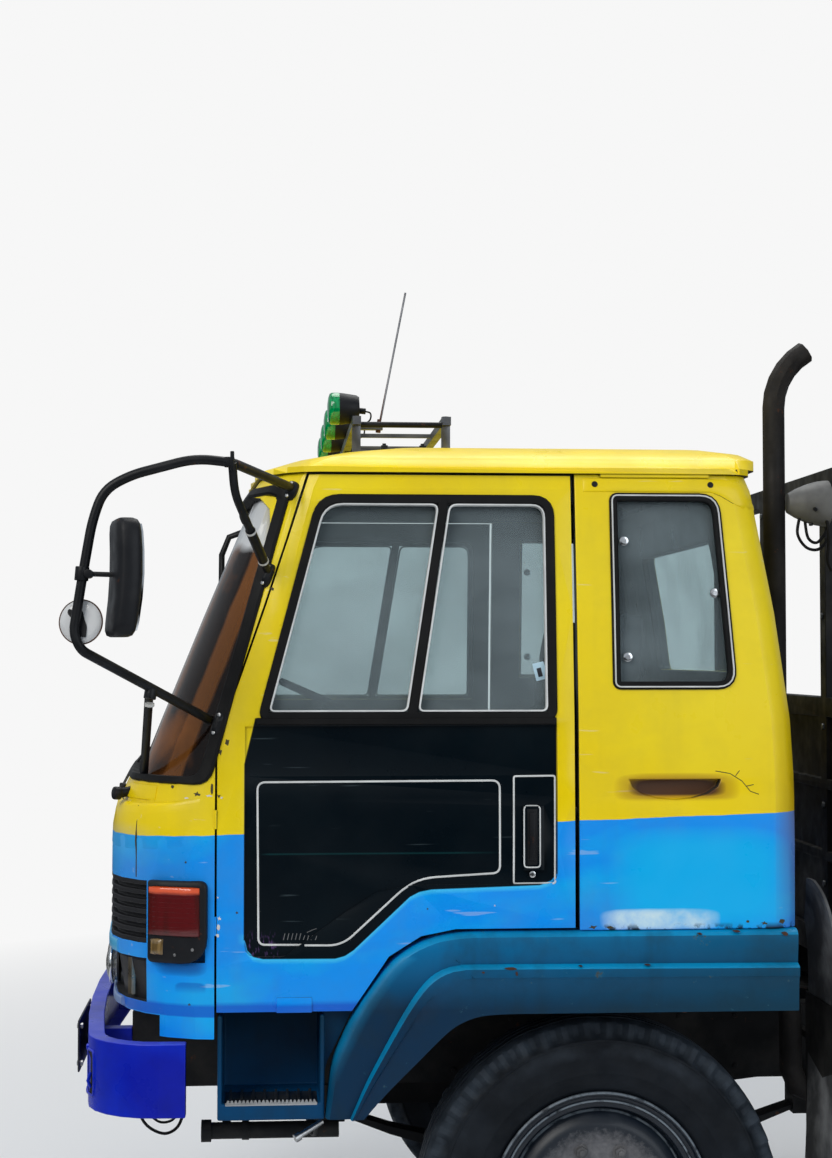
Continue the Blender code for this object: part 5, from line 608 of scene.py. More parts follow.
GREEN = lens("green_lens_moulded", (0, 0.34, 0.11), 0)
CLEAR_LENS = lens("clear_lens_moulded", (0.62, 0.64, 0.65), 0.75, 0.05)
CORNER_RED = corner_lens()
BRASS = metal("brassy_trim", (0.5, 0.42, 0.3), 0.22, 150, 0.5, (0.08, 0.06, 0.05))
PALE_VIOLET = plain("pale_violet_paint", (0.22, 0.34, 0.62), 0.3)
RUSTY = dark_metal("rusty_rim", (0.05, 0.022, 0.014), (0.13, 0.06, 0.035), 0.8, (0.55, 0.8))
MIRROR_PAINTED_SKY = painted_sky_mirror_face()
WHIP = dark_metal("aerial_wire", (0.085, 0.03, 0.018), (0.12, 0.07, 0.05), 0.5, (0.4, 0.6))
WINDOW = glass("window_glass", (0.8, 0.87, 0.88), (0.42, 0.5, 0.54), 0.3)
SCREEN = screen_glass()
MIRROR = metal("mirror_face", (0.8, 0.83, 0.86), 0.03, 200, 0.1)


# Shapes

def circle(radius, count):
    """Evenly spread (across, up) points on a circle about the origin."""
    angles = [math.tau * step / count for step in range(count)]
    return [(radius * math.cos(angle), radius * math.sin(angle)) for angle in angles]


class Form:
    """Gathers points and faces of one piece, with X counted from the front axle."""

    def __init__(self):
        self.points = []
        self.faces = []

    def add(self, points, faces):
        base = len(self.points)
        self.points += [tuple(point) for point in points]
        self.faces += [tuple(base + index for index in face) for face in faces]

    def block(self, low, high, bevel=0, turn=None):
        shape = bmesh.new()
        bmesh.ops.create_cube(shape, size=1)
        low, high = Vector(low), Vector(high)
        size = high - low
        for vertex in shape.verts:
            vertex.co = Vector([part * length for part, length in zip(vertex.co, size)])
        if bevel:
            bmesh.ops.bevel(shape, geom=shape.edges[:], offset=bevel, segments=2, affect="EDGES", profile=0.6)
        move = Matrix.Translation((low + high) / 2)
        if turn is not None:
            move = move @ turn
        bmesh.ops.transform(shape, matrix=move, verts=shape.verts)
        self.take(shape)

    def take(self, shape):
        shape.verts.ensure_lookup_table()
        shape.verts.index_update()
        self.add([vertex.co for vertex in shape.verts], [[v.index for v in face.verts]
            for face in shape.faces])
        shape.free()

    def rod(self, start, end, radius, sides=16, bevel=0):
        start, end = Vector(start), Vector(end)
        along = end - start
        turn = along.to_track_quat("Z", "Y").to_matrix().to_4x4()
        shape = bmesh.new()
        bmesh.ops.create_cone(shape, cap_ends=True, segments=sides, radius1=radius, radius2=radius,
            depth=along.length)
        if bevel:
            caps = [edge for edge in shape.edges if abs(edge.verts[0].co.z - edge.verts[1].co.z) < 1e-6]
            bmesh.ops.bevel(shape, geom=caps, offset=bevel, segments=2, affect="EDGES", profile=0.6)
        bmesh.ops.transform(shape, matrix=Matrix.Translation((start + end) / 2) @ turn, verts=shape.verts)
        self.take(shape)

    def loft(self, rings, closed=False):
        """Joins equal rings of points; open lofts get end faces."""
        count = len(rings[0])
        points = [point for ring in rings for point in ring]
        faces = []
        steps = len(rings) if closed else len(rings) - 1
        for row in range(steps):
            base, over = row * count, (row + 1) % len(rings) * count
            for index in range(count):
                follow = (index + 1) % count
                faces.append((base + index, base + follow, over + follow, over + index))
        if not closed:
            faces.append(tuple(range(count))[::-1])
            faces.append(tuple((len(rings) - 1) * count + index for index in range(count)))
        self.add(points, faces)

    def tube(self, route, radius, sides=10, closed=False):
        route = [Vector(point) for point in route]
        rings = []
        side = None
        for index, point in enumerate(route):
            before = route[index - 1] if index or closed else point
            after = route[(index + 1) % len(route)] if index + 1 < len(route) or closed else point
            along = (after - before).normalized()
            if side is None:
                side = along.orthogonal().normalized()
            side = (side - along * side.dot(along)).normalized()
            up = along.cross(side)
            thick = radius[index] if isinstance(radius, (list, tuple)) else radius
            rings.append([point + side * a + up * b for a, b in circle(thick, sides)])
        self.loft(rings, closed)

    def turned(self, profile, centre, sides):
        """Revolves (radius, y) points about the line through centre (x, z) along Y."""
        rings = []
        for step in range(sides):
            angle = math.tau * step / sides
            rings.append([(centre[0] + radius * math.cos(angle), y, centre[1] + radius * math.sin(angle))
                for radius, y in profile])
        self.loft(rings, True)

    def strip(self, route, normals, section, closed=False):
        """Sweeps a closed (across, lift) section along a route that lies on a surface."""
        rings = []
        count = len(route)
        for index, (point, normal) in enumerate(zip(route, normals)):
            before = route[index - 1] if index or closed else point
            after = route[(index + 1) % count] if index + 1 < count or closed else point
            along = (Vector(after) - Vector(before)).normalized()
            across = along.cross(normal).normalized()
            rings.append([Vector(point) + across * a + normal * lift for a, lift in section])
        self.loft(rings, closed)

    def mirrored(self):
        other = Form()
        other.points = [(x, -y, z) for x, y, z in self.points]
        other.faces = [face[::-1] for face in self.faces]
        return other

    def make(self, name, finish, body, angle=34, slot=None):
        mesh = bpy.data.meshes.new(name)
        mesh.from_pydata([(x + FRONT_AXLE_X, y, z) for x, y, z in self.points], [], self.faces)
        shape = bmesh.new()
        shape.from_mesh(mesh)
        bmesh.ops.recalc_face_normals(shape, faces=shape.faces)
        shape.to_mesh(mesh)
        shape.free()
        return shown(name, mesh, finish, body, angle)


def shown(name, mesh, finish, body, angle=34):
    mesh.materials.clear()
    mesh.materials.append(finish)
    mesh.shade_smooth()
    mesh.set_sharp_from_angle(angle=math.radians(angle))
    item = bpy.data.objects.new(name, mesh)
    bpy.context.scene.collection.objects.link(item)
    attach(item, body)
    return item


def other_side(name):
    return name.replace("left", "right")


def both(form, name, finish, body, slot=None, angle=34):
    """Makes a piece on the left and its mirror image on the right."""
    left = form.make(name, finish, body, angle, slot)
    return left, form.mirrored().make(other_side(name), finish, other_side(body), angle, slot)


def dressed(node, finish, bevel=0, angle=32, slot=None, merge=True):
    """A smooth, softly edged skin that stands for a CAD node."""
    shape = bmesh.new()
    shape.from_mesh(NODES[node].data)
    bmesh.ops.remove_doubles(shape, verts=shape.verts, dist=1e-5)
    if merge:
        bmesh.ops.dissolve_limit(shape, angle_limit=math.radians(0.12), verts=shape.verts, edges=shape.edges)
    bmesh.ops.recalc_face_normals(shape, faces=shape.faces)
    mesh = bpy.data.meshes.new(node + "_skin")
    shape.to_mesh(mesh)
    shape.free()
    item = shown(node + "_skin", mesh, finish, NODES[node]["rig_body"], angle)
    if bevel:
        edge = item.modifiers.new("Edges", "BEVEL")
        edge.width = bevel
        edge.segments = 2
        edge.limit_method = "ANGLE"
        edge.angle_limit = math.radians(angle)
        edge.harden_normals = True
        edge.use_clamp_overlap = True
    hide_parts(node)
    return item


def smooth_route(points, steps=6):
    """An open Catmull-Rom curve through the points."""
    points = [Vector(point) for point in points]
    ends = [points[0]] + points + [points[-1]]
    route = []
    for a, b, c, d in zip(ends, ends[1:], ends[2:], ends[3:]):
        for step in range(steps):
            t = step / steps
            route.append(0.5 * (2 * b + (c - a) * t + (2 * a - 5 * b + 4 * c - d) * t * t
                + (3 * b - a - 3 * c + d) * t ** 3))
    return route + [points[-1]]


def rounded(corners, radius, closed=True, steps=5):
    """A polygon in two dimensions with round corners; radius may be one value or one per corner."""
    count = len(corners)
    route = []
    for index, corner in enumerate(corners):
        size = radius[index] if isinstance(radius, (list, tuple)) else radius
        if not size or (not closed and index in (0, count - 1)):
            route.append(tuple(corner))
            continue
        here = Vector(corner)
        back = Vector(corners[index - 1]) - here
        ahead = Vector(corners[(index + 1) % count]) - here
        reach = min(size, back.length * 0.49, ahead.length * 0.49)
        start, end = here + back.normalized() * reach, here + ahead.normalized() * reach
        for step in range(steps + 1):
            t = step / steps
            route.append(tuple((1 - t) ** 2 * start + 2 * t * (1 - t) * here + t * t * end))
    return route


def spaced(route, gap=0.02, closed=True):
    """Adds points along the long stretches of a route."""
    result = []
    count = len(route)
    for index in range(count if closed else count - 1):
        start, end = Vector(route[index]), Vector(route[(index + 1) % count])
        parts = max(1, int((end - start).length / gap))
        result += [tuple(start.lerp(end, part / parts)) for part in range(parts)]
    if not closed:
        result.append(tuple(route[-1]))
    return result


def even(route, count):
    """Evenly spread points along an open route."""
    route = [Vector(point) for point in route]
    runs = [0]
    for start, end in zip(route, route[1:]):
        runs.append(runs[-1] + (end - start).length)
    result = []
    place = 0
    for step in range(count + 1):
        goal = runs[-1] * step / count
        while place < len(runs) - 2 and runs[place + 1] < goal:
            place += 1
        share = (goal - runs[place]) / max(runs[place + 1] - runs[place], 1e-9)
        result.append(route[place].lerp(route[place + 1], min(share, 1)))
    return result


def grown(route, distance):
    """Moves each point of a closed route outward in its plane."""
    count = len(route)
    area = sum(route[i][0] * route[(i + 1) % count][1] - route[(i + 1) % count][0] * route[i][1]
        for i in range(count))
    sign = 1 if area > 0 else -1
    result = []
    for index, point in enumerate(route):
        along = (Vector(route[(index + 1) % count]) - Vector(route[index - 1])).normalized()
        result.append((point[0] + along[1] * distance * sign, point[1] - along[0] * distance * sign))
    return result


# Station on the middle line from which the cab's nose is seen by angle.
TURN_X = -0.55


class Skin:
    """Finds points on the outside of some CAD nodes."""

    def __init__(self, *names):
        points, faces = [], []
        for name in names:
            mesh = NODES[name].data
            base = len(points)
            points += [vertex.co.copy() - Vector((FRONT_AXLE_X, 0, 0)) for vertex in mesh.vertices]
            faces += [tuple(base + index for index in face.vertices) for face in mesh.polygons]
        self.tree = BVHTree.FromPolygons(points, faces)

    def toward(self, start, way):
        hit, normal, _, _ = self.tree.ray_cast(Vector(start), Vector(way).normalized())
        if hit is None:
            return None, None
        return hit, normal if normal.dot(Vector(way)) < 0 else -normal

    def side(self, x, z):
        """The left face at a place."""
        return self.toward((x, -2, z), (0, 1, 0))

    def front(self, y, z):
        return self.toward((-3, y, z), (1, 0, 0))

    def around(self, degrees, z):
        """The cab's face seen from a point on its middle line, 180 being straight ahead."""
        angle = math.radians(degrees)
        way = Vector((math.cos(angle), math.sin(angle), 0))
        return self.toward(Vector((TURN_X, 0, z)) + way * 3, -way)


def laid(form, skin, route, section, closed=True, probe=None):
    """A strip on the left side along (x, z) points; probe gives the places that are asked for."""
    places, normals = [], []
    for (x, z), (px, pz) in zip(route, probe or route):
        hit, normal = skin.side(px, pz)
        if hit is None:
            continue
        places.append(Vector((x, hit[1] - (normal[0] * (x - px) + normal[2] * (z - pz)) / normal[1], z)))
        normals.append(normal)
    form.strip(places, normals, section, closed)


def band_section(width, lift, sink=0.002):
    half = width / 2
    return [(-half, -sink), (half, -sink), (half, lift * 0.55), (half * 0.72, lift), (-half * 0.72, lift),
        (-half, lift * 0.55)]


# Cab and doors

SIDE = Skin("door_left", "cab_front", "quarter_panel_left", "cab_rear_wall", "cab_roof")
FRONT = Skin("cab_front", "cab_roof")

PANES = "door_glass_left door_glass_right quarter_glass_left quarter_glass_right rear_glass"
# Columns: CAD nodes, finish, width of the softened edges, angle that counts as sharp, slot.
DRESSED = (
    ("cab_front cab_roof cab_rear_wall quarter_panel_left quarter_panel_right", CAB, 0.004, 30, "cab_paint"),
    ("door_left door_right", DOOR, 0.003, 30, "cab_paint"),
    ("step_left step_right", STEP_DARK, 0.005, 25, "teal_paint"),
    ("bumper", BUMPER, 0.006, 30, "ultramarine"),
    ("roof_rack", GALVANISED, 0.002, 35, "galvanised"),
    ("grille headlamp_panel", GRILLE, 0.002, 30, "dark_plastic"),
    ("windscreen", SCREEN, 0, 60, "glass"),
    ("dashboard", PLASTIC, 0.008, 30, "dark_plastic"),
    ("steering_wheel", PLASTIC, 0, 60, "dark_plastic"),
    ("cab_floor", CHASSIS, 0.004, 30, "chassis"),
    ("frame front_axle rear_axle engine bed_frame headboard tail_bar knuckle_left knuckle_right", CHASSIS,
        0.002, 32, "chassis"),
    ("fuel_tank battery_box", CHASSIS, 0.003, 32, "chassis"),
    ("exhaust_stack", SOOT, 0, 40, "chassis"),
    ("front_flap_left front_flap_right rear_mudguard_left rear_mudguard_right", FLAP, 0.002, 32, "rubber"),
    ("bed_floor", WOOD, 0.002, 30, "deck_wood"))

for names, *look in DRESSED:
    for node in names.split():
        dressed(node, *look, node not in ("door_left", "door_right"))
for node in PANES.split():
    NODES[node].data.materials.clear()
    NODES[node].data.materials.append(WINDOW)

WINDOW_CORNERS = ((-0.918, 1.815), (-0.142, 1.815), (-0.142, 2.402), (-0.762, 2.402))
QUARTER_CORNERS = ((0.034, 1.897), (0.354, 1.897), (0.318, 2.412), (0.034, 2.412))
BAR_LOW = (-0.52, 1.815)
BAR_HIGH = (-0.43, 2.402)


def sheet_faces(tall, wide):
    """Faces between neighbours on a grid of points."""
    corners = [row * wide + column for row in range(tall - 1) for column in range(wide - 1)]
    return [(here, here + 1, here + wide + 1, here + wide) for here in corners]


def grid(form, skin, rows, lift, sink=0.003, soft=0.6):
    """A thin raised sheet over a skin's left face, on rows of (x, z) places; its border sinks in."""
    points = []
    tall, wide = len(rows), len(rows[0])
    for row, places in enumerate(rows):
        for column, (x, z) in enumerate(places):
            hit, normal = skin.side(x, z)
            if hit is None:
                hit, normal = skin.side(x - 0.015, z - 0.006)
            border = min(row, column, tall - 1 - row, wide - 1 - column)
            points.append(hit + normal * ((-sink, lift * soft, lift)[min(border, 2)]))
    form.add(points, sheet_faces(tall, wide))


# Heights between which the door's skin is taken as flat, behind its window.
PANE_LOW_Z = 1.8
PANE_HIGH_Z = 2.42
PANE_RISE = 0.62
WINDOW_LOW_Z = 1.815
WINDOW_HIGH_Z = 2.402


def door_window():
    """Rubber round the door's window, bright lines in both panes, the bar between them and the sill strip."""
    route = spaced(rounded(WINDOW_CORNERS, (0.02, 0.02, 0.045, 0.05)), 0.03)
    seal = Form()
    laid(seal, SIDE, route, band_section(0.026, 0.006, 0.012), probe=grown(route, 0.016))
    both(seal, "door_window_seal_left", SEAL, "door_left", "rubber")
    inset = 0.015
    low_z, high_z = WINDOW_LOW_Z + inset, WINDOW_HIGH_Z - inset
    front = [(WINDOW_CORNERS[0][0] + inset * 1.2, low_z), (BAR_LOW[0] - 0.014, low_z), (BAR_HIGH[0] - 0.016,
        high_z), (WINDOW_CORNERS[3][0] + inset * 0.6, high_z)]
    rear = [(BAR_LOW[0] + 0.018, low_z), (WINDOW_CORNERS[1][0] - inset, low_z), (WINDOW_CORNERS[2][0] - inset,
        high_z), (BAR_HIGH[0] + 0.016, high_z)]
    lines = Form()
    for corners, radii in ((front, (0.015, 0.015, 0.02, 0.05)), (rear, (0.015, 0.015, 0.035, 0.02))):
        places, normals = [], []
        for x, z in spaced(rounded(corners, radii), 0.03):
            low, _ = SIDE.side(x, PANE_LOW_Z)
            high, _ = SIDE.side(max(x, -0.74), PANE_HIGH_Z)
            share = (z - PANE_LOW_Z) / PANE_RISE
            places.append(Vector((x, low[1] + (high[1] - low[1]) * share, z)))
            normals.append(Vector((0, -PANE_RISE, high[1] - low[1])).normalized())
        lines.strip(places, normals, band_section(0.0055, 0.0085, 0.01), True)
    both(lines, "door_window_bright_line_left", WHITE, "door_left", "cab_paint")
    bar = Form()
    low, _ = SIDE.side(BAR_LOW[0], PANE_LOW_Z)
    high, _ = SIDE.side(BAR_HIGH[0], PANE_HIGH_Z)
    slope = (high[1] - low[1]) / PANE_RISE
    ends = [Vector((x, low[1] + slope * (z - PANE_LOW_Z), z)) for x, z in (BAR_LOW, BAR_HIGH)]
    normal = Vector((0, -1, slope)).normalized()
    bar.strip(ends, [normal, normal], [(-0.013, -0.018), (0.013, -0.018), (0.013, 0.004), (0.009, 0.007),
        (-0.009, 0.007), (-0.013, 0.004)])
    both(bar, "door_window_bar_left", SEAL, "door_left", "rubber")
    sill = Form()
    route = spaced([(-0.935, 1.803), (-0.135, 1.803)], 0.05, False)
    laid(sill, SIDE, route, band_section(0.02, 0.009, 0.004), False)
    both(sill, "door_sill_strip_left", SEAL, "door_left", "rubber")


door_window()


def pinstripes():
    """White coach lines on the black door zone, and the pull handle's surround."""
    big = rounded([(-0.932, 1.642), (-0.285, 1.644), (-0.285, 1.398), (-0.516, 1.385), (-0.707, 1.211),
        (-0.928, 1.214)], (0.022, 0.022, 0.02, 0.06, 0.038, 0.018), steps=7)
    small = rounded([(-0.247, 1.655), (-0.136, 1.656), (-0.137, 1.37), (-0.248, 1.369)], 0.006)
    grip = rounded([(-0.221, 1.576), (-0.178, 1.576), (-0.178, 1.413), (-0.221, 1.413)], 0.01)
    lines = Form()
    for route, width in ((big, 0.0052), (small, 0.0048), (grip, 0.0038)):
        laid(lines, SIDE, spaced(route, 0.015), band_section(width, 0.0008, 0.0008))
    both(lines, "door_pinstripes_left", WHITE, "door_left", "cab_paint")


pinstripes()


def door_trim():
    """Pull handle, lock and the clip at the door's lower front."""
    handle = Form()
    hit, _ = SIDE.side(-0.195, 1.49)
    y = hit[1]
    handle.block((-0.213, y - 0.0045, 1.4205), (-0.186, y + 0.002, 1.5685), 0.002)
    handle.block((-0.2075, y - 0.011, 1.432), (-0.1915, y - 0.003, 1.56), 0.0035)
    both(handle, "door_pull_handle_left", BLACK, "door_left", "black_paint")
    lock = Form()
    lock.rod((-0.1995, y - 0.006, 1.395), (-0.1995, y + 0.004, 1.395), 0.009, 20, bevel=0.0015)
    lock.rod((-0.1995, y - 0.0068, 1.395), (-0.1995, y - 0.004, 1.395), 0.0045, 16)
    both(lock, "door_lock_left", CHROME, "door_left", "wheel_steel")
    clip = Form()
    hit, _ = SIDE.side(-0.835, 1.06)
    clip.block((-0.88, hit[1] - 0.0035, 1.034), (-0.786, hit[1] + 0.002, 1.074), 0.0022)
    both(clip, "door_lower_clip_left", CAB, "door_left", "cab_paint")


door_trim()


def quarter_window():
    """Seal, bright line and bolts of the sleeper window, the plate above it and the cracks below."""
    route = spaced(rounded(QUARTER_CORNERS, (0.012, 0.045, 0.045, 0.012)), 0.03)
    seal = Form()
    laid(seal, SIDE, route, band_section(0.022, 0.006, 0.014), probe=grown(route, 0.016))
    both(seal, "quarter_window_seal_left", SEAL, "cab", "rubber")
    line = Form()
    outer = grown(route, 0.0035)
    laid(line, SIDE, outer, band_section(0.0045, 0.0095, 0), probe=grown(route, 0.016))
    both(line, "quarter_window_bright_line_left", WHITE, "cab", "cab_paint")
    bolts = Form()
    for x, z in ((0.064, 2.291), (0.068, 1.974), (0.312, 2.149)):
        low, _ = SIDE.side(x, 1.88)
        high, _ = SIDE.side(x, 2.43)
        y = low[1] + (high[1] - low[1]) * (z - 1.88) / 0.55
        bolts.rod((x, y + 0.02, z), (x, y + 0.01, z), 0.013, 20, bevel=0.003)
        bolts.rod((x, y + 0.012, z), (x, y + 0.006, z), 0.007, 6)
    both(bolts, "quarter_window_bolts_left", CHROME, "cab", "wheel_steel")
    plate = Form()
    rows = []
    for height in (0, 0.06, 0.16, 0.35, 0.65, 0.9, 1):
        row = []
        for step in range(25):
            across = min(max((step - 0.5) / 23, 0), 1)
            bend = min(max((across - 0.76) / 0.14, 0), 1)
            low = 2.424 - 0.046 * bend * bend * (3 - 2 * bend)
            z = low + (2.466 - low) * height
            row.append((-0.054 + (0.418 + (2.428 - z) * 0.72 + 0.054) * across, z))
        rows.append(row)
    grid(plate, SIDE, rows, 0.0032)
    both(plate, "quarter_header_plate_left", CAB, "cab", "cab_paint")
    screws = Form()
    for x in (-0.016, 0.305):
        hit, normal = SIDE.side(x, 2.446)
        screws.rod(hit + normal * 0.001, hit + normal * 0.0055, 0.0085, 18, bevel=0.0018)
    both(screws, "quarter_header_screws_left", BLACK, "cab", "black_paint")
    cracks = Form()
    for route in (((0.3, 1.667), (0.34, 1.66), (0.372, 1.64), (0.395, 1.612), (0.418, 1.604)),
            ((0.355, 1.654), (0.366, 1.668)), ((0.385, 1.626), (0.404, 1.63))):
        laid(cracks, SIDE, spaced(route, 0.01, False), band_section(0.0022, 0.0006, 0.0006), False)
    cracks.make("quarter_paint_cracks", DARK_LINE, "cab", slot="cab_paint")


quarter_window()


def drip_rail():
    """The rain gutter along the roof's lower edge on each side."""
    rail = Form()
    route = [(-0.8, 2.47), (-0.7, 2.474)] + [(-0.6 + 0.1 * step, 2.4755) for step in range(10)]
    places, normals = [], []
    for x, z in route:
        hit, _ = SIDE.side(x, z - 0.004)
        if hit is not None:
            places.append(hit)
            normals.append(Vector((0, -1, 0)))
    section = [(-0.007, -0.003), (-0.007, 0.006), (-0.003, 0.0085), (0.004, 0.0085), (0.006, 0.006),
        (0.006, -0.003)]
    rail.strip(places, normals, section)
    both(rail, "roof_drip_rail_left", CAB, "cab", "cab_paint")


drip_rail()


# Corners of the wheel-arch band, as stations and heights: its outer edge, its ledge and its inner edge.
FENDER_OUTER = ((-0.75, 0.758), (-0.735, 0.9), (-0.672, 1.036), (-0.575, 1.172), (-0.489, 1.225),
    (-0.396, 1.243), (0.52, 1.243))
FENDER_LEDGE = ((-0.684, 0.758), (-0.645, 0.845), (-0.603, 0.925), (-0.553, 1.015), (-0.512, 1.08),
    (-0.473, 1.125), (-0.43, 1.149), (-0.385, 1.156), (-0.316, 1.157), (0.518, 1.152))
FENDER_INNER = ((-0.649, 0.758), (-0.587, 0.826), (-0.508, 0.903), (-0.431, 0.977), (-0.391, 1.004),
    (-0.343, 1.021), (-0.29, 1.026), (-0.237, 1.027), (-0.183, 1.027), (0.518, 1.026))
FENDER_STEPS = 72
# Columns: which pair of edges, share between them and distance out from the middle.
FENDER_SECTION = ((0, 0.03, 0.988), (0, 0, 0.992), (0, 0, 1.052), (0, 0.05, 1.066), (0, 0.16, 1.0745),
    (0, 0.4, 1.0765), (0, 0.8, 1.0745), (0, 0.98, 1.0735), (1, 0.03, 1.09), (1, 0.07, 1.095),
    (1, 0.24, 1.0945), (1, 0.3, 1.0885), (1, 0.6, 1.0845), (1, 0.9, 1.0835), (1, 0.99, 1.082),
    (1, 1, 1.074), (1, 0.96, 1.074), (1, 0.6, 1.076), (1, 0.3, 1.079), (1, 0.1, 1.08), (0, 0.95, 1.064),
    (0, 0.4, 1.068), (0, 0.2, 1.064), (0, 0.1, 1.052), (0, 0.07, 0.992))


def fenders():
    """Pressed wheel-arch band with a rounded top, a proud ledge and a return lip."""
    outer = rounded([(x, 0, z) for x, z in FENDER_OUTER], 0.05, False)
    lines = [even(outer, FENDER_STEPS)]
    for corners in (FENDER_LEDGE, FENDER_INNER):
        lines.append(even(smooth_route([(x, 0, z) for x, z in corners], 6), FENDER_STEPS))
    form = Form()
    rings = []
    for top, ledge, low in zip(*lines):
        ring = []
        for pair, share, out in FENDER_SECTION:
            start, end = (top, ledge) if pair == 0 else (ledge, low)
            spot = Vector(start).lerp(Vector(end), share)
            ring.append((spot[0], -out, spot[2]))
        rings.append(ring)
    form.loft(rings)
    item, far = both(form, "fender_skin_left", TEAL, NODES["fender_left"]["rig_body"], "teal_paint")
    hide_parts("fender_left")
    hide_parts("fender_right")
    marks = Form()
    for x, z, wide, tall in ((-0.262, 1.15, 0.02, 0.0042), (-0.246, 1.137, 0.004, 0.007),
            (-0.335, 1.141, 0.005, 0.003), (0.205, 1.03, 0.012, 0.005), (-0.075, 1.155, 0.006, 0.002),
            (0.105, 1.156, 0.01, 0.002), (0.35, 1.24, 0.012, 0.003), (0.482, 1.232, 0.01, 0.006),
            (0.25, 1.234, 0.008, 0.003)):
        spots = []
        for step in range(10):
            angle = math.tau * step / 10
            spots.append((x + wide * (0.8 + 0.2 * math.sin(5 * step)) * math.cos(angle),
                z + tall * (0.8 + 0.2 * math.cos(7 * step)) * math.sin(angle)))
        y = -1.0955 if 1.12 < z < 1.158 else -1.08
        marks.loft([[(a, level, b) for a, b in spots] for level in (y + 0.01, y - 0.0006)])
    marks.make("fender_rust_marks", RUSTY, NODES["fender_left"]["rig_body"], 40, "teal_paint")


fenders()


SCREEN_LOW_Z = 1.646
SCREEN_HIGH_Z = 2.43
SCREEN_EDGE_LOW_X = -1.079
SCREEN_EDGE_HIGH_X = -0.862


def windscreen_seal():
    """Rubber round the wrap-round windscreen, thin along its foot and thick up its sides."""

    def edge(z):
        rise = (z - SCREEN_LOW_Z) / (SCREEN_HIGH_Z - SCREEN_LOW_Z)
        return SCREEN_EDGE_LOW_X + (SCREEN_EDGE_HIGH_X - SCREEN_EDGE_LOW_X) * rise

    corners = ((-1.19, SCREEN_LOW_Z), (edge(SCREEN_LOW_Z), SCREEN_LOW_Z),
        (edge(SCREEN_HIGH_Z), SCREEN_HIGH_Z), (-0.985, SCREEN_HIGH_Z))

    def probed(find, z):
        """Looks just outside the opening and comes back to the seal's own height."""
        probe = min(z, 1.632) if z < 1.8 else max(z, 2.434)
        hit, normal = find(probe)
        if hit is None:
            return None, None
        return hit - Vector((normal[0], normal[1], 0)) * (normal[2] * (z - probe)) + Vector((0, 0,
            z - probe)), normal

    side = []
    for x, z in spaced(rounded(corners, (0, 0.036, 0.034, 0), False), 0.03, False):
        if z < SCREEN_LOW_Z + 0.002 or z > SCREEN_HIGH_Z - 0.002:
            side.append(probed(lambda probe: FRONT.side(x, probe), z))
        else:
            side.append(FRONT.side(x + 0.006, z))
    side = [(hit, normal) for hit, normal in side if hit is not None]

    def swing(hit):
        return math.degrees(math.atan2(hit[1], hit[0] - TURN_X)) % 360

    def front(z, low, high):
        found = [probed(lambda probe: FRONT.around(low + (high - low) * step / 40, probe), z)
            for step in range(1, 40)]
        return [(hit, normal) for hit, normal in found if hit is not None]

    first, last = side[0][0], side[-1][0]
    other = [(Vector((hit[0], -hit[1], hit[2])), Vector((normal[0], -normal[1], normal[2]))) for hit,
        normal in side]
    ring = side + front(SCREEN_HIGH_Z, swing(last), 360 - swing(last)) + other[::-1]
    ring += front(SCREEN_LOW_Z, 360 - swing(first), swing(first))
    count = len(ring)
    rings = []
    for index, (hit, normal) in enumerate(ring):
        along = (ring[(index + 1) % count][0] - ring[index - 1][0]).normalized()
        across = along.cross(normal).normalized()
        upright = abs(along[2])
        half = 0.0105 + 0.0085 * min(1, upright * 1.6) + (0.005 if hit[2] > 2.4 else 0)
        rings.append([hit + across * a + normal * lift for a, lift in ((-half, -0.014), (half, -0.014),
            (half, 0.005), (half * 0.7, 0.0095), (-half * 0.7, 0.0095), (-half, 0.005))])
    seal = Form()
    seal.loft(rings, True)
    seal.make("windscreen_seal", SEAL, "cab", slot="rubber")


windscreen_seal()


# Lamps

CORNER = Skin("corner_lamp_left")
LAMP_PANEL = Skin("headlamp_panel")


def steps_between(low, high, count):
    """Evenly spaced values with one more close to each end, for a soft edge."""
    edge = 0.0035
    inner = [low + edge + (high - low - 2 * edge) * step / count for step in range(count + 1)]
    return [low] + inner + [high]


def lens_pad(form, xs, zs, lift):
    """A raised, soft-edged pad on the corner lamp, on a grid of stations and heights."""
    grid(form, CORNER, [[(x, z) for x in xs] for z in zs], lift, -0.002, 0.72)


LAMP_CORNERS = ((-1.221, 1.382), (-1.063, 1.384), (-1.063, 1.166), (-1.221, 1.166))
LAMP_ROUNDING = (0.006, 0.022, 0.07, 0.012)


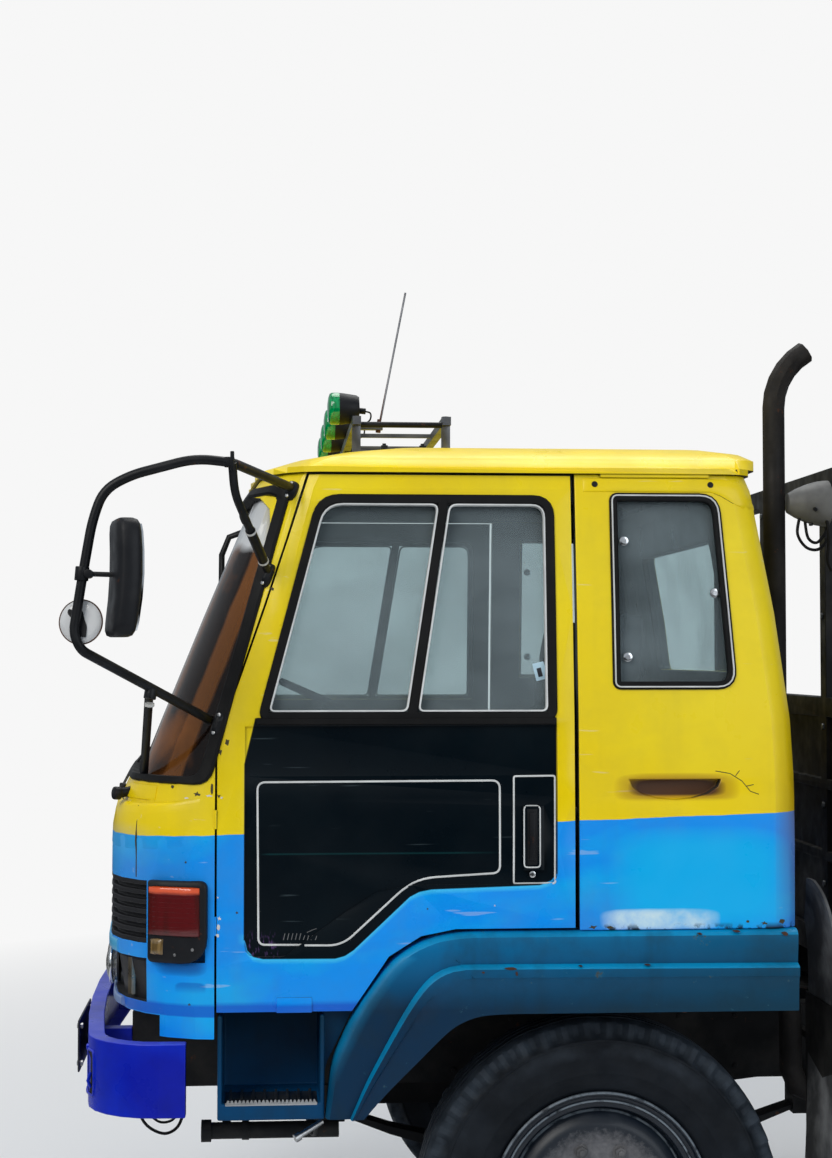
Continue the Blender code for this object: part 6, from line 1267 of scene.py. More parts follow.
def corner_lamps():
    """A deep red lens over a dark housing, with a small smoked lens at its lower front."""
    shell = Form()
    route = spaced(rounded(LAMP_CORNERS, LAMP_ROUNDING), 0.012)
    middle = Vector((-1.142, 1.274))
    rings = []
    for share, lift in ((1, -0.012), (1, 0), (0.985, 0.0032), (0.95, 0.0058), (0.88, 0.0068)):
        ring = []
        for x, z in route:
            spot = middle.lerp(Vector((x, z)), share)
            hit, normal = CORNER.side(min(max(spot[0], -1.2195), -1.0695), min(max(spot[1], 1.1695), 1.3765))
            place = Vector((spot[0], hit[1] - (spot[0] - hit[0]) * normal[0] / normal[1], spot[1]))
            ring.append(place + normal * lift)
        rings.append(ring)
    shell.loft(rings)
    left, right = both(shell, "corner_lamp_shell_left", HOUSING, "cab", "dark_plastic")
    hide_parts("corner_lamp_left")
    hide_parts("corner_lamp_right")
    big = Form()
    lens_pad(big, steps_between(-1.2165, -1.08, 12), steps_between(1.237, 1.368, 12), 0.0125)
    both(big, "corner_lamp_lens_left", CORNER_RED, "cab", "red_lens")
    small = Form()
    lens_pad(small, steps_between(-1.212, -1.176, 6), steps_between(1.186, 1.231, 6), 0.0105)
    both(small, "corner_lamp_side_lens_left", AMBER, "cab", "red_lens")
    ribs = Form()
    for index in range(9):
        z = 1.25 + 0.0128 * index
        route = [(x, z) for x in steps_between(-1.2, -1.09, 10)]
        places, normals = [], []
        for x, height in route:
            hit, normal = CORNER.side(x, height)
            places.append(hit + normal * 0.012)
            normals.append(normal)
        ribs.strip(places, normals, [(-0.0007, 0), (0.0007, 0), (0, 0.0011)])
    both(ribs, "corner_lamp_ribs_left", CORNER_RED, "cab", "red_lens")
    screws = Form()
    for x, z in ((-1.1, 1.205), (-1.145, 1.19)):
        hit, normal = CORNER.side(x, z)
        screws.rod(hit + normal * 0.004, hit + normal * 0.0085, 0.004, 16, bevel=0.0006)
    both(screws, "corner_lamp_screws_left", STEEL, "cab", "wheel_steel")


HEADLAMP_Z = 1.112


def headlamps():
    """Chrome bezels, domed lenses with flutes, and the trim at the outer end of their panel."""
    bezels, lenses, dishes = Form(), Form(), Form()
    for y in (0.5, 0.66):
        hit, _ = LAMP_PANEL.front(-y, HEADLAMP_Z)
        centre = Vector((hit[0], -y, HEADLAMP_Z))
        bezels.tube([centre + Vector((-0.016, a, b)) for a, b in circle(0.0525, 48)], 0.006, 12, True)
        rings = []
        for radius, forward in ((0.05, 0.0005), (0.05, 0.017), (0.046, 0.0225), (0.037, 0.0275),
                (0.025, 0.031), (0.012, 0.033), (0.001, 0.0335)):
            rings.append([(centre[0] - forward, centre[1] + a, centre[2] + b) for a, b in circle(radius, 48)])
        lenses.loft(rings)
        for step in range(7):
            z = centre[2] - 0.03 + 0.01 * step
            half = math.sqrt(0.041 ** 2 - (z - centre[2]) ** 2)
            face, rise = centre[0] - 0.0322, 0.7 * abs(z - centre[2]) ** 1.5
            dishes.tube([(face + 0.007 * share ** 2 + rise, centre[1] + half * share, z)
                for share in (-0.9, -0.5, 0, 0.5, 0.9)], 0.0011, 6)
    both(bezels, "headlamp_bezels_left", CHROME, "cab", "wheel_steel")
    both(lenses, "headlamp_lenses_left", CLEAR_LENS, "cab", "glass")
    both(dishes, "headlamp_flutes_left", CLEAR_LENS, "cab", "glass")
    trim = Form()
    hit, normal = LAMP_PANEL.around(231, HEADLAMP_Z)
    side = normal.cross(Vector((0, 0, 1))).normalized()
    corners = [hit + side * across + normal * lift
        for across, lift in ((-0.012, 0), (0.012, 0), (0.009, 0.01), (-0.009, 0.01))]
    trim.loft([[Vector((x, y, z)) for x, y, _ in corners] for z in (1.062, 1.068, 1.155, 1.161)])
    both(trim, "headlamp_side_trim_left", BRASS, "cab", "wheel_steel")


def level(normal):
    """A normal without its upward part."""
    return Vector((normal[0], normal[1], 0)).normalized()


def around_strip(form, z, section):
    """A strip round the cab's nose at one height."""
    found = [FRONT.around(131 + (229 - 131) * step / 48, z) for step in range(49)]
    found = [(hit, level(normal)) for hit, normal in found if hit is not None]
    form.strip([hit for hit, _ in found], [normal for _, normal in found], section)


def nose_strips():
    """Pale painted bands above and below the headlamps."""
    upper = Form()
    around_strip(upper, 1.191, [(-0.017, -0.004), (0.017, -0.004), (0.016, 0.003), (0.013, 0.0055),
        (-0.013, 0.0055), (-0.016, 0.003)])
    upper.make("grille_lower_strip", PALE_BLUE, "cab", 40, "cab_paint")
    lower = Form()
    around_strip(lower, 1.038, [(-0.012, -0.004), (0.012, -0.004), (0.012, 0.007), (0.008, 0.011),
        (-0.008, 0.011), (-0.012, 0.007)])
    lower.make("headlamp_lower_strip", PALE_VIOLET, "cab", 40, "cab_paint")


BELT_LOW_DEGREES = 117
BELT_HIGH_DEGREES = 243


def belt_top(degrees):
    """The ledge under the windscreen climbs a little at its ends."""
    away = abs(degrees - 180) / 63
    return 1.581 + 0.018 * max(0, (away - 0.8) / 0.2) ** 2


def nose_belt():
    """The rounded ledge ahead of the windscreen, the lids above it and their seams."""
    belt = Form()
    rings = []
    # Columns: height below the ledge's top and lift off the skin.
    section = ((0.002, -0.004), (0, 0.004), (0.003, 0.0105), (0.01, 0.0135), (0.03, 0.0125), (0.07, 0.007),
        (0.12, 0.001), (0.135, -0.004))
    count = 63
    for step in range(count + 1):
        degrees = BELT_LOW_DEGREES + (BELT_HIGH_DEGREES - BELT_LOW_DEGREES) * step / count
        fade = min(1, min(step, count - step) / 3)
        ring = []
        for below, lift in section:
            hit, normal = FRONT.around(degrees, belt_top(degrees) - below)
            flat = level(normal)
            ring.append(hit + flat * (lift * fade if lift > 0 else lift))
        rings.append(ring)
    belt.loft(rings)
    belt.make("nose_belt", CAB, "cab", 50, "cab_paint")
    lids = Form()
    for low, high in ((124, 146), (147.2, 179.4), (180.6, 212.8), (214, 236)):
        rings = []
        for step in range(17):
            degrees = low + (high - low) * step / 16
            soft = 0 if step in (0, 16) else 1
            ring = []
            for height, lift in ((1.588, -0.003), (1.591, 0.003), (1.597, 0.0048), (1.624, 0.0048),
                    (1.629, 0.003), (1.632, -0.003)):
                hit, normal = FRONT.around(degrees, height)
                flat = level(normal)
                ring.append(hit + flat * (lift if lift < 0 or soft else lift * 0.4))
            rings.append(ring)
        lids.loft(rings)
    lids.make("nose_lids", CAB, "cab", 50, "cab_paint")
    seams = Form()
    for degrees, low, high in ((233.5, 1.385, 1.575), (126.5, 1.385, 1.575), (180, 1.385, 1.572)):
        places, normals = [], []
        for step in range(9):
            z = low + (high - low) * step / 8
            hit, normal = FRONT.around(degrees, z)
            flat = level(normal)
            bulge = max(0, (z - 1.45) / 0.13) * 0.0125
            places.append(hit + flat * bulge)
            normals.append(flat)
        seams.strip(places, normals, band_section(0.0042, 0.0012, 0.001))
    seams.make("nose_seams", DARK_LINE, "cab", 40, "cab_paint")


CHIP_POINTS = 9


def chips():
    """Flakes of lost paint at the nose, the seams and the mirror feet."""
    dark, pale = Form(), Form()
    # Columns: station, height, radius and stretch upward.
    dark_places = ((-1.158, 1.628, 0.006, 1), (-1.092, 1.611, 0.01, 0.7), (-1.052, 1.625, 0.005, 4.2),
        (-1.034, 1.606, 0.007, 0.8), (-0.845, 2.405, 0.01, 1.2), (-0.872, 2.352, 0.006, 2),
        (-1.012, 1.748, 0.008, 1.4), (-1.03, 1.722, 0.006, 1.6), (-0.896, 2.158, 0.007, 1.4),
        (-0.985, 1.3, 0.004, 1), (-1.12, 1.432, 0.004, 1), (0.48, 1.262, 0.012, 0.7), (0.43, 1.258, 0.009,
        0.6), (0.385, 1.263, 0.006, 0.8), (-0.035, 1.252, 0.014, 0.4), (0.01, 1.251, 0.012, 0.4),
        (-1.11, 1.056, 0.004, 1), (-0.48, 1.305, 0.003, 1))
    pale_places = ((-1.033, 1.262, 0.006, 1.8), (-1.031, 1.285, 0.005, 1.2), (-1.036, 1.24, 0.007, 1),
        (-1.026, 1.602, 0.005, 0.8), (-1.12, 1.6, 0.008, 0.35), (-1.06, 1.607, 0.01, 0.35),
        (-1.035, 1.34, 0.003, 1), (-0.3, 1.312, 0.003, 1))
    for form, places in ((dark, dark_places), (pale, pale_places)):
        for order, (x, z, radius, tall) in enumerate(places):
            ring, lifted = [], []
            for step in range(CHIP_POINTS):
                angle = math.tau * step / CHIP_POINTS
                reach = radius * (0.72 + 0.28 * math.sin(3.1 * step + 1.7 * order))
                hit, normal = SIDE.side(x + reach * math.cos(angle), z + reach * tall * math.sin(angle))
                if hit is not None:
                    ring.append(hit - normal * 0.001)
                    lifted.append(hit + normal * 0.0006)
            if len(ring) > 3:
                form.loft([ring, lifted])
    dark.make("paint_chips_dark", DARK_LINE, "cab", 40, "cab_paint")
    pale.make("paint_chips_pale", TAPE, "cab", 40, "cab_paint")


corner_lamps()
headlamps()
nose_strips()
nose_belt()
chips()


# Mirrors and roof

MIRROR_Y = -1.34
# Columns: station, distance from the middle and height along the bent tube of the left mirror.
ARM_ROUTE = ((-0.83, -0.95, 2.43), (-0.996, -1.34, 2.464), (-1.089, -1.34, 2.474), (-1.251, -1.34, 2.43),
    (-1.317, -1.34, 2.392), (-1.344, -1.34, 2.316), (-1.366, -1.34, 2.186), (-1.389, -1.34, 2.035),
    (-1.371, -1.34, 1.992), (-1.05, -0.98, 1.8))
ARM_RADII = (0, 0.03, 0.06, 0.07, 0.06, 0.06, 0.06, 0.03, 0.03, 0)
HEAD_LEVELS = ((2.024, 0.55), (2.028, 0.8), (2.04, 0.95), (2.06, 1), (2.12, 1.02), (2.18, 1.03),
    (2.24, 1.02), (2.285, 1), (2.305, 0.94), (2.316, 0.8), (2.321, 0.55))


def soft_box(half_x, half_y, power=4, count=28):
    """A rounded oblong outline in two dimensions."""
    points = []
    for step in range(count):
        angle = math.tau * step / count
        c, s = math.cos(angle), math.sin(angle)
        points.append((half_x * math.copysign(abs(c) ** (2 / power), c),
            half_y * math.copysign(abs(s) ** (2 / power), s)))
    return points


MIRROR_TURN = math.radians(13)


def turned_about(points, centre_x, centre_y):
    """Turns the mirror's glass toward the driver, about an upright line."""
    c, s = math.cos(MIRROR_TURN), math.sin(MIRROR_TURN)
    return [(centre_x + (x - centre_x) * c - (y - centre_y) * s,
        centre_y + (x - centre_x) * s + (y - centre_y) * c, z) for x, y, z in points]


def lead(name, route, thick, body, steps=6):
    """A free length of thin cable that leaves one piece and goes back into another."""
    points = smooth_route(route, steps)
    form = Form()
    form.tube(points, thick / 2, 8)
    item = form.make(name, SEAL, body, 40, "rubber")
    line = [Vector((FRONT_AXLE_X + point[0], point[1], point[2])) for point in points]


def mirror_head(x_high, x_low, y):
    """A tall housing that leans and bows a little; x is its middle at the top and bottom."""
    head = Form()
    rings = []
    for z, scale in HEAD_LEVELS:
        share = (z - HEAD_LEVELS[0][0]) / (HEAD_LEVELS[-1][0] - HEAD_LEVELS[0][0])
        bow = 0.01 * math.sin(math.pi * share)
        middle = x_low + (x_high - x_low) * share + bow
        rings.append(turned_about([(middle + px, y + py, z)
            for px, py in soft_box(0.033 * scale, 0.092 * scale)], x_low, y))
    head.loft(rings)
    face = Form()
    rings = []
    for z, scale in HEAD_LEVELS[2:-2]:
        share = (z - HEAD_LEVELS[0][0]) / (HEAD_LEVELS[-1][0] - HEAD_LEVELS[0][0])
        middle = x_low + (x_high - x_low) * share + 0.01 * math.sin(math.pi * share) + 0.035 * scale
        half = 0.072 * scale
        rings.append(turned_about([(middle - 0.006, y - half, z), (middle - 0.006, y + half, z),
            (middle - 0.001, y + half * 0.97, z), (middle - 0.001, y - half * 0.97, z)], x_low, y))
    face.loft(rings)
    return head, face


# Shares along the brace at which its sleeve begins and ends.
BRACE_BANDS = (0.44, 0.8)


def mirror_left():
    """The long bent arm with its brace and lower strut, the tall mirror on it and the tape round it."""
    arm = Form()
    arm.tube(rounded(ARM_ROUTE, ARM_RADII, False, 6), 0.0125, 16)
    junction, brace_foot = Vector(ARM_ROUTE[1]), Vector((-0.9, -0.99, 2.19))
    knee = junction.lerp(brace_foot, 0.16) + Vector((-0.01, -0.012, -0.03))
    arm.tube(rounded([tuple(junction), tuple(knee), tuple(brace_foot)], (0, 0.04, 0), False), 0.011, 14)
    middle = (Vector(ARM_ROUTE[-2]) + Vector(ARM_ROUTE[-1])) / 2
    arm.tube([middle, Vector((-1.25, -0.8, 1.6))], 0.0115, 14)
    for share in BRACE_BANDS:
        spot = knee.lerp(brace_foot, share)
        along = (brace_foot - knee).normalized()
        arm.rod(spot - along * 0.006, spot + along * 0.006, 0.0135, 16)
    arm.tube([knee.lerp(brace_foot, share) for share in BRACE_BANDS], 0.0135, 14)
    # Clamp plates at the junction, the mirror's stem and the lower strut, each with its bolt.
    arm.block((-1.001, -1.352, 2.444), (-0.991, -1.328, 2.492), 0.002)
    arm.block((-1.016, -1.35, 2.452), (-0.99, -1.33, 2.478), 0.003)
    arm.rod((-1.3705, -1.34, 2.165), (-1.3675, -1.34, 2.2), 0.0175, 16, bevel=0.002)
    arm.rod((-1.352, -1.36, 2.182), (-1.352, -1.322, 2.182), 0.0115, 16, bevel=0.002)
    arm.rod((-1.352, -1.34, 2.182), (-1.282, -1.34, 2.18), 0.0065, 12)
    arm.rod(middle - Vector((0, 0, 0.03)), middle + Vector((0.004, 0.004, -0.004)), 0.0165, 14, bevel=0.002)
    foot = Vector((-1.258, -0.812, 1.612))
    arm.rod(foot + Vector((-0.055, -0.03, -0.012)), foot + Vector((0.03, 0.01, 0.004)), 0.0135, 16,
        bevel=0.003)
    arm.rod(foot + Vector((-0.068, -0.037, -0.01)), foot + Vector((-0.05, -0.027, -0.012)), 0.018, 16,
        bevel=0.004)
    arm.block(foot + Vector((-0.02, -0.015, -0.035)), foot + Vector((0.035, 0.015, 0.002)), 0.004)
    item = arm.make("mirror_arm_left", BLACK, "cab", 40, "black_paint")
    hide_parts("mirror_left")
    head, face = mirror_head(-1.264, -1.276, MIRROR_Y)
    head.make("mirror_head_left", HOUSING, "cab", 60, "dark_plastic")
    face.make("mirror_glass_left", MIRROR, "cab", 30, "glass")
    bands = Form()
    for share in BRACE_BANDS:
        spot = knee.lerp(brace_foot, share)
        along = (brace_foot - knee).normalized()
        bands.rod(spot - along * 0.0035, spot + along * 0.0035, 0.0146, 18)
    around = middle - Vector((0, 0, 0.045))
    bands.rod(around - Vector((0.0002, -0.001, 0.0035)), around + Vector((0.0002, -0.001, 0.0035)), 0.0128,
        16)
    bands.make("mirror_tape_bands", TAPE, "cab", 40, "cab_paint")


def round_mirror():
    """A small dished mirror held on the arm by a bracket across its face."""
    centre = Vector((-1.372, -1.322, 2.062))
    out = Vector((-0.22, -1, 0.06)).normalized()
    right = out.cross(Vector((0, 0, 1))).normalized()
    up = right.cross(out)

    def ring(radius, lift):
        return [centre + out * lift + right * a + up * b for a, b in circle(radius, 48)]

    shell = Form()
    shell.loft([ring(0.012, -0.014), ring(0.04, -0.011), ring(0.0555, -0.003), ring(0.0575, 0.001),
        ring(0.057, 0.0035), ring(0.0545, 0.003)])
    shell.make("round_mirror_rim", RUSTY, "cab", 50, "black_paint")
    face = Form()
    face.loft([ring(0.055, 0.001), ring(0.054, 0.0034), ring(0.04, 0.0056), ring(0.02, 0.0068),
        ring(0.002, 0.007)])
    # The face's white is a painted reflection of the sky.
    face.make("round_mirror_face", MIRROR_PAINTED_SKY, "cab", 60, "glass")
    bracket = Form()
    outline = [(-0.016, -0.04), (0.004, -0.036), (0.014, -0.016), (0.018, 0.004), (0.034, 0.022),
        (0.03, 0.034), (0.01, 0.024), (-0.006, 0.03), (-0.01, 0.01), (-0.018, -0.01)]
    outline = rounded(outline, 0.008)
    bracket.loft([[centre + out * lift + right * a + up * b for a, b in outline] for lift in (0.004, 0.0095)])
    bracket.rod(centre + out * 0.008 + right * 0.004 - up * 0.006,
        centre + out * 0.014 + right * 0.004 - up * 0.006, 0.007, 6, bevel=0.001)
    bracket.make("round_mirror_bracket", BLACK, "cab", 40, "black_paint")


def mirror_brackets():
    """Bolted black feet on the windscreen pillar."""
    feet, bolts = Form(), Form()
    # Columns: station and height of the foot's middle, half length along the pillar and half width.
    for x, z, half, wide in ((-0.905, 2.192, 0.034, 0.013), (-0.842, 2.425, 0.026, 0.019),
            (-1.036, 1.795, 0.036, 0.016)):
        hit, normal = SIDE.side(x, z)
        pillar = Vector((0.3, 0, 0.95)).normalized()
        pillar = (pillar - normal * pillar.dot(normal)).normalized()
        across = pillar.cross(normal)
        rings = []
        for lift, shrink in ((-0.004, 1), (0.006, 1), (0.0095, 0.82), (0.018, 0.45), (0.0185, 0.3)):
            rings.append([hit + normal * lift + pillar * (b * shrink) + across * (a * shrink) for a,
                b in soft_box(wide, half, 3, 20)])
        feet.loft(rings)
        for share in (-0.68, 0.68):
            spot = hit + pillar * (half * share)
            bolts.rod(spot + normal * 0.008, spot + normal * 0.0145, 0.0058, 6, bevel=0.0008)
    both(feet, "mirror_feet_left", BLACK, "cab", "black_paint")
    both(bolts, "mirror_foot_bolts_left", STEEL, "cab", "wheel_steel")


def right_mirror():
    """The mirror on its short arm, with its glass."""
    dressed("mirror_right", BLACK, 0, 40, "black_paint")
    glass_face = Form()
    glass_face.block((-1.0005, 1.262, 2.045), (-0.999, 1.418, 2.295), 0.0005)
    glass_face.make("mirror_glass_right", MIRROR, "cab", 30, "glass")


def wipers():
    """Three-piece wipers parked along the foot of the windscreen."""
    arms, blades = Form(), Form()
    screen = Skin("cab_front", "windscreen")
    for low, high in ((-0.62, -0.1), (0.02, 0.54)):
        pivot, _ = FRONT.front(low + 0.02, 1.6)
        arms.rod(pivot - Vector((0.002, 0, 0)), pivot - Vector((0.02, 0, 0)), 0.014, 20, bevel=0.003)
        tip, _ = screen.front(high, 1.69)
        knee = pivot.lerp(tip, 0.5) - Vector((0.022, 0, 0))
        arms.tube(rounded([tuple(pivot - Vector((0.014, 0, 0))), tuple(knee),
            tuple(tip - Vector((0.012, 0, 0)))], (0, 0.05, 0), False), 0.0042, 8)
        route = []
        for step in range(9):
            y = high - 0.34 + 0.42 * step / 8
            hit, _ = screen.front(y, 1.676 + 0.01 * step / 8)
            route.append(hit - Vector((0.01, 0, 0)))
        blades.strip(route, [Vector((-1, 0, 0))] * 9, [(-0.004, -0.006), (0.004, -0.006), (0.004, 0.004),
            (-0.004, 0.004)])
    arms.make("wiper_arms", BLACK, "cab", 40, "black_paint")
    blades.make("wiper_blades", SEAL, "cab", 40, "rubber")


MARKER_YS = (-0.58, -0.19, 0.19, 0.58)
MARKER_Z = 2.7


def marker_lamps():
    """Green lenses and dark shells on the four roof lamps, with their leads."""
    lenses, shells = Form(), Form()
    for index, y in enumerate(MARKER_YS):
        rings = []
        for radius, x in ((0.044, -0.698), (0.047, -0.7), (0.047, -0.722), (0.044, -0.728), (0.033, -0.732),
                (0.015, -0.7345), (0.001, -0.7348)):
            rings.append([(x, y + a, MARKER_Z + b) for a, b in circle(radius, 40)])
        lenses.loft(rings)
        rings = []
        for radius, x in ((0.0462, -0.701), (0.0465, -0.695), (0.044, -0.676), (0.04, -0.65), (0.035, -0.642),
                (0.01, -0.64)):
            rings.append([(x, y + a, MARKER_Z + b) for a, b in circle(radius, 40)])
        shells.loft(rings)
        shells.rod((-0.642, y, 2.695), (-0.622, y, 2.693), 0.009, 12, bevel=0.002)
        lead("marker_lead_%d" % (index + 1), [(-0.624, y, 2.693), (-0.608, y + 0.004, 2.688),
            (-0.61, y + 0.008, 2.668), (-0.634, y + 0.01, 2.652)], 0.005, "cab", 5)
    lenses.make("marker_lenses", GREEN, "cab", 50, "red_lens")
    shells.make("marker_shells", HOUSING, "cab", 40, "dark_plastic")
    lead("marker_lead_long", [(-0.64, -0.66, 2.65), (-0.646, -0.3, 2.647), (-0.64, 0, 2.651),
        (-0.646, 0.3, 2.647), (-0.64, 0.66, 2.65)], 0.007, "cab")


def aerial():
    """Thin whip on a ball foot."""
    whip = Form()
    whip.tube([(-0.58, -0.5, 2.65), (-0.56, -0.5, 2.755), (-0.5, -0.5, 3.058)], [0.0034, 0.0026, 0.0018], 10)
    whip.rod((-0.5815, -0.5, 2.64), (-0.5785, -0.5, 2.672), 0.0075, 14, bevel=0.0015)
    whip.rod((-0.58, -0.5, 2.668), (-0.578, -0.5, 2.68), 0.0055, 14, bevel=0.0015)
    whip.make("aerial_whip", WHIP, "cab", 40, "black_paint")


def rack_details():
    """Feet, post caps, cross tubes and front legs of the roof rack."""
    feet = Form()
    for y in (-0.7, 0.7):
        for x in (-0.575, -0.465):
            feet.block((x - 0.01, y - 0.016, 2.545), (x + 0.01, y + 0.016, 2.58), 0.003)
            feet.rod((x, y, 2.578), (x, y, 2.586), 0.006, 6, bevel=0.001)
    for x in (-0.655, -0.398):
        for y in (-0.7, 0.7):
            feet.rod((x, y, 2.655), (x, y, 2.6645), 0.0125, 16, bevel=0.002)
    for y in (-0.7, 0, 0.7):
        feet.tube([(-0.662, y, 2.64), (-0.391, y, 2.64)], 0.0085, 12)
    for y in (-0.7, 0.7):
        feet.tube([(-0.655, y, 2.64), (-0.655, y * 0.986, 2.56)], 0.0125, 12)
    feet.make("rack_feet", BLACK, "cab", 40, "black_paint")


mirror_left()
round_mirror()
mirror_brackets()
right_mirror()
wipers()
marker_lamps()
aerial()
rack_details()


# Bumper, steps and the space behind the cab

BUMPER_SKIN = Skin("bumper")
BASE_BODY = NODES["bumper"]["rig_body"]
STEP_BODY = NODES["step_left"]["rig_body"]


SLOT_DEGREES = 228
SLOT_SPAN = 2.4
SLOT_LOW_Z = 0.8
SLOT_HIGH_Z = 0.918


def bumper_trim():
    """Upright slot at each corner, drawn as a dark sheet of painted shade inside a raised lip, a blank plate
    at the front and loose wires below.
    """
    slot_shade_sheets, lips = Form(), Form()
    outline = rounded([(-1, 0), (1, 0), (1, 1), (-1, 1)], 0.35)
    tall = SLOT_HIGH_Z - SLOT_LOW_Z
    found = [BUMPER_SKIN.around(SLOT_DEGREES + across * SLOT_SPAN / 2, SLOT_LOW_Z + tall * up) for across,
        up in outline]
    route = [hit for hit, _ in found]
    normals = [level(normal) for _, normal in found]
    # Painted shade: a dark sheet stands for the slot's shaded opening.
    slot_shade_sheets.loft([[hit + normal * lift for hit, normal in zip(route, normals)] for lift in (-0.003, 0.0016)])
    lips.strip(route, normals, band_section(0.006, 0.0042, 0.002), True)
    hit, normal = BUMPER_SKIN.around(SLOT_DEGREES + 0.2, 0.838)
    flat = level(normal)
    lips.tube([hit + flat * 0.002 + Vector((0, 0, -0.018)), hit + flat * 0.01,
        hit + flat * 0.002 + Vector((0, 0, 0.022))], 0.0045, 8)
    both(slot_shade_sheets, "bumper_slot_left", SOOT, BASE_BODY, "black_paint")
    both(lips, "bumper_slot_lip_left", BUMPER, BASE_BODY, "ultramarine")
    plate, bolts = Form(), Form()
    plate.block((-1.443, -0.6, 0.792), (-1.4375, -0.24, 0.938), 0.002)
    for z in (0.812, 0.918):
        for y in (-0.57, -0.27):
            bolts.rod((-1.43, y, z), (-1.4475, y, z), 0.0075, 6, bevel=0.001)
    plate.make("front_plate_blank", PLATE, BASE_BODY, 35, "black_paint")
    bolts.make("front_plate_bolts", STEEL, BASE_BODY, 35, "wheel_steel")
    bolts = Form()
    for y in (-0.86, -0.43, 0.43, 0.86):
        for z in (0.8, 0.915):
            hit, normal = BUMPER_SKIN.front(y, z)
            bolts.rod(hit + Vector((0.002, 0, 0)), hit - Vector((0.005, 0, 0)), 0.009, 6, bevel=0.0015)
    bolts.make("bumper_bolts", BUMPER, BASE_BODY, 35, "ultramarine")
    lead("bumper_wire_outer", [(-1.262, -0.72, 0.74), (-1.256, -0.72, 0.695), (-1.232, -0.72, 0.662),
        (-1.19, -0.72, 0.644), (-1.155, -0.72, 0.66), (-1.138, -0.72, 0.7), (-1.134, -0.72, 0.745)], 0.0085,
        BASE_BODY, 7)
    lead("bumper_wire_inner", [(-1.25, -0.7, 0.74), (-1.236, -0.7, 0.7), (-1.205, -0.7, 0.672),
        (-1.17, -0.7, 0.676), (-1.15, -0.7, 0.705), (-1.146, -0.7, 0.745)], 0.0072, BASE_BODY, 7)


def step_treads():
    """Toothed bright edge and grating on the entry steps."""
    tread, teeth = Form(), Form()
    tread.block((-1.016, -1.043, 0.7835), (-0.77, -0.9, 0.7955), 0.001)
    for index in range(8):
        x = -1.002 + 0.0305 * index
        tread.block((x - 0.0035, -1.041, 0.7945), (x + 0.0035, -0.905, 0.8035), 0.001)
    both(tread, "step_tread_left", STEEL_DARK, STEP_BODY, "wheel_steel")
    count = 23
    for index in range(count):
        x = -1.012 + 0.238 * (index + 0.5) / count
        top = [(x - 0.0046, 0.7975), (x - 0.0016, 0.8055), (x + 0.0016, 0.8055), (x + 0.0046, 0.7975)]
        teeth.loft([[(a, y, b) for a, b in top] for y in (-1.0445, -1.0405)])
    teeth.block((-1.014, -1.045, 0.7905), (-0.772, -1.0415, 0.7985), 0.0008)
    both(teeth, "step_teeth_left", STEEL, STEP_BODY, "wheel_steel")


def flap_boards():
    """Dusty rubber sheets hung behind the cab's rear corners."""
    sheet = Form()
    outline = smooth_route([(0.563, 0, 1.37), (0.586, 0, 1.325), (0.612, 0, 1.235), (0.628, 0, 1.12),
        (0.634, 0, 0.96), (0.63, 0, 0.76), (0.622, 0, 0.56), (0.612, 0, 0.45)], 5)
    rings = []
    for index, spot in enumerate(outline):
        share = index / (len(outline) - 1)
        near = -1.05 - 0.01 * math.sin(9 * share)
        far = near + 0.06 + 0.22 * min(1, share * 3.5)
        bow = 0.007 * math.sin(4.5 * share + 0.6)
        rings.append([(spot[0] + bow, near, spot[2]), (spot[0] + bow + 0.002, (near + far) / 2, spot[2]),
            (spot[0] + bow, far, spot[2]), (spot[0] + bow + 0.008, far, spot[2]), (spot[0] + bow + 0.01,
            (near + far) / 2, spot[2]), (spot[0] + bow + 0.008, near, spot[2])])
    sheet.loft(rings)
    both(sheet, "side_flap_left", DUSTY_FLAP, BASE_BODY, "rubber")


WORK_LAMP_Y = -0.46
WORK_LAMP_Z = 2.44


def work_lamp():
    """Grey cone shell, rim, bolts and loose leads on the lamp at the headboard."""
    shell, bolts = Form(), Form()
    profile = ((0.664, 0.02), (0.6655, 0.03), (0.69, 0.044), (0.72, 0.057), (0.75, 0.066), (0.775, 0.07),
        (0.788, 0.0705), (0.79, 0.067))
    shell.loft([[(x, WORK_LAMP_Y + a, WORK_LAMP_Z + b) for a, b in circle(radius, 32)] for x,
        radius in profile])
    shell.make("work_lamp_shell", GREY_PAINT, BASE_BODY, 40, "black_paint")
    for turn in (200, 260, 320):
        angle = math.radians(turn)
        spot = Vector((0.735, WORK_LAMP_Y + 0.062 * math.cos(angle), WORK_LAMP_Z + 0.062 * math.sin(angle)))
        out = Vector((0, math.cos(angle), math.sin(angle)))
        bolts.rod(spot - out * 0.004, spot + out * 0.007, 0.0065, 6, bevel=0.001)
    bolts.make("work_lamp_bolts", BLACK, BASE_BODY, 40, "black_paint")
    leads = {"a": [(0.7, -0.47, 2.395), (0.69, -0.485, 2.345), (0.715, -0.49, 2.305), (0.755, -0.485, 2.3),
        (0.79, -0.47, 2.335)], "b": [(0.72, -0.46, 2.385), (0.725, -0.475, 2.335), (0.75, -0.48, 2.32),
        (0.778, -0.475, 2.35), (0.795, -0.455, 2.39)], "c": [(0.775, -0.5, 2.395), (0.782, -0.5, 2.33),
        (0.78, -0.49, 2.27), (0.795, -0.48, 2.235)]}
    for name, route in leads.items():
        lead("work_lamp_lead_" + name, route, 0.0096, BASE_BODY)


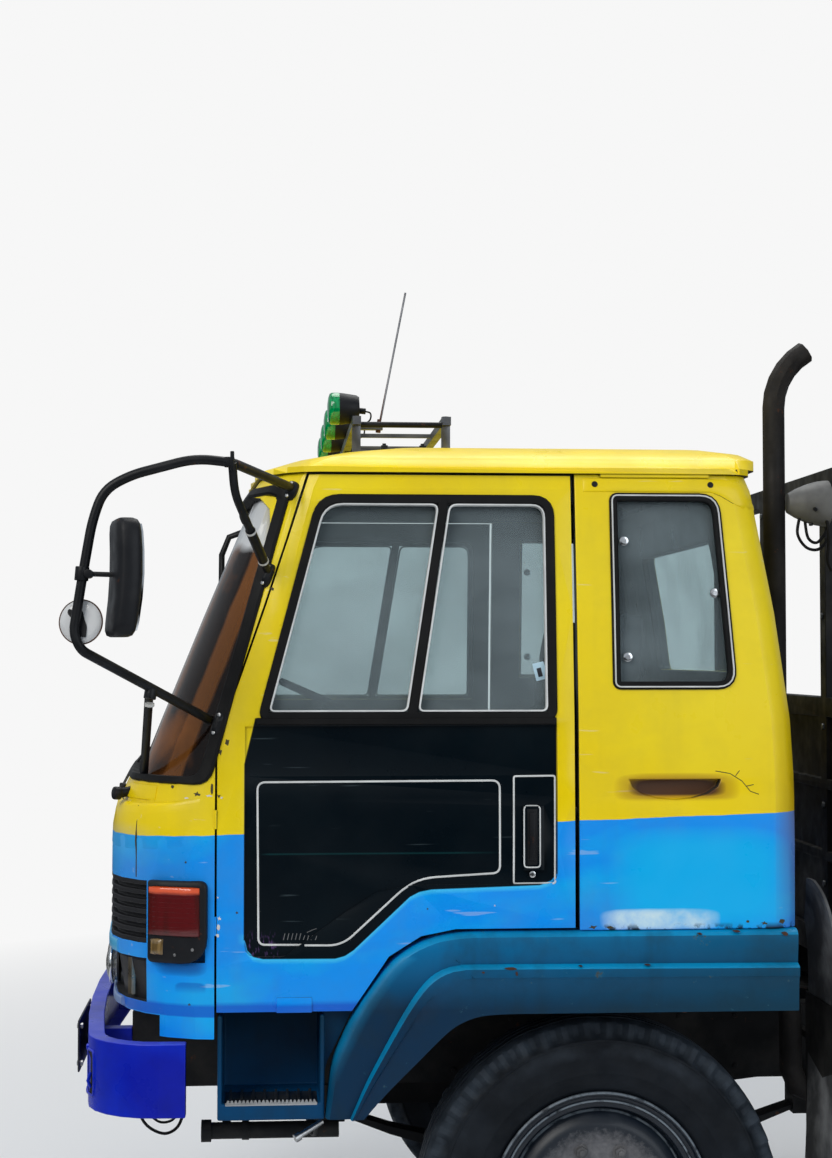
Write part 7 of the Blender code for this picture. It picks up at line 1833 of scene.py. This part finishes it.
def window_tag():
    """Small pale label hung inside the rear pane of the left door."""
    tag = Form()
    pane = Skin("door_glass_left")
    hit, _ = pane.side(-0.172, 1.936)
    turn = Matrix.Rotation(math.radians(-14), 4, "Y")
    tag.block(hit + Vector((-0.016, -0.0022, -0.024)), hit + Vector((0.016, -0.0006, 0.024)), 0.0006, turn)
    tag.make("window_tag", TAG, "door_left", 40, "cab_paint")
    mark = Form()
    mark.block(hit + Vector((-0.007, -0.003, -0.015)), hit + Vector((0.005, -0.002, 0.009)), 0.0003, turn)
    mark.tube([hit + Vector((0.009, -0.002, 0.026)), hit + Vector((0.015, -0.002, 0.045)),
        hit + Vector((0.024, -0.0018, 0.068))], 0.0012, 6)
    mark.make("window_tag_mark", PLATE, "door_left", 40, "cab_paint")


bumper_trim()
step_treads()
flap_boards()
work_lamp()
window_tag()


# Cab inside

SEAT_Y = 0.56
PINCH = 0.05


def pillow(form, centre, across, along, up, halves, channels, count=34):
    """A crowned pad whose sides pull in between its corners; channels are shares along its length."""
    centre = Vector(centre)
    half_a, half_b, half_c = halves
    top, low = [], []
    for row in range(count + 1):
        t = -1 + 2 * row / count
        for column in range(count + 1):
            s = -1 + 2 * column / count
            a = half_a * s * (1 - PINCH * s * s * (1 - t * t))
            b = half_b * t * (1 - PINCH * t * t * (1 - s * s))
            edge = math.sqrt(max(0, (1 - s ** 6) * (1 - t ** 6)))
            dome = (1 - 0.3 * s * s) * (1 - 0.18 * t * t)
            height = half_c * (0.42 + 0.58 * edge * dome)
            for channel in channels:
                height -= 0.011 * edge * math.exp(-((t - channel) / 0.045) ** 2)
            spot = centre + across * a + along * b
            top.append(spot + up * height)
            low.append(spot - up * (half_c * (0.42 + 0.58 * edge)))
    wide = count + 1
    base = wide * wide
    faces = []
    for face in sheet_faces(wide, wide):
        faces.append(face)
        faces.append(tuple(base + index for index in (face[0], *face[:0:-1])))
    border = ([column for column in range(count)] + [row * wide + count for row in range(count)]
        + [count * wide + count - column for column in range(count)]
        + [(count - row) * wide for row in range(count)])
    for index, here in enumerate(border):
        follow = border[(index + 1) % len(border)]
        faces.append((here, base + here, base + follow, follow))
    form.add(top + low, faces)
    return [top[here] for here in border]


def seats():
    """Sewn seat pads with piping over a steel foot, on both sides, and the bunk's mattress."""
    lean = Vector((0.0888, 0, 0.6605)).normalized()
    forward = Vector((lean[2], 0, -lean[0]))
    sideways = Vector((0, 1, 0))
    for name, node, y in (("left", "seat_left", -SEAT_Y), ("right", "seat_right", SEAT_Y)):
        pads, piping, foot = Form(), Form(), Form()
        edge = pillow(pads, (-0.205, y, 1.497), sideways, Vector((1, 0, 0)), Vector((0, 0, 1)),
            (0.226, 0.208, 0.064), (-0.45, 0.05, 0.5))
        piping.tube(edge, 0.0045, 6, True)
        edge = pillow(pads, (0.096, y, 1.832), sideways, lean, -forward, (0.224, 0.262, 0.052),
            (-0.55, -0.1, 0.42))
        piping.tube(edge, 0.0045, 6, True)
        item = pads.make("seat_pads_" + name, CLOTH, "cab", 60, "seat_cloth")
        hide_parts(node)
        piping.make("seat_piping_" + name, SEAL, "cab", 60, "rubber")
        foot.block((-0.36, y - 0.17, 1.2412), (0.04, y + 0.17, 1.4), 0.006)
        foot.block((-0.405, y - 0.205, 1.398), (0.095, y + 0.205, 1.436), 0.008)
        for side in (-1, 1):
            foot.tube([(-0.38, y + side * 0.12, 1.256), (0.06, y + side * 0.12, 1.256)], 0.01, 10)
            foot.tube(rounded([(0.06, y + side * 0.215, 1.43), (0.085, y + side * 0.222, 1.56),
                (0.098, y + side * 0.218, 1.64)], 0.04, False), 0.009, 10)
        foot.tube(rounded([(-0.33, y - 0.2, 1.405), (-0.4, y - 0.2, 1.405), (-0.42, y - 0.2, 1.395)], 0.01,
            False), 0.006, 8)
        foot.make("seat_foot_" + name, BLACK, "cab", 40, "black_paint")
    mat, base = Form(), Form()
    edge = pillow(mat, (0.369, 0, 1.566), Vector((1, 0, 0)), sideways, Vector((0, 0, 1)),
        (0.116, 0.845, 0.052), (-0.66, -0.33, 0, 0.33, 0.66), count=40)
    base.tube(edge, 0.004, 6, True)
    item = mat.make("bunk_mattress", CLOTH, "cab", 60, "seat_cloth")
    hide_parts("bunk")
    base.block((0.2505, -0.848, 1.3805), (0.487, 0.848, 1.513), 0.008)
    for y in (-0.42, 0.42):
        base.block((0.2475, y - 0.06, 1.43), (0.252, y + 0.06, 1.455), 0.002)
    base.make("bunk_base", PLASTIC, "cab", 40, "dark_plastic")


DIAL_Z = 1.54


def dashboard_details():
    """Dials, vents, switches and a blank tray lid on the dashboard."""
    hood, faces, rings, marks = Form(), Form(), Form(), Form()
    x = -0.93
    hood.block((-1.045, 0.3, 1.6), (-0.905, 0.74, 1.65), 0.015)
    hood.block((x - 0.004, 0.29, 1.47), (x + 0.006, 0.75, 1.61), 0.004)
    for y, radius in ((0.405, 0.046), (0.52, 0.052), (0.635, 0.046)):
        faces.rod((x + 0.004, y, DIAL_Z), (x + 0.0075, y, DIAL_Z), radius, 40)
        rings.tube([(x + 0.0085, y + a, DIAL_Z + b) for a, b in circle(radius, 40)], 0.003, 8, True)
        for tick in range(9):
            angle = math.radians(-40 + 260 * tick / 8)
            inner, outer = radius * 0.74, radius * 0.9
            marks.rod((x + 0.0085, y + inner * math.cos(angle), DIAL_Z + inner * math.sin(angle)),
                (x + 0.0085, y + outer * math.cos(angle), DIAL_Z + outer * math.sin(angle)), 0.001, 6)
        marks.rod((x + 0.009, y, DIAL_Z), (x + 0.009, y - radius * 0.5, DIAL_Z + radius * 0.45), 0.0012, 6)
    for y in (-0.72, -0.16, 0.16, 0.86):
        for step in range(5):
            hood.block((x - 0.002, y - 0.05, 1.545 + 0.009 * step),
                (x + 0.006, y + 0.05, 1.5495 + 0.009 * step), 0.001)
    hood.block((x - 0.002, -0.64, 1.44), (x + 0.005, -0.28, 1.565), 0.004)
    rings.rod((x + 0.004, -0.46, 1.545), (x + 0.012, -0.46, 1.545), 0.012, 20, bevel=0.002)
    for step in range(5):
        y = -0.115 + 0.057 * step
        hood.block((x - 0.002, y - 0.018, 1.47), (x + 0.01, y + 0.018, 1.492), 0.002)
    hood.make("dashboard_fittings", PLASTIC, "cab", 40, "dark_plastic")
    faces.make("dial_faces", GRILLE, "cab", 40, "dark_plastic")
    rings.make("dial_rings", CHROME, "cab", 40, "wheel_steel")
    marks.make("dial_marks", WHITE, "cab", 40, "cab_paint")


def band_loop(form, low_x, high_x, outline, thick):
    """A flat band laid round an outline of (y, z) points."""
    outer = grown(outline, thick)
    form.loft([[(low_x, y, z), (high_x, y, z), (high_x, b, c), (low_x, b, c)] for (y, z),
        (b, c) in zip(outline, outer)], True)


# Outer faces of the tank and the battery box, as distances from the middle and heights.
BOX_NEAR_Y = 0.4585
BOX_FAR_Y = 0.9815
BOX_LOW_Z = 0.4185
BOX_HIGH_Z = 0.8615


def tank_and_battery_details():
    """Strap bands and filler cap of the tank, lid seams, hinges and latches of the battery box."""
    bands, cap, latches = Form(), Form(), Form()
    outline = spaced(rounded([(BOX_NEAR_Y, BOX_LOW_Z), (BOX_FAR_Y, BOX_LOW_Z), (BOX_FAR_Y, BOX_HIGH_Z),
        (BOX_NEAR_Y, BOX_HIGH_Z)], 0.028), 0.05)
    for x in (1.5, 2.1):
        band_loop(bands, x - 0.024, x + 0.024, outline, 0.0035)
        bands.rod((x, 0.985, 0.56), (x, 0.985, 0.64), 0.008, 10)
    bands.make("tank_bands", STEEL_DARK, BASE_BODY, 40, "chassis")
    cap.rod((1.42, 0.88, 0.856), (1.42, 0.88, 0.886), 0.045, 28, bevel=0.004)
    cap.rod((1.42, 0.88, 0.884), (1.42, 0.88, 0.902), 0.052, 28, bevel=0.006)
    for a, b in circle(0.052, 12):
        cap.rod((1.42 + a, 0.88 + b, 0.887), (1.42 + a, 0.88 + b, 0.899), 0.0035, 8)
    cap.make("tank_cap", BLACK, BASE_BODY, 40, "black_paint")
    outline = spaced(rounded([(-BOX_FAR_Y, BOX_LOW_Z), (-BOX_NEAR_Y, BOX_LOW_Z), (-BOX_NEAR_Y, BOX_HIGH_Z),
        (-BOX_FAR_Y, BOX_HIGH_Z)], 0.028), 0.05)
    band_loop(latches, 1.2985, 1.306, outline, 0.004)
    band_loop(latches, 1.944, 1.9515, outline, 0.004)
    latches.block((1.315, -0.9835, 0.735), (1.935, -0.979, 0.742), 0.001)
    for x in (1.42, 1.83):
        latches.block((x - 0.018, -0.9905, 0.7), (x + 0.018, -0.979, 0.775), 0.003)
        latches.rod((x - 0.022, -0.99, 0.738), (x + 0.022, -0.99, 0.738), 0.006, 12)
    latches.make("battery_box_fittings", STEEL_DARK, BASE_BODY, 40, "chassis")


def tail_lamps():
    """Three-part lenses, their screws and a blank plate between them."""
    red, amber, clear, frames = Form(), Form(), Form(), Form()
    for side in (-1, 1):
        for form, low, high in ((red, 0.7, 0.795), (amber, 0.799, 0.888), (clear, 0.892, 0.98)):
            near, far = sorted((side * low, side * high))
            form.block((5.118, near + 0.003, 0.668), (5.129, far - 0.003, 0.79), 0.004)
            for z in (0.68, 0.778):
                frames.rod((5.127, (near + far) / 2, z), (5.1305, (near + far) / 2, z), 0.004, 12)
    red.make("tail_lens_red", RED, BASE_BODY, 40, "red_lens")
    amber.make("tail_lens_amber", ORANGE, BASE_BODY, 40, "red_lens")
    clear.make("tail_lens_clear", CLEAR_LENS, BASE_BODY, 40, "glass")
    frames.make("tail_lens_screws", STEEL, BASE_BODY, 40, "wheel_steel")
    plate = Form()
    plate.block((5.1395, -0.22, 0.578), (5.1435, 0.22, 0.662), 0.0015)
    plate.make("rear_plate_blank", TAPE, BASE_BODY, 40, "cab_paint")


def bed_details():
    """Rope hooks, bolts and board nails of the load bed, and the headboard's bolts."""
    hooks, bolts, nails = Form(), Form(), Form()
    for side in (-1, 1):
        for step in range(8):
            x = 1.05 + 0.54 * step
            y = side * 1.125
            hooks.tube(rounded([(x - 0.045, y - side * 0.006, 1.085), (x - 0.045, y + side * 0.016, 1.075),
                (x - 0.03, y + side * 0.02, 1.05), (x + 0.03, y + side * 0.02, 1.05),
                (x + 0.045, y + side * 0.016, 1.075), (x + 0.045, y - side * 0.006, 1.085)],
                0.012, False), 0.006, 8)
            for shift in (-0.135, 0.135):
                bolts.rod((x + shift, y - side * 0.002, 1.125), (x + shift, y + side * 0.006, 1.125), 0.009,
                    6, bevel=0.0015)
    for row in range(12):
        y = -1.094 + BOARD_PITCH * (row + 0.5)
        for step in range(9):
            x = 1.02 + 0.5 * step
            for shift in (-0.045, 0.045):
                nails.rod((x, y + shift, 1.164), (x, y + shift, 1.1668), 0.0055, 8)
    for y in (-1.065, -0.365, 0.365, 1.065):
        for z in (1.28, 1.52, 1.76, 2.1, 2.46):
            bolts.rod((0.802, y, z), (0.794, y, z), 0.01, 6, bevel=0.0015)
    hooks.make("rope_hooks", STEEL_DARK, BASE_BODY, 50, "chassis")
    bolts.make("bed_bolts", STEEL_DARK, BASE_BODY, 35, "chassis")
    nails.make("deck_nails", STEEL_DARK, BASE_BODY, 35, "chassis")


def frame_rivets():
    """Two rows of rivet heads along the outside of both frame rails."""
    rivets = Form()
    for side in (-1, 1):
        for step in range(36):
            x = -1.2 + 0.17 * step
            for z in (0.745, 0.895):
                rivets.rod((x, side * 0.4285, z), (x, side * 0.4345, z), 0.008, 8, bevel=0.0025)
    rivets.make("frame_rivets", CHASSIS, BASE_BODY, 50, "chassis")


def under_step_gear():
    """The bar, lever and bracket that show below the left step and behind the bumper."""
    bar, lever, panel = Form(), Form(), Form()
    y, low = -0.64, 0.63
    for front, rear, radius in ((-1.085, -0.7, 0.0235), (-1.09, -1.062, 0.031), (-0.975, -0.955, 0.027)):
        bar.tube([(front, y, low), (rear, y, low)], radius, 20)
    for x in (-1.02, -0.78):
        bar.block((x - 0.012, -0.655, low), (x + 0.012, -0.425, low + 0.02), 0.003)
        bar.block((x - 0.012, -0.44, low), (x + 0.012, -0.428, 0.76), 0.003)
    bar.tube(rounded([(-0.79, y, low), (-0.772, -0.82, 0.655), (-0.77, -0.95, 0.716)], 0.05, False), 0.0065,
        10)
    lever.tube([(-0.824, -0.98, 0.69), (-0.756, -0.946, 0.724)], 0.0085, 12)
    lever.tube([(-0.829, -0.982, 0.6875), (-0.816, -0.976, 0.694)], 0.0115, 12)
    bar.make("front_cross_tube", CHASSIS, BASE_BODY, 50, "chassis")
    lever.make("tilt_lever", STEEL, BASE_BODY, 50, "wheel_steel")
    corners = ((-0.757, 0.855), (-0.744, 0.9), (-0.68, 1.03), (-0.757, 1.03))
    panel.loft([[(x, y, z) for x, z in corners] for y in (-1.012, -1.006)])
    both(panel, "step_side_panel_left", STEP_DARK, STEP_BODY, "teal_paint")


def door_comb_marks():
    """A short row of slanting scratches above the lower coach line."""
    marks = Form()
    for step in range(9):
        x = -0.862 + 0.0105 * step
        tall = 0.017 if step < 5 else 0.011
        laid(marks, SIDE, [(x, 1.226), (x + 0.004, 1.226 + tall)], band_section(0.0022, 0.0006, 0.0006),
            False)
    laid(marks, SIDE, [(-0.8, 1.245), (-0.784, 1.252), (-0.774, 1.255)], band_section(0.0018, 0.0006, 0.0006),
        False)
    both(marks, "door_comb_marks_left", GREY_PAINT, "door_left", "cab_paint")


seats()
dashboard_details()
tank_and_battery_details()
tail_lamps()
bed_details()
frame_rivets()
under_step_gear()
door_comb_marks()


# Wheels

# Columns: radius and distance outward from the tyre's middle, from the outer bead to the shoulder.
TYRE_SIDE = ((0.264, 0.0765), (0.3, 0.0885), (0.3045, 0.0935), (0.312, 0.1), (0.33, 0.1075), (0.347, 0.112),
    (0.351, 0.1145), (0.357, 0.1148), (0.361, 0.1135), (0.39, 0.1165), (0.415, 0.116), (0.433, 0.113),
    (0.436, 0.1145), (0.441, 0.114), (0.444, 0.111), (0.458, 0.1065), (0.472, 0.1015), (0.48, 0.0985),
    (0.486, 0.095), (0.4895, 0.089))
TREAD_RADIUS = 0.4945
TREAD_BOW = 0.55
GROOVES = (-0.052, -0.0175, 0.0175, 0.052)
# Columns: distance from a groove's middle and depth.
GROOVE_SECTION = ((-0.006, 0), (-0.004, 0.012), (0.004, 0.012), (0.006, 0))
TYRE_STEPS = 192
LUG_STEPS = 4
NOTCH_STEPS = 2
ZIGZAG_STEPS = 5
FRONT_TRACK = 0.87
REAR_TRACK = 0.84
TWIN_HALF_PITCH = 0.145
FRONT_CENTRE = (0, AXLE_Z)
REAR_CENTRE = (WHEELBASE, AXLE_Z)


def tyre_slice(step):
    """The (radius, offset) points round one slice: shoulder lugs come and go, grooves run in a zigzag."""
    notch = 0.0125 if step % LUG_STEPS < NOTCH_STEPS else 0
    shift = 0.003 if step // ZIGZAG_STEPS % 2 else -0.003
    side = []
    for radius, offset in TYRE_SIDE:
        cut = notch if radius > 0.45 else 0
        side.append((radius - cut * 0.35, offset - cut))
    crown = []
    for middle in GROOVES[::-1]:
        for away, deep in GROOVE_SECTION[::-1]:
            offset = middle + shift + away
            crown.append((TREAD_RADIUS - TREAD_BOW * offset ** 2 - deep, offset))
    inner = [(radius, -offset) for radius, offset in side[::-1]]
    return side + crown + inner


def tyre(name, node, centre, middle, body):
    """A left tyre and its mirror image, in place of their CAD nodes."""
    form = Form()
    rings = []
    for step in range(TYRE_STEPS):
        angle = math.tau * step / TYRE_STEPS
        rings.append([(centre[0] + radius * math.cos(angle), -(middle + offset),
            centre[1] + radius * math.sin(angle)) for radius, offset in tyre_slice(step)])
    form.loft(rings, True)
    left = form.make(name, TYRE, body, 28, "tyre")
    right = form.mirrored().make(other_side(name), TYRE, other_side(body), 28, "tyre")
    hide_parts(node)
    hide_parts(other_side(node))


def carved(form, name, finish, body, cutters, slot):
    """Makes a piece with windows cut through it."""
    item = form.make(name, finish, body, 30, slot)
    tools = []
    for cutter in cutters:
        mesh = bpy.data.meshes.new("cutter")
        mesh.from_pydata([(x + FRONT_AXLE_X, y, z) for x, y, z in cutter.points], [], cutter.faces)
        tool = bpy.data.objects.new("cutter", mesh)
        bpy.context.scene.collection.objects.link(tool)
        tools.append(tool)
        window = item.modifiers.new("Window", "BOOLEAN")
        window.operation = "DIFFERENCE"
        window.solver = "EXACT"
        window.object = tool
    bpy.context.view_layer.update()
    solid = bpy.data.meshes.new_from_object(item.evaluated_get(bpy.context.evaluated_depsgraph_get()))
    item.modifiers.clear()
    item.data = solid
    for tool in tools:
        bpy.data.objects.remove(tool)
    return item


# Columns: radius and distance outward from the wheel's middle, round the front rim's metal.
FRONT_RIM = ((0.262, 0.076), (0.296, 0.087), (0.299, 0.0915), (0.299, 0.0975), (0.2955, 0.101), (0.29, 0.1),
    (0.287, 0.095), (0.285, 0.088), (0.276, 0.084), (0.274, 0.087), (0.269, 0.087), (0.267, 0.083),
    (0.256, 0.079), (0.253, 0.074), (0.25, 0.042), (0.245, 0.044), (0.235, 0.056), (0.218, 0.07),
    (0.208, 0.0755), (0.196, 0.077), (0.182, 0.074), (0.165, 0.068), (0.155, 0.062), (0.15, 0.06),
    (0.12, 0.06), (0.108, 0.061), (0.106, 0.072), (0.101, 0.078), (0.079, 0.085), (0.07, 0.092),
    (0.066, 0.104), (0.06, 0.112), (0.045, 0.116), (0.02, 0.1172), (0.0005, 0.1174), (0.0005, -0.055),
    (0.105, -0.055), (0.105, 0.046), (0.208, 0.061), (0.245, 0.03), (0.25, 0.018), (0.25, -0.076),
    (0.283, -0.088), (0.29, -0.101), (0.299, -0.096), (0.296, -0.087), (0.262, -0.076))
SLOT_RADIUS = 0.222
SLOT_HALF_ANGLE = 14
SLOT_HALF_WIDTH = 0.0135
SLOT_COUNT = 5
STUD_COUNT = 8
STUD_RADIUS = 0.14
STUD_FIRST = 65.5


def slot_cutter(centre, middle, low, high):
    """A bent oblong window between two distances along the axle, at one angle from the centre."""
    outline = []
    for side, angles in ((1, range(-5, 6)), (-1, range(5, -6, -1))):
        for share in angles:
            degrees = middle + SLOT_HALF_ANGLE * share / 5
            narrow = SLOT_HALF_WIDTH * math.sqrt(max(0, 1 - (share / 5.4) ** 4))
            radius = SLOT_RADIUS + side * narrow
            outline.append((centre[0] + radius * math.cos(math.radians(degrees)),
                centre[1] + radius * math.sin(math.radians(degrees))))
    cutter = Form()
    cutter.loft([[(x, y, z) for x, z in outline] for y in (low, high)])
    return cutter


def studs(form, centre, face):
    """Wheel nuts on their washers, each with its stud's end."""
    for index in range(STUD_COUNT):
        angle = math.radians(STUD_FIRST + 360 * index / STUD_COUNT)
        x = centre[0] + STUD_RADIUS * math.cos(angle)
        z = centre[1] + STUD_RADIUS * math.sin(angle)
        form.rod((x, face + 0.002, z), (x, face - 0.004, z), 0.0195, 24, bevel=0.001)
        form.rod((x, face - 0.003, z), (x, face - 0.021, z), 0.0158, 6, bevel=0.0022)
        form.rod((x, face - 0.019, z), (x, face - 0.028, z), 0.0085, 16, bevel=0.0015)


def front_wheels():
    """Tyres, rims with their hand holes, nuts, hub bolts and valves."""
    tyre("front_tyre_dressed_left", "front_tyre_left", FRONT_CENTRE, FRONT_TRACK, "front_wheel_left")
    for side, name in ((-1, "left"), (1, "right")):
        body = "front_wheel_" + name
        form = Form()
        profile = [(radius, side * (FRONT_TRACK + offset)) for radius, offset in FRONT_RIM]
        form.turned(profile, FRONT_CENTRE, 96)
        windows = []
        for index in range(SLOT_COUNT):
            ends = sorted((side * (FRONT_TRACK - 0.05), side * (FRONT_TRACK + 0.12)))
            windows.append(slot_cutter(FRONT_CENTRE, 90 + 360 * index / SLOT_COUNT, *ends))
        rim = carved(form, "front_rim_dressed_" + name, RIM, body, windows, "wheel_steel")
        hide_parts("front_rim_" + name)
    nuts = Form()
    studs(nuts, FRONT_CENTRE, -(FRONT_TRACK + 0.06))
    both(nuts, "front_wheel_nuts_left", NUT, "front_wheel_left", "wheel_steel", 30)
    cap = Form()
    for x, up in circle(0.086, 6):
        z = AXLE_Z + up
        cap.rod((x, -FRONT_TRACK - 0.08, z), (x, -FRONT_TRACK - 0.09, z), 0.0085, 6, bevel=0.001)
    cap.rod((0, -FRONT_TRACK - 0.115, AXLE_Z), (0, -FRONT_TRACK - 0.122, AXLE_Z), 0.014, 6, bevel=0.0015)
    both(cap, "front_hub_bolts_left", NUT, "front_wheel_left", "wheel_steel", 30)
    valve = Form()
    valve.tube(smooth_route([(0.1, -FRONT_TRACK - 0.06, AXLE_Z - 0.215),
        (0.095, -FRONT_TRACK - 0.085, AXLE_Z - 0.222),
        (0.085, -FRONT_TRACK - 0.098, AXLE_Z - 0.205)]), 0.0038)
    both(valve, "front_valve_left", NUT, "front_wheel_left", "wheel_steel")


# Columns: radius and distance outward from the twins' middle, round the two rims' metal.
REAR_RIM_HALF = ((0.238, 0.016), (0.25, 0.03), (0.252, 0.07), (0.262, 0.069), (0.296, 0.058), (0.299, 0.053),
    (0.299, 0.047), (0.295, 0.044), (0.29, 0.047), (0.283, 0.06), (0.262, 0.07), (0.262, 0.221),
    (0.296, 0.232), (0.299, 0.2365), (0.299, 0.2425), (0.2955, 0.246), (0.29, 0.245), (0.287, 0.24),
    (0.285, 0.233), (0.274, 0.229), (0.272, 0.232), (0.268, 0.232), (0.266, 0.228), (0.25, 0.223),
    (0.246, 0.215), (0.244, 0.042), (0.236, 0.02), (0.22, 0.0145), (0.198, 0.014), (0.108, 0.014))
REAR_HUB = ((0.108, 0.014), (0.106, 0.05), (0.098, 0.076), (0.08, 0.09), (0.074, 0.102), (0.066, 0.109),
    (0.04, 0.112), (0.0005, 0.1125))


def rear_wheels():
    """Twin tyres and rims on each side, with nuts and hub bolts."""
    for place, middle in (("outer", REAR_TRACK + TWIN_HALF_PITCH), ("inner", REAR_TRACK - TWIN_HALF_PITCH)):
        tyre("rear_%s_tyre_dressed_left" % place, "rear_%s_tyre_left" % place, REAR_CENTRE, middle,
            "rear_wheels_left")
    for side, name in ((-1, "left"), (1, "right")):
        body = "rear_wheels_" + name
        outward_half = list(REAR_RIM_HALF) + list(REAR_HUB[1:])
        inward_half = [(radius, -offset) for radius, offset in outward_half[::-1]]
        form = Form()
        form.turned([(radius, side * (REAR_TRACK + offset)) for radius, offset in outward_half + inward_half],
            REAR_CENTRE, 96)
        ends = sorted((side * (REAR_TRACK - 0.05), side * (REAR_TRACK + 0.05)))
        windows = [slot_cutter(REAR_CENTRE, 54 + 72 * index, *ends) for index in range(SLOT_COUNT)]
        rim = carved(form, "rear_rims_dressed_" + name, RIM, body, windows, "wheel_steel")
        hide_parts("rear_rims_" + name)
    nuts = Form()
    studs(nuts, REAR_CENTRE, -(REAR_TRACK + 0.014))
    both(nuts, "rear_wheel_nuts_left", NUT, "rear_wheels_left", "wheel_steel", 30)
    bolts = Form()
    for index in range(8):
        angle = math.tau * (index + 0.5) / 8
        x, z = WHEELBASE + 0.09 * math.cos(angle), AXLE_Z + 0.09 * math.sin(angle)
        bolts.rod((x, -REAR_TRACK - 0.078, z), (x, -REAR_TRACK - 0.094, z), 0.008, 6, bevel=0.001)
    both(bolts, "rear_hub_bolts_left", NUT, "rear_wheels_left", "wheel_steel", 30)


front_wheels()
rear_wheels()


# Studio

def studio():
    """Pale floor, soft light from the left and above, and the photograph's camera."""
    floor = bpy.data.meshes.new("studio_floor")
    reach = 90
    floor.from_pydata([(-reach, -reach, 0), (reach, -reach, 0), (reach, reach, 0), (-reach, reach, 0)], [],
        [(0, 1, 2, 3)])
    graph = Graph("studio_floor_pale")
    rays = graph.tree.nodes.new("ShaderNodeLightPath").outputs
    away = graph.vector("SUBTRACT", graph.place, (0.2, 0.4, 0))
    node = graph.tree.nodes.new("ShaderNodeVectorMath")
    node.operation = "LENGTH"
    graph.put(node.inputs[0], away)
    far = graph.span(node.outputs["Value"], 3.6, 8.5)
    seen = graph.math("MAXIMUM", rays["Is Camera Ray"], rays["Is Transmission Ray"])
    shade = graph.mix(far, (0.8, 0.81, 0.83), (0, 0, 0))
    glow = far * seen * 0.93
    floor.materials.append(graph.surface(colour=shade, rough=0.95, shine=0, glow=glow, glow_colour=(1,
        1, 1)))
    item = bpy.data.objects.new("studio_floor", floor)
    bpy.context.scene.collection.objects.link(item)

    world = bpy.data.worlds.new("studio_world")
    bpy.context.scene.world = world
    world.use_nodes = True
    tree = world.node_tree
    lit = tree.nodes["Background"]
    lit.inputs["Color"].default_value = (0.86, 0.93, 1, 1)
    lit.inputs["Strength"].default_value = 0.4
    seen = tree.nodes.new("ShaderNodeBackground")
    seen.inputs["Color"].default_value = (0.93, 0.93, 0.93, 1)
    seen.inputs["Strength"].default_value = 1
    rays = tree.nodes.new("ShaderNodeLightPath")
    first = tree.nodes.new("ShaderNodeMath")
    first.operation = "MAXIMUM"
    tree.links.new(rays.outputs["Is Camera Ray"], first.inputs[0])
    tree.links.new(rays.outputs["Is Transmission Ray"], first.inputs[1])
    blend = tree.nodes.new("ShaderNodeMixShader")
    tree.links.new(first.outputs[0], blend.inputs[0])
    tree.links.new(lit.outputs[0], blend.inputs[1])
    tree.links.new(seen.outputs[0], blend.inputs[2])
    tree.links.new(blend.outputs[0], tree.nodes["World Output"].inputs["Surface"])

    lamps = (("key_lamp", (-7.5, -6.5, 7), 5, 430, (1, 0.97, 0.92)), ("fill_lamp", (3.5, -8.5, 4),
        6, 190, (0.9, 0.95, 1)), ("top_lamp", (-1, 2, 9), 6, 350, (1, 0.99, 0.96)))
    for name, place, size, power, colour in lamps:
        data = bpy.data.lights.new(name, "AREA")
        data.size = size
        data.energy = power
        data.color = colour
        lamp = bpy.data.objects.new(name, data)
        lamp.location = place
        lamp.rotation_euler = (Vector((-1.6, 0, 1.2)) - Vector(place)).to_track_quat("-Z", "Y").to_euler()
        bpy.context.scene.collection.objects.link(lamp)

    data = bpy.data.cameras.new("photo_camera")
    data.lens = CAMERA_LENS
    data.clip_end = 300
    camera = bpy.data.objects.new("photo_camera", data)
    camera.location = CAMERA_PLACE
    camera.rotation_euler = (math.pi / 2 + CAMERA_PITCH, 0, -CAMERA_YAW)
    bpy.context.scene.collection.objects.link(camera)
    bpy.context.scene.camera = camera
    bpy.context.scene.view_settings.view_transform = "Standard"


studio()
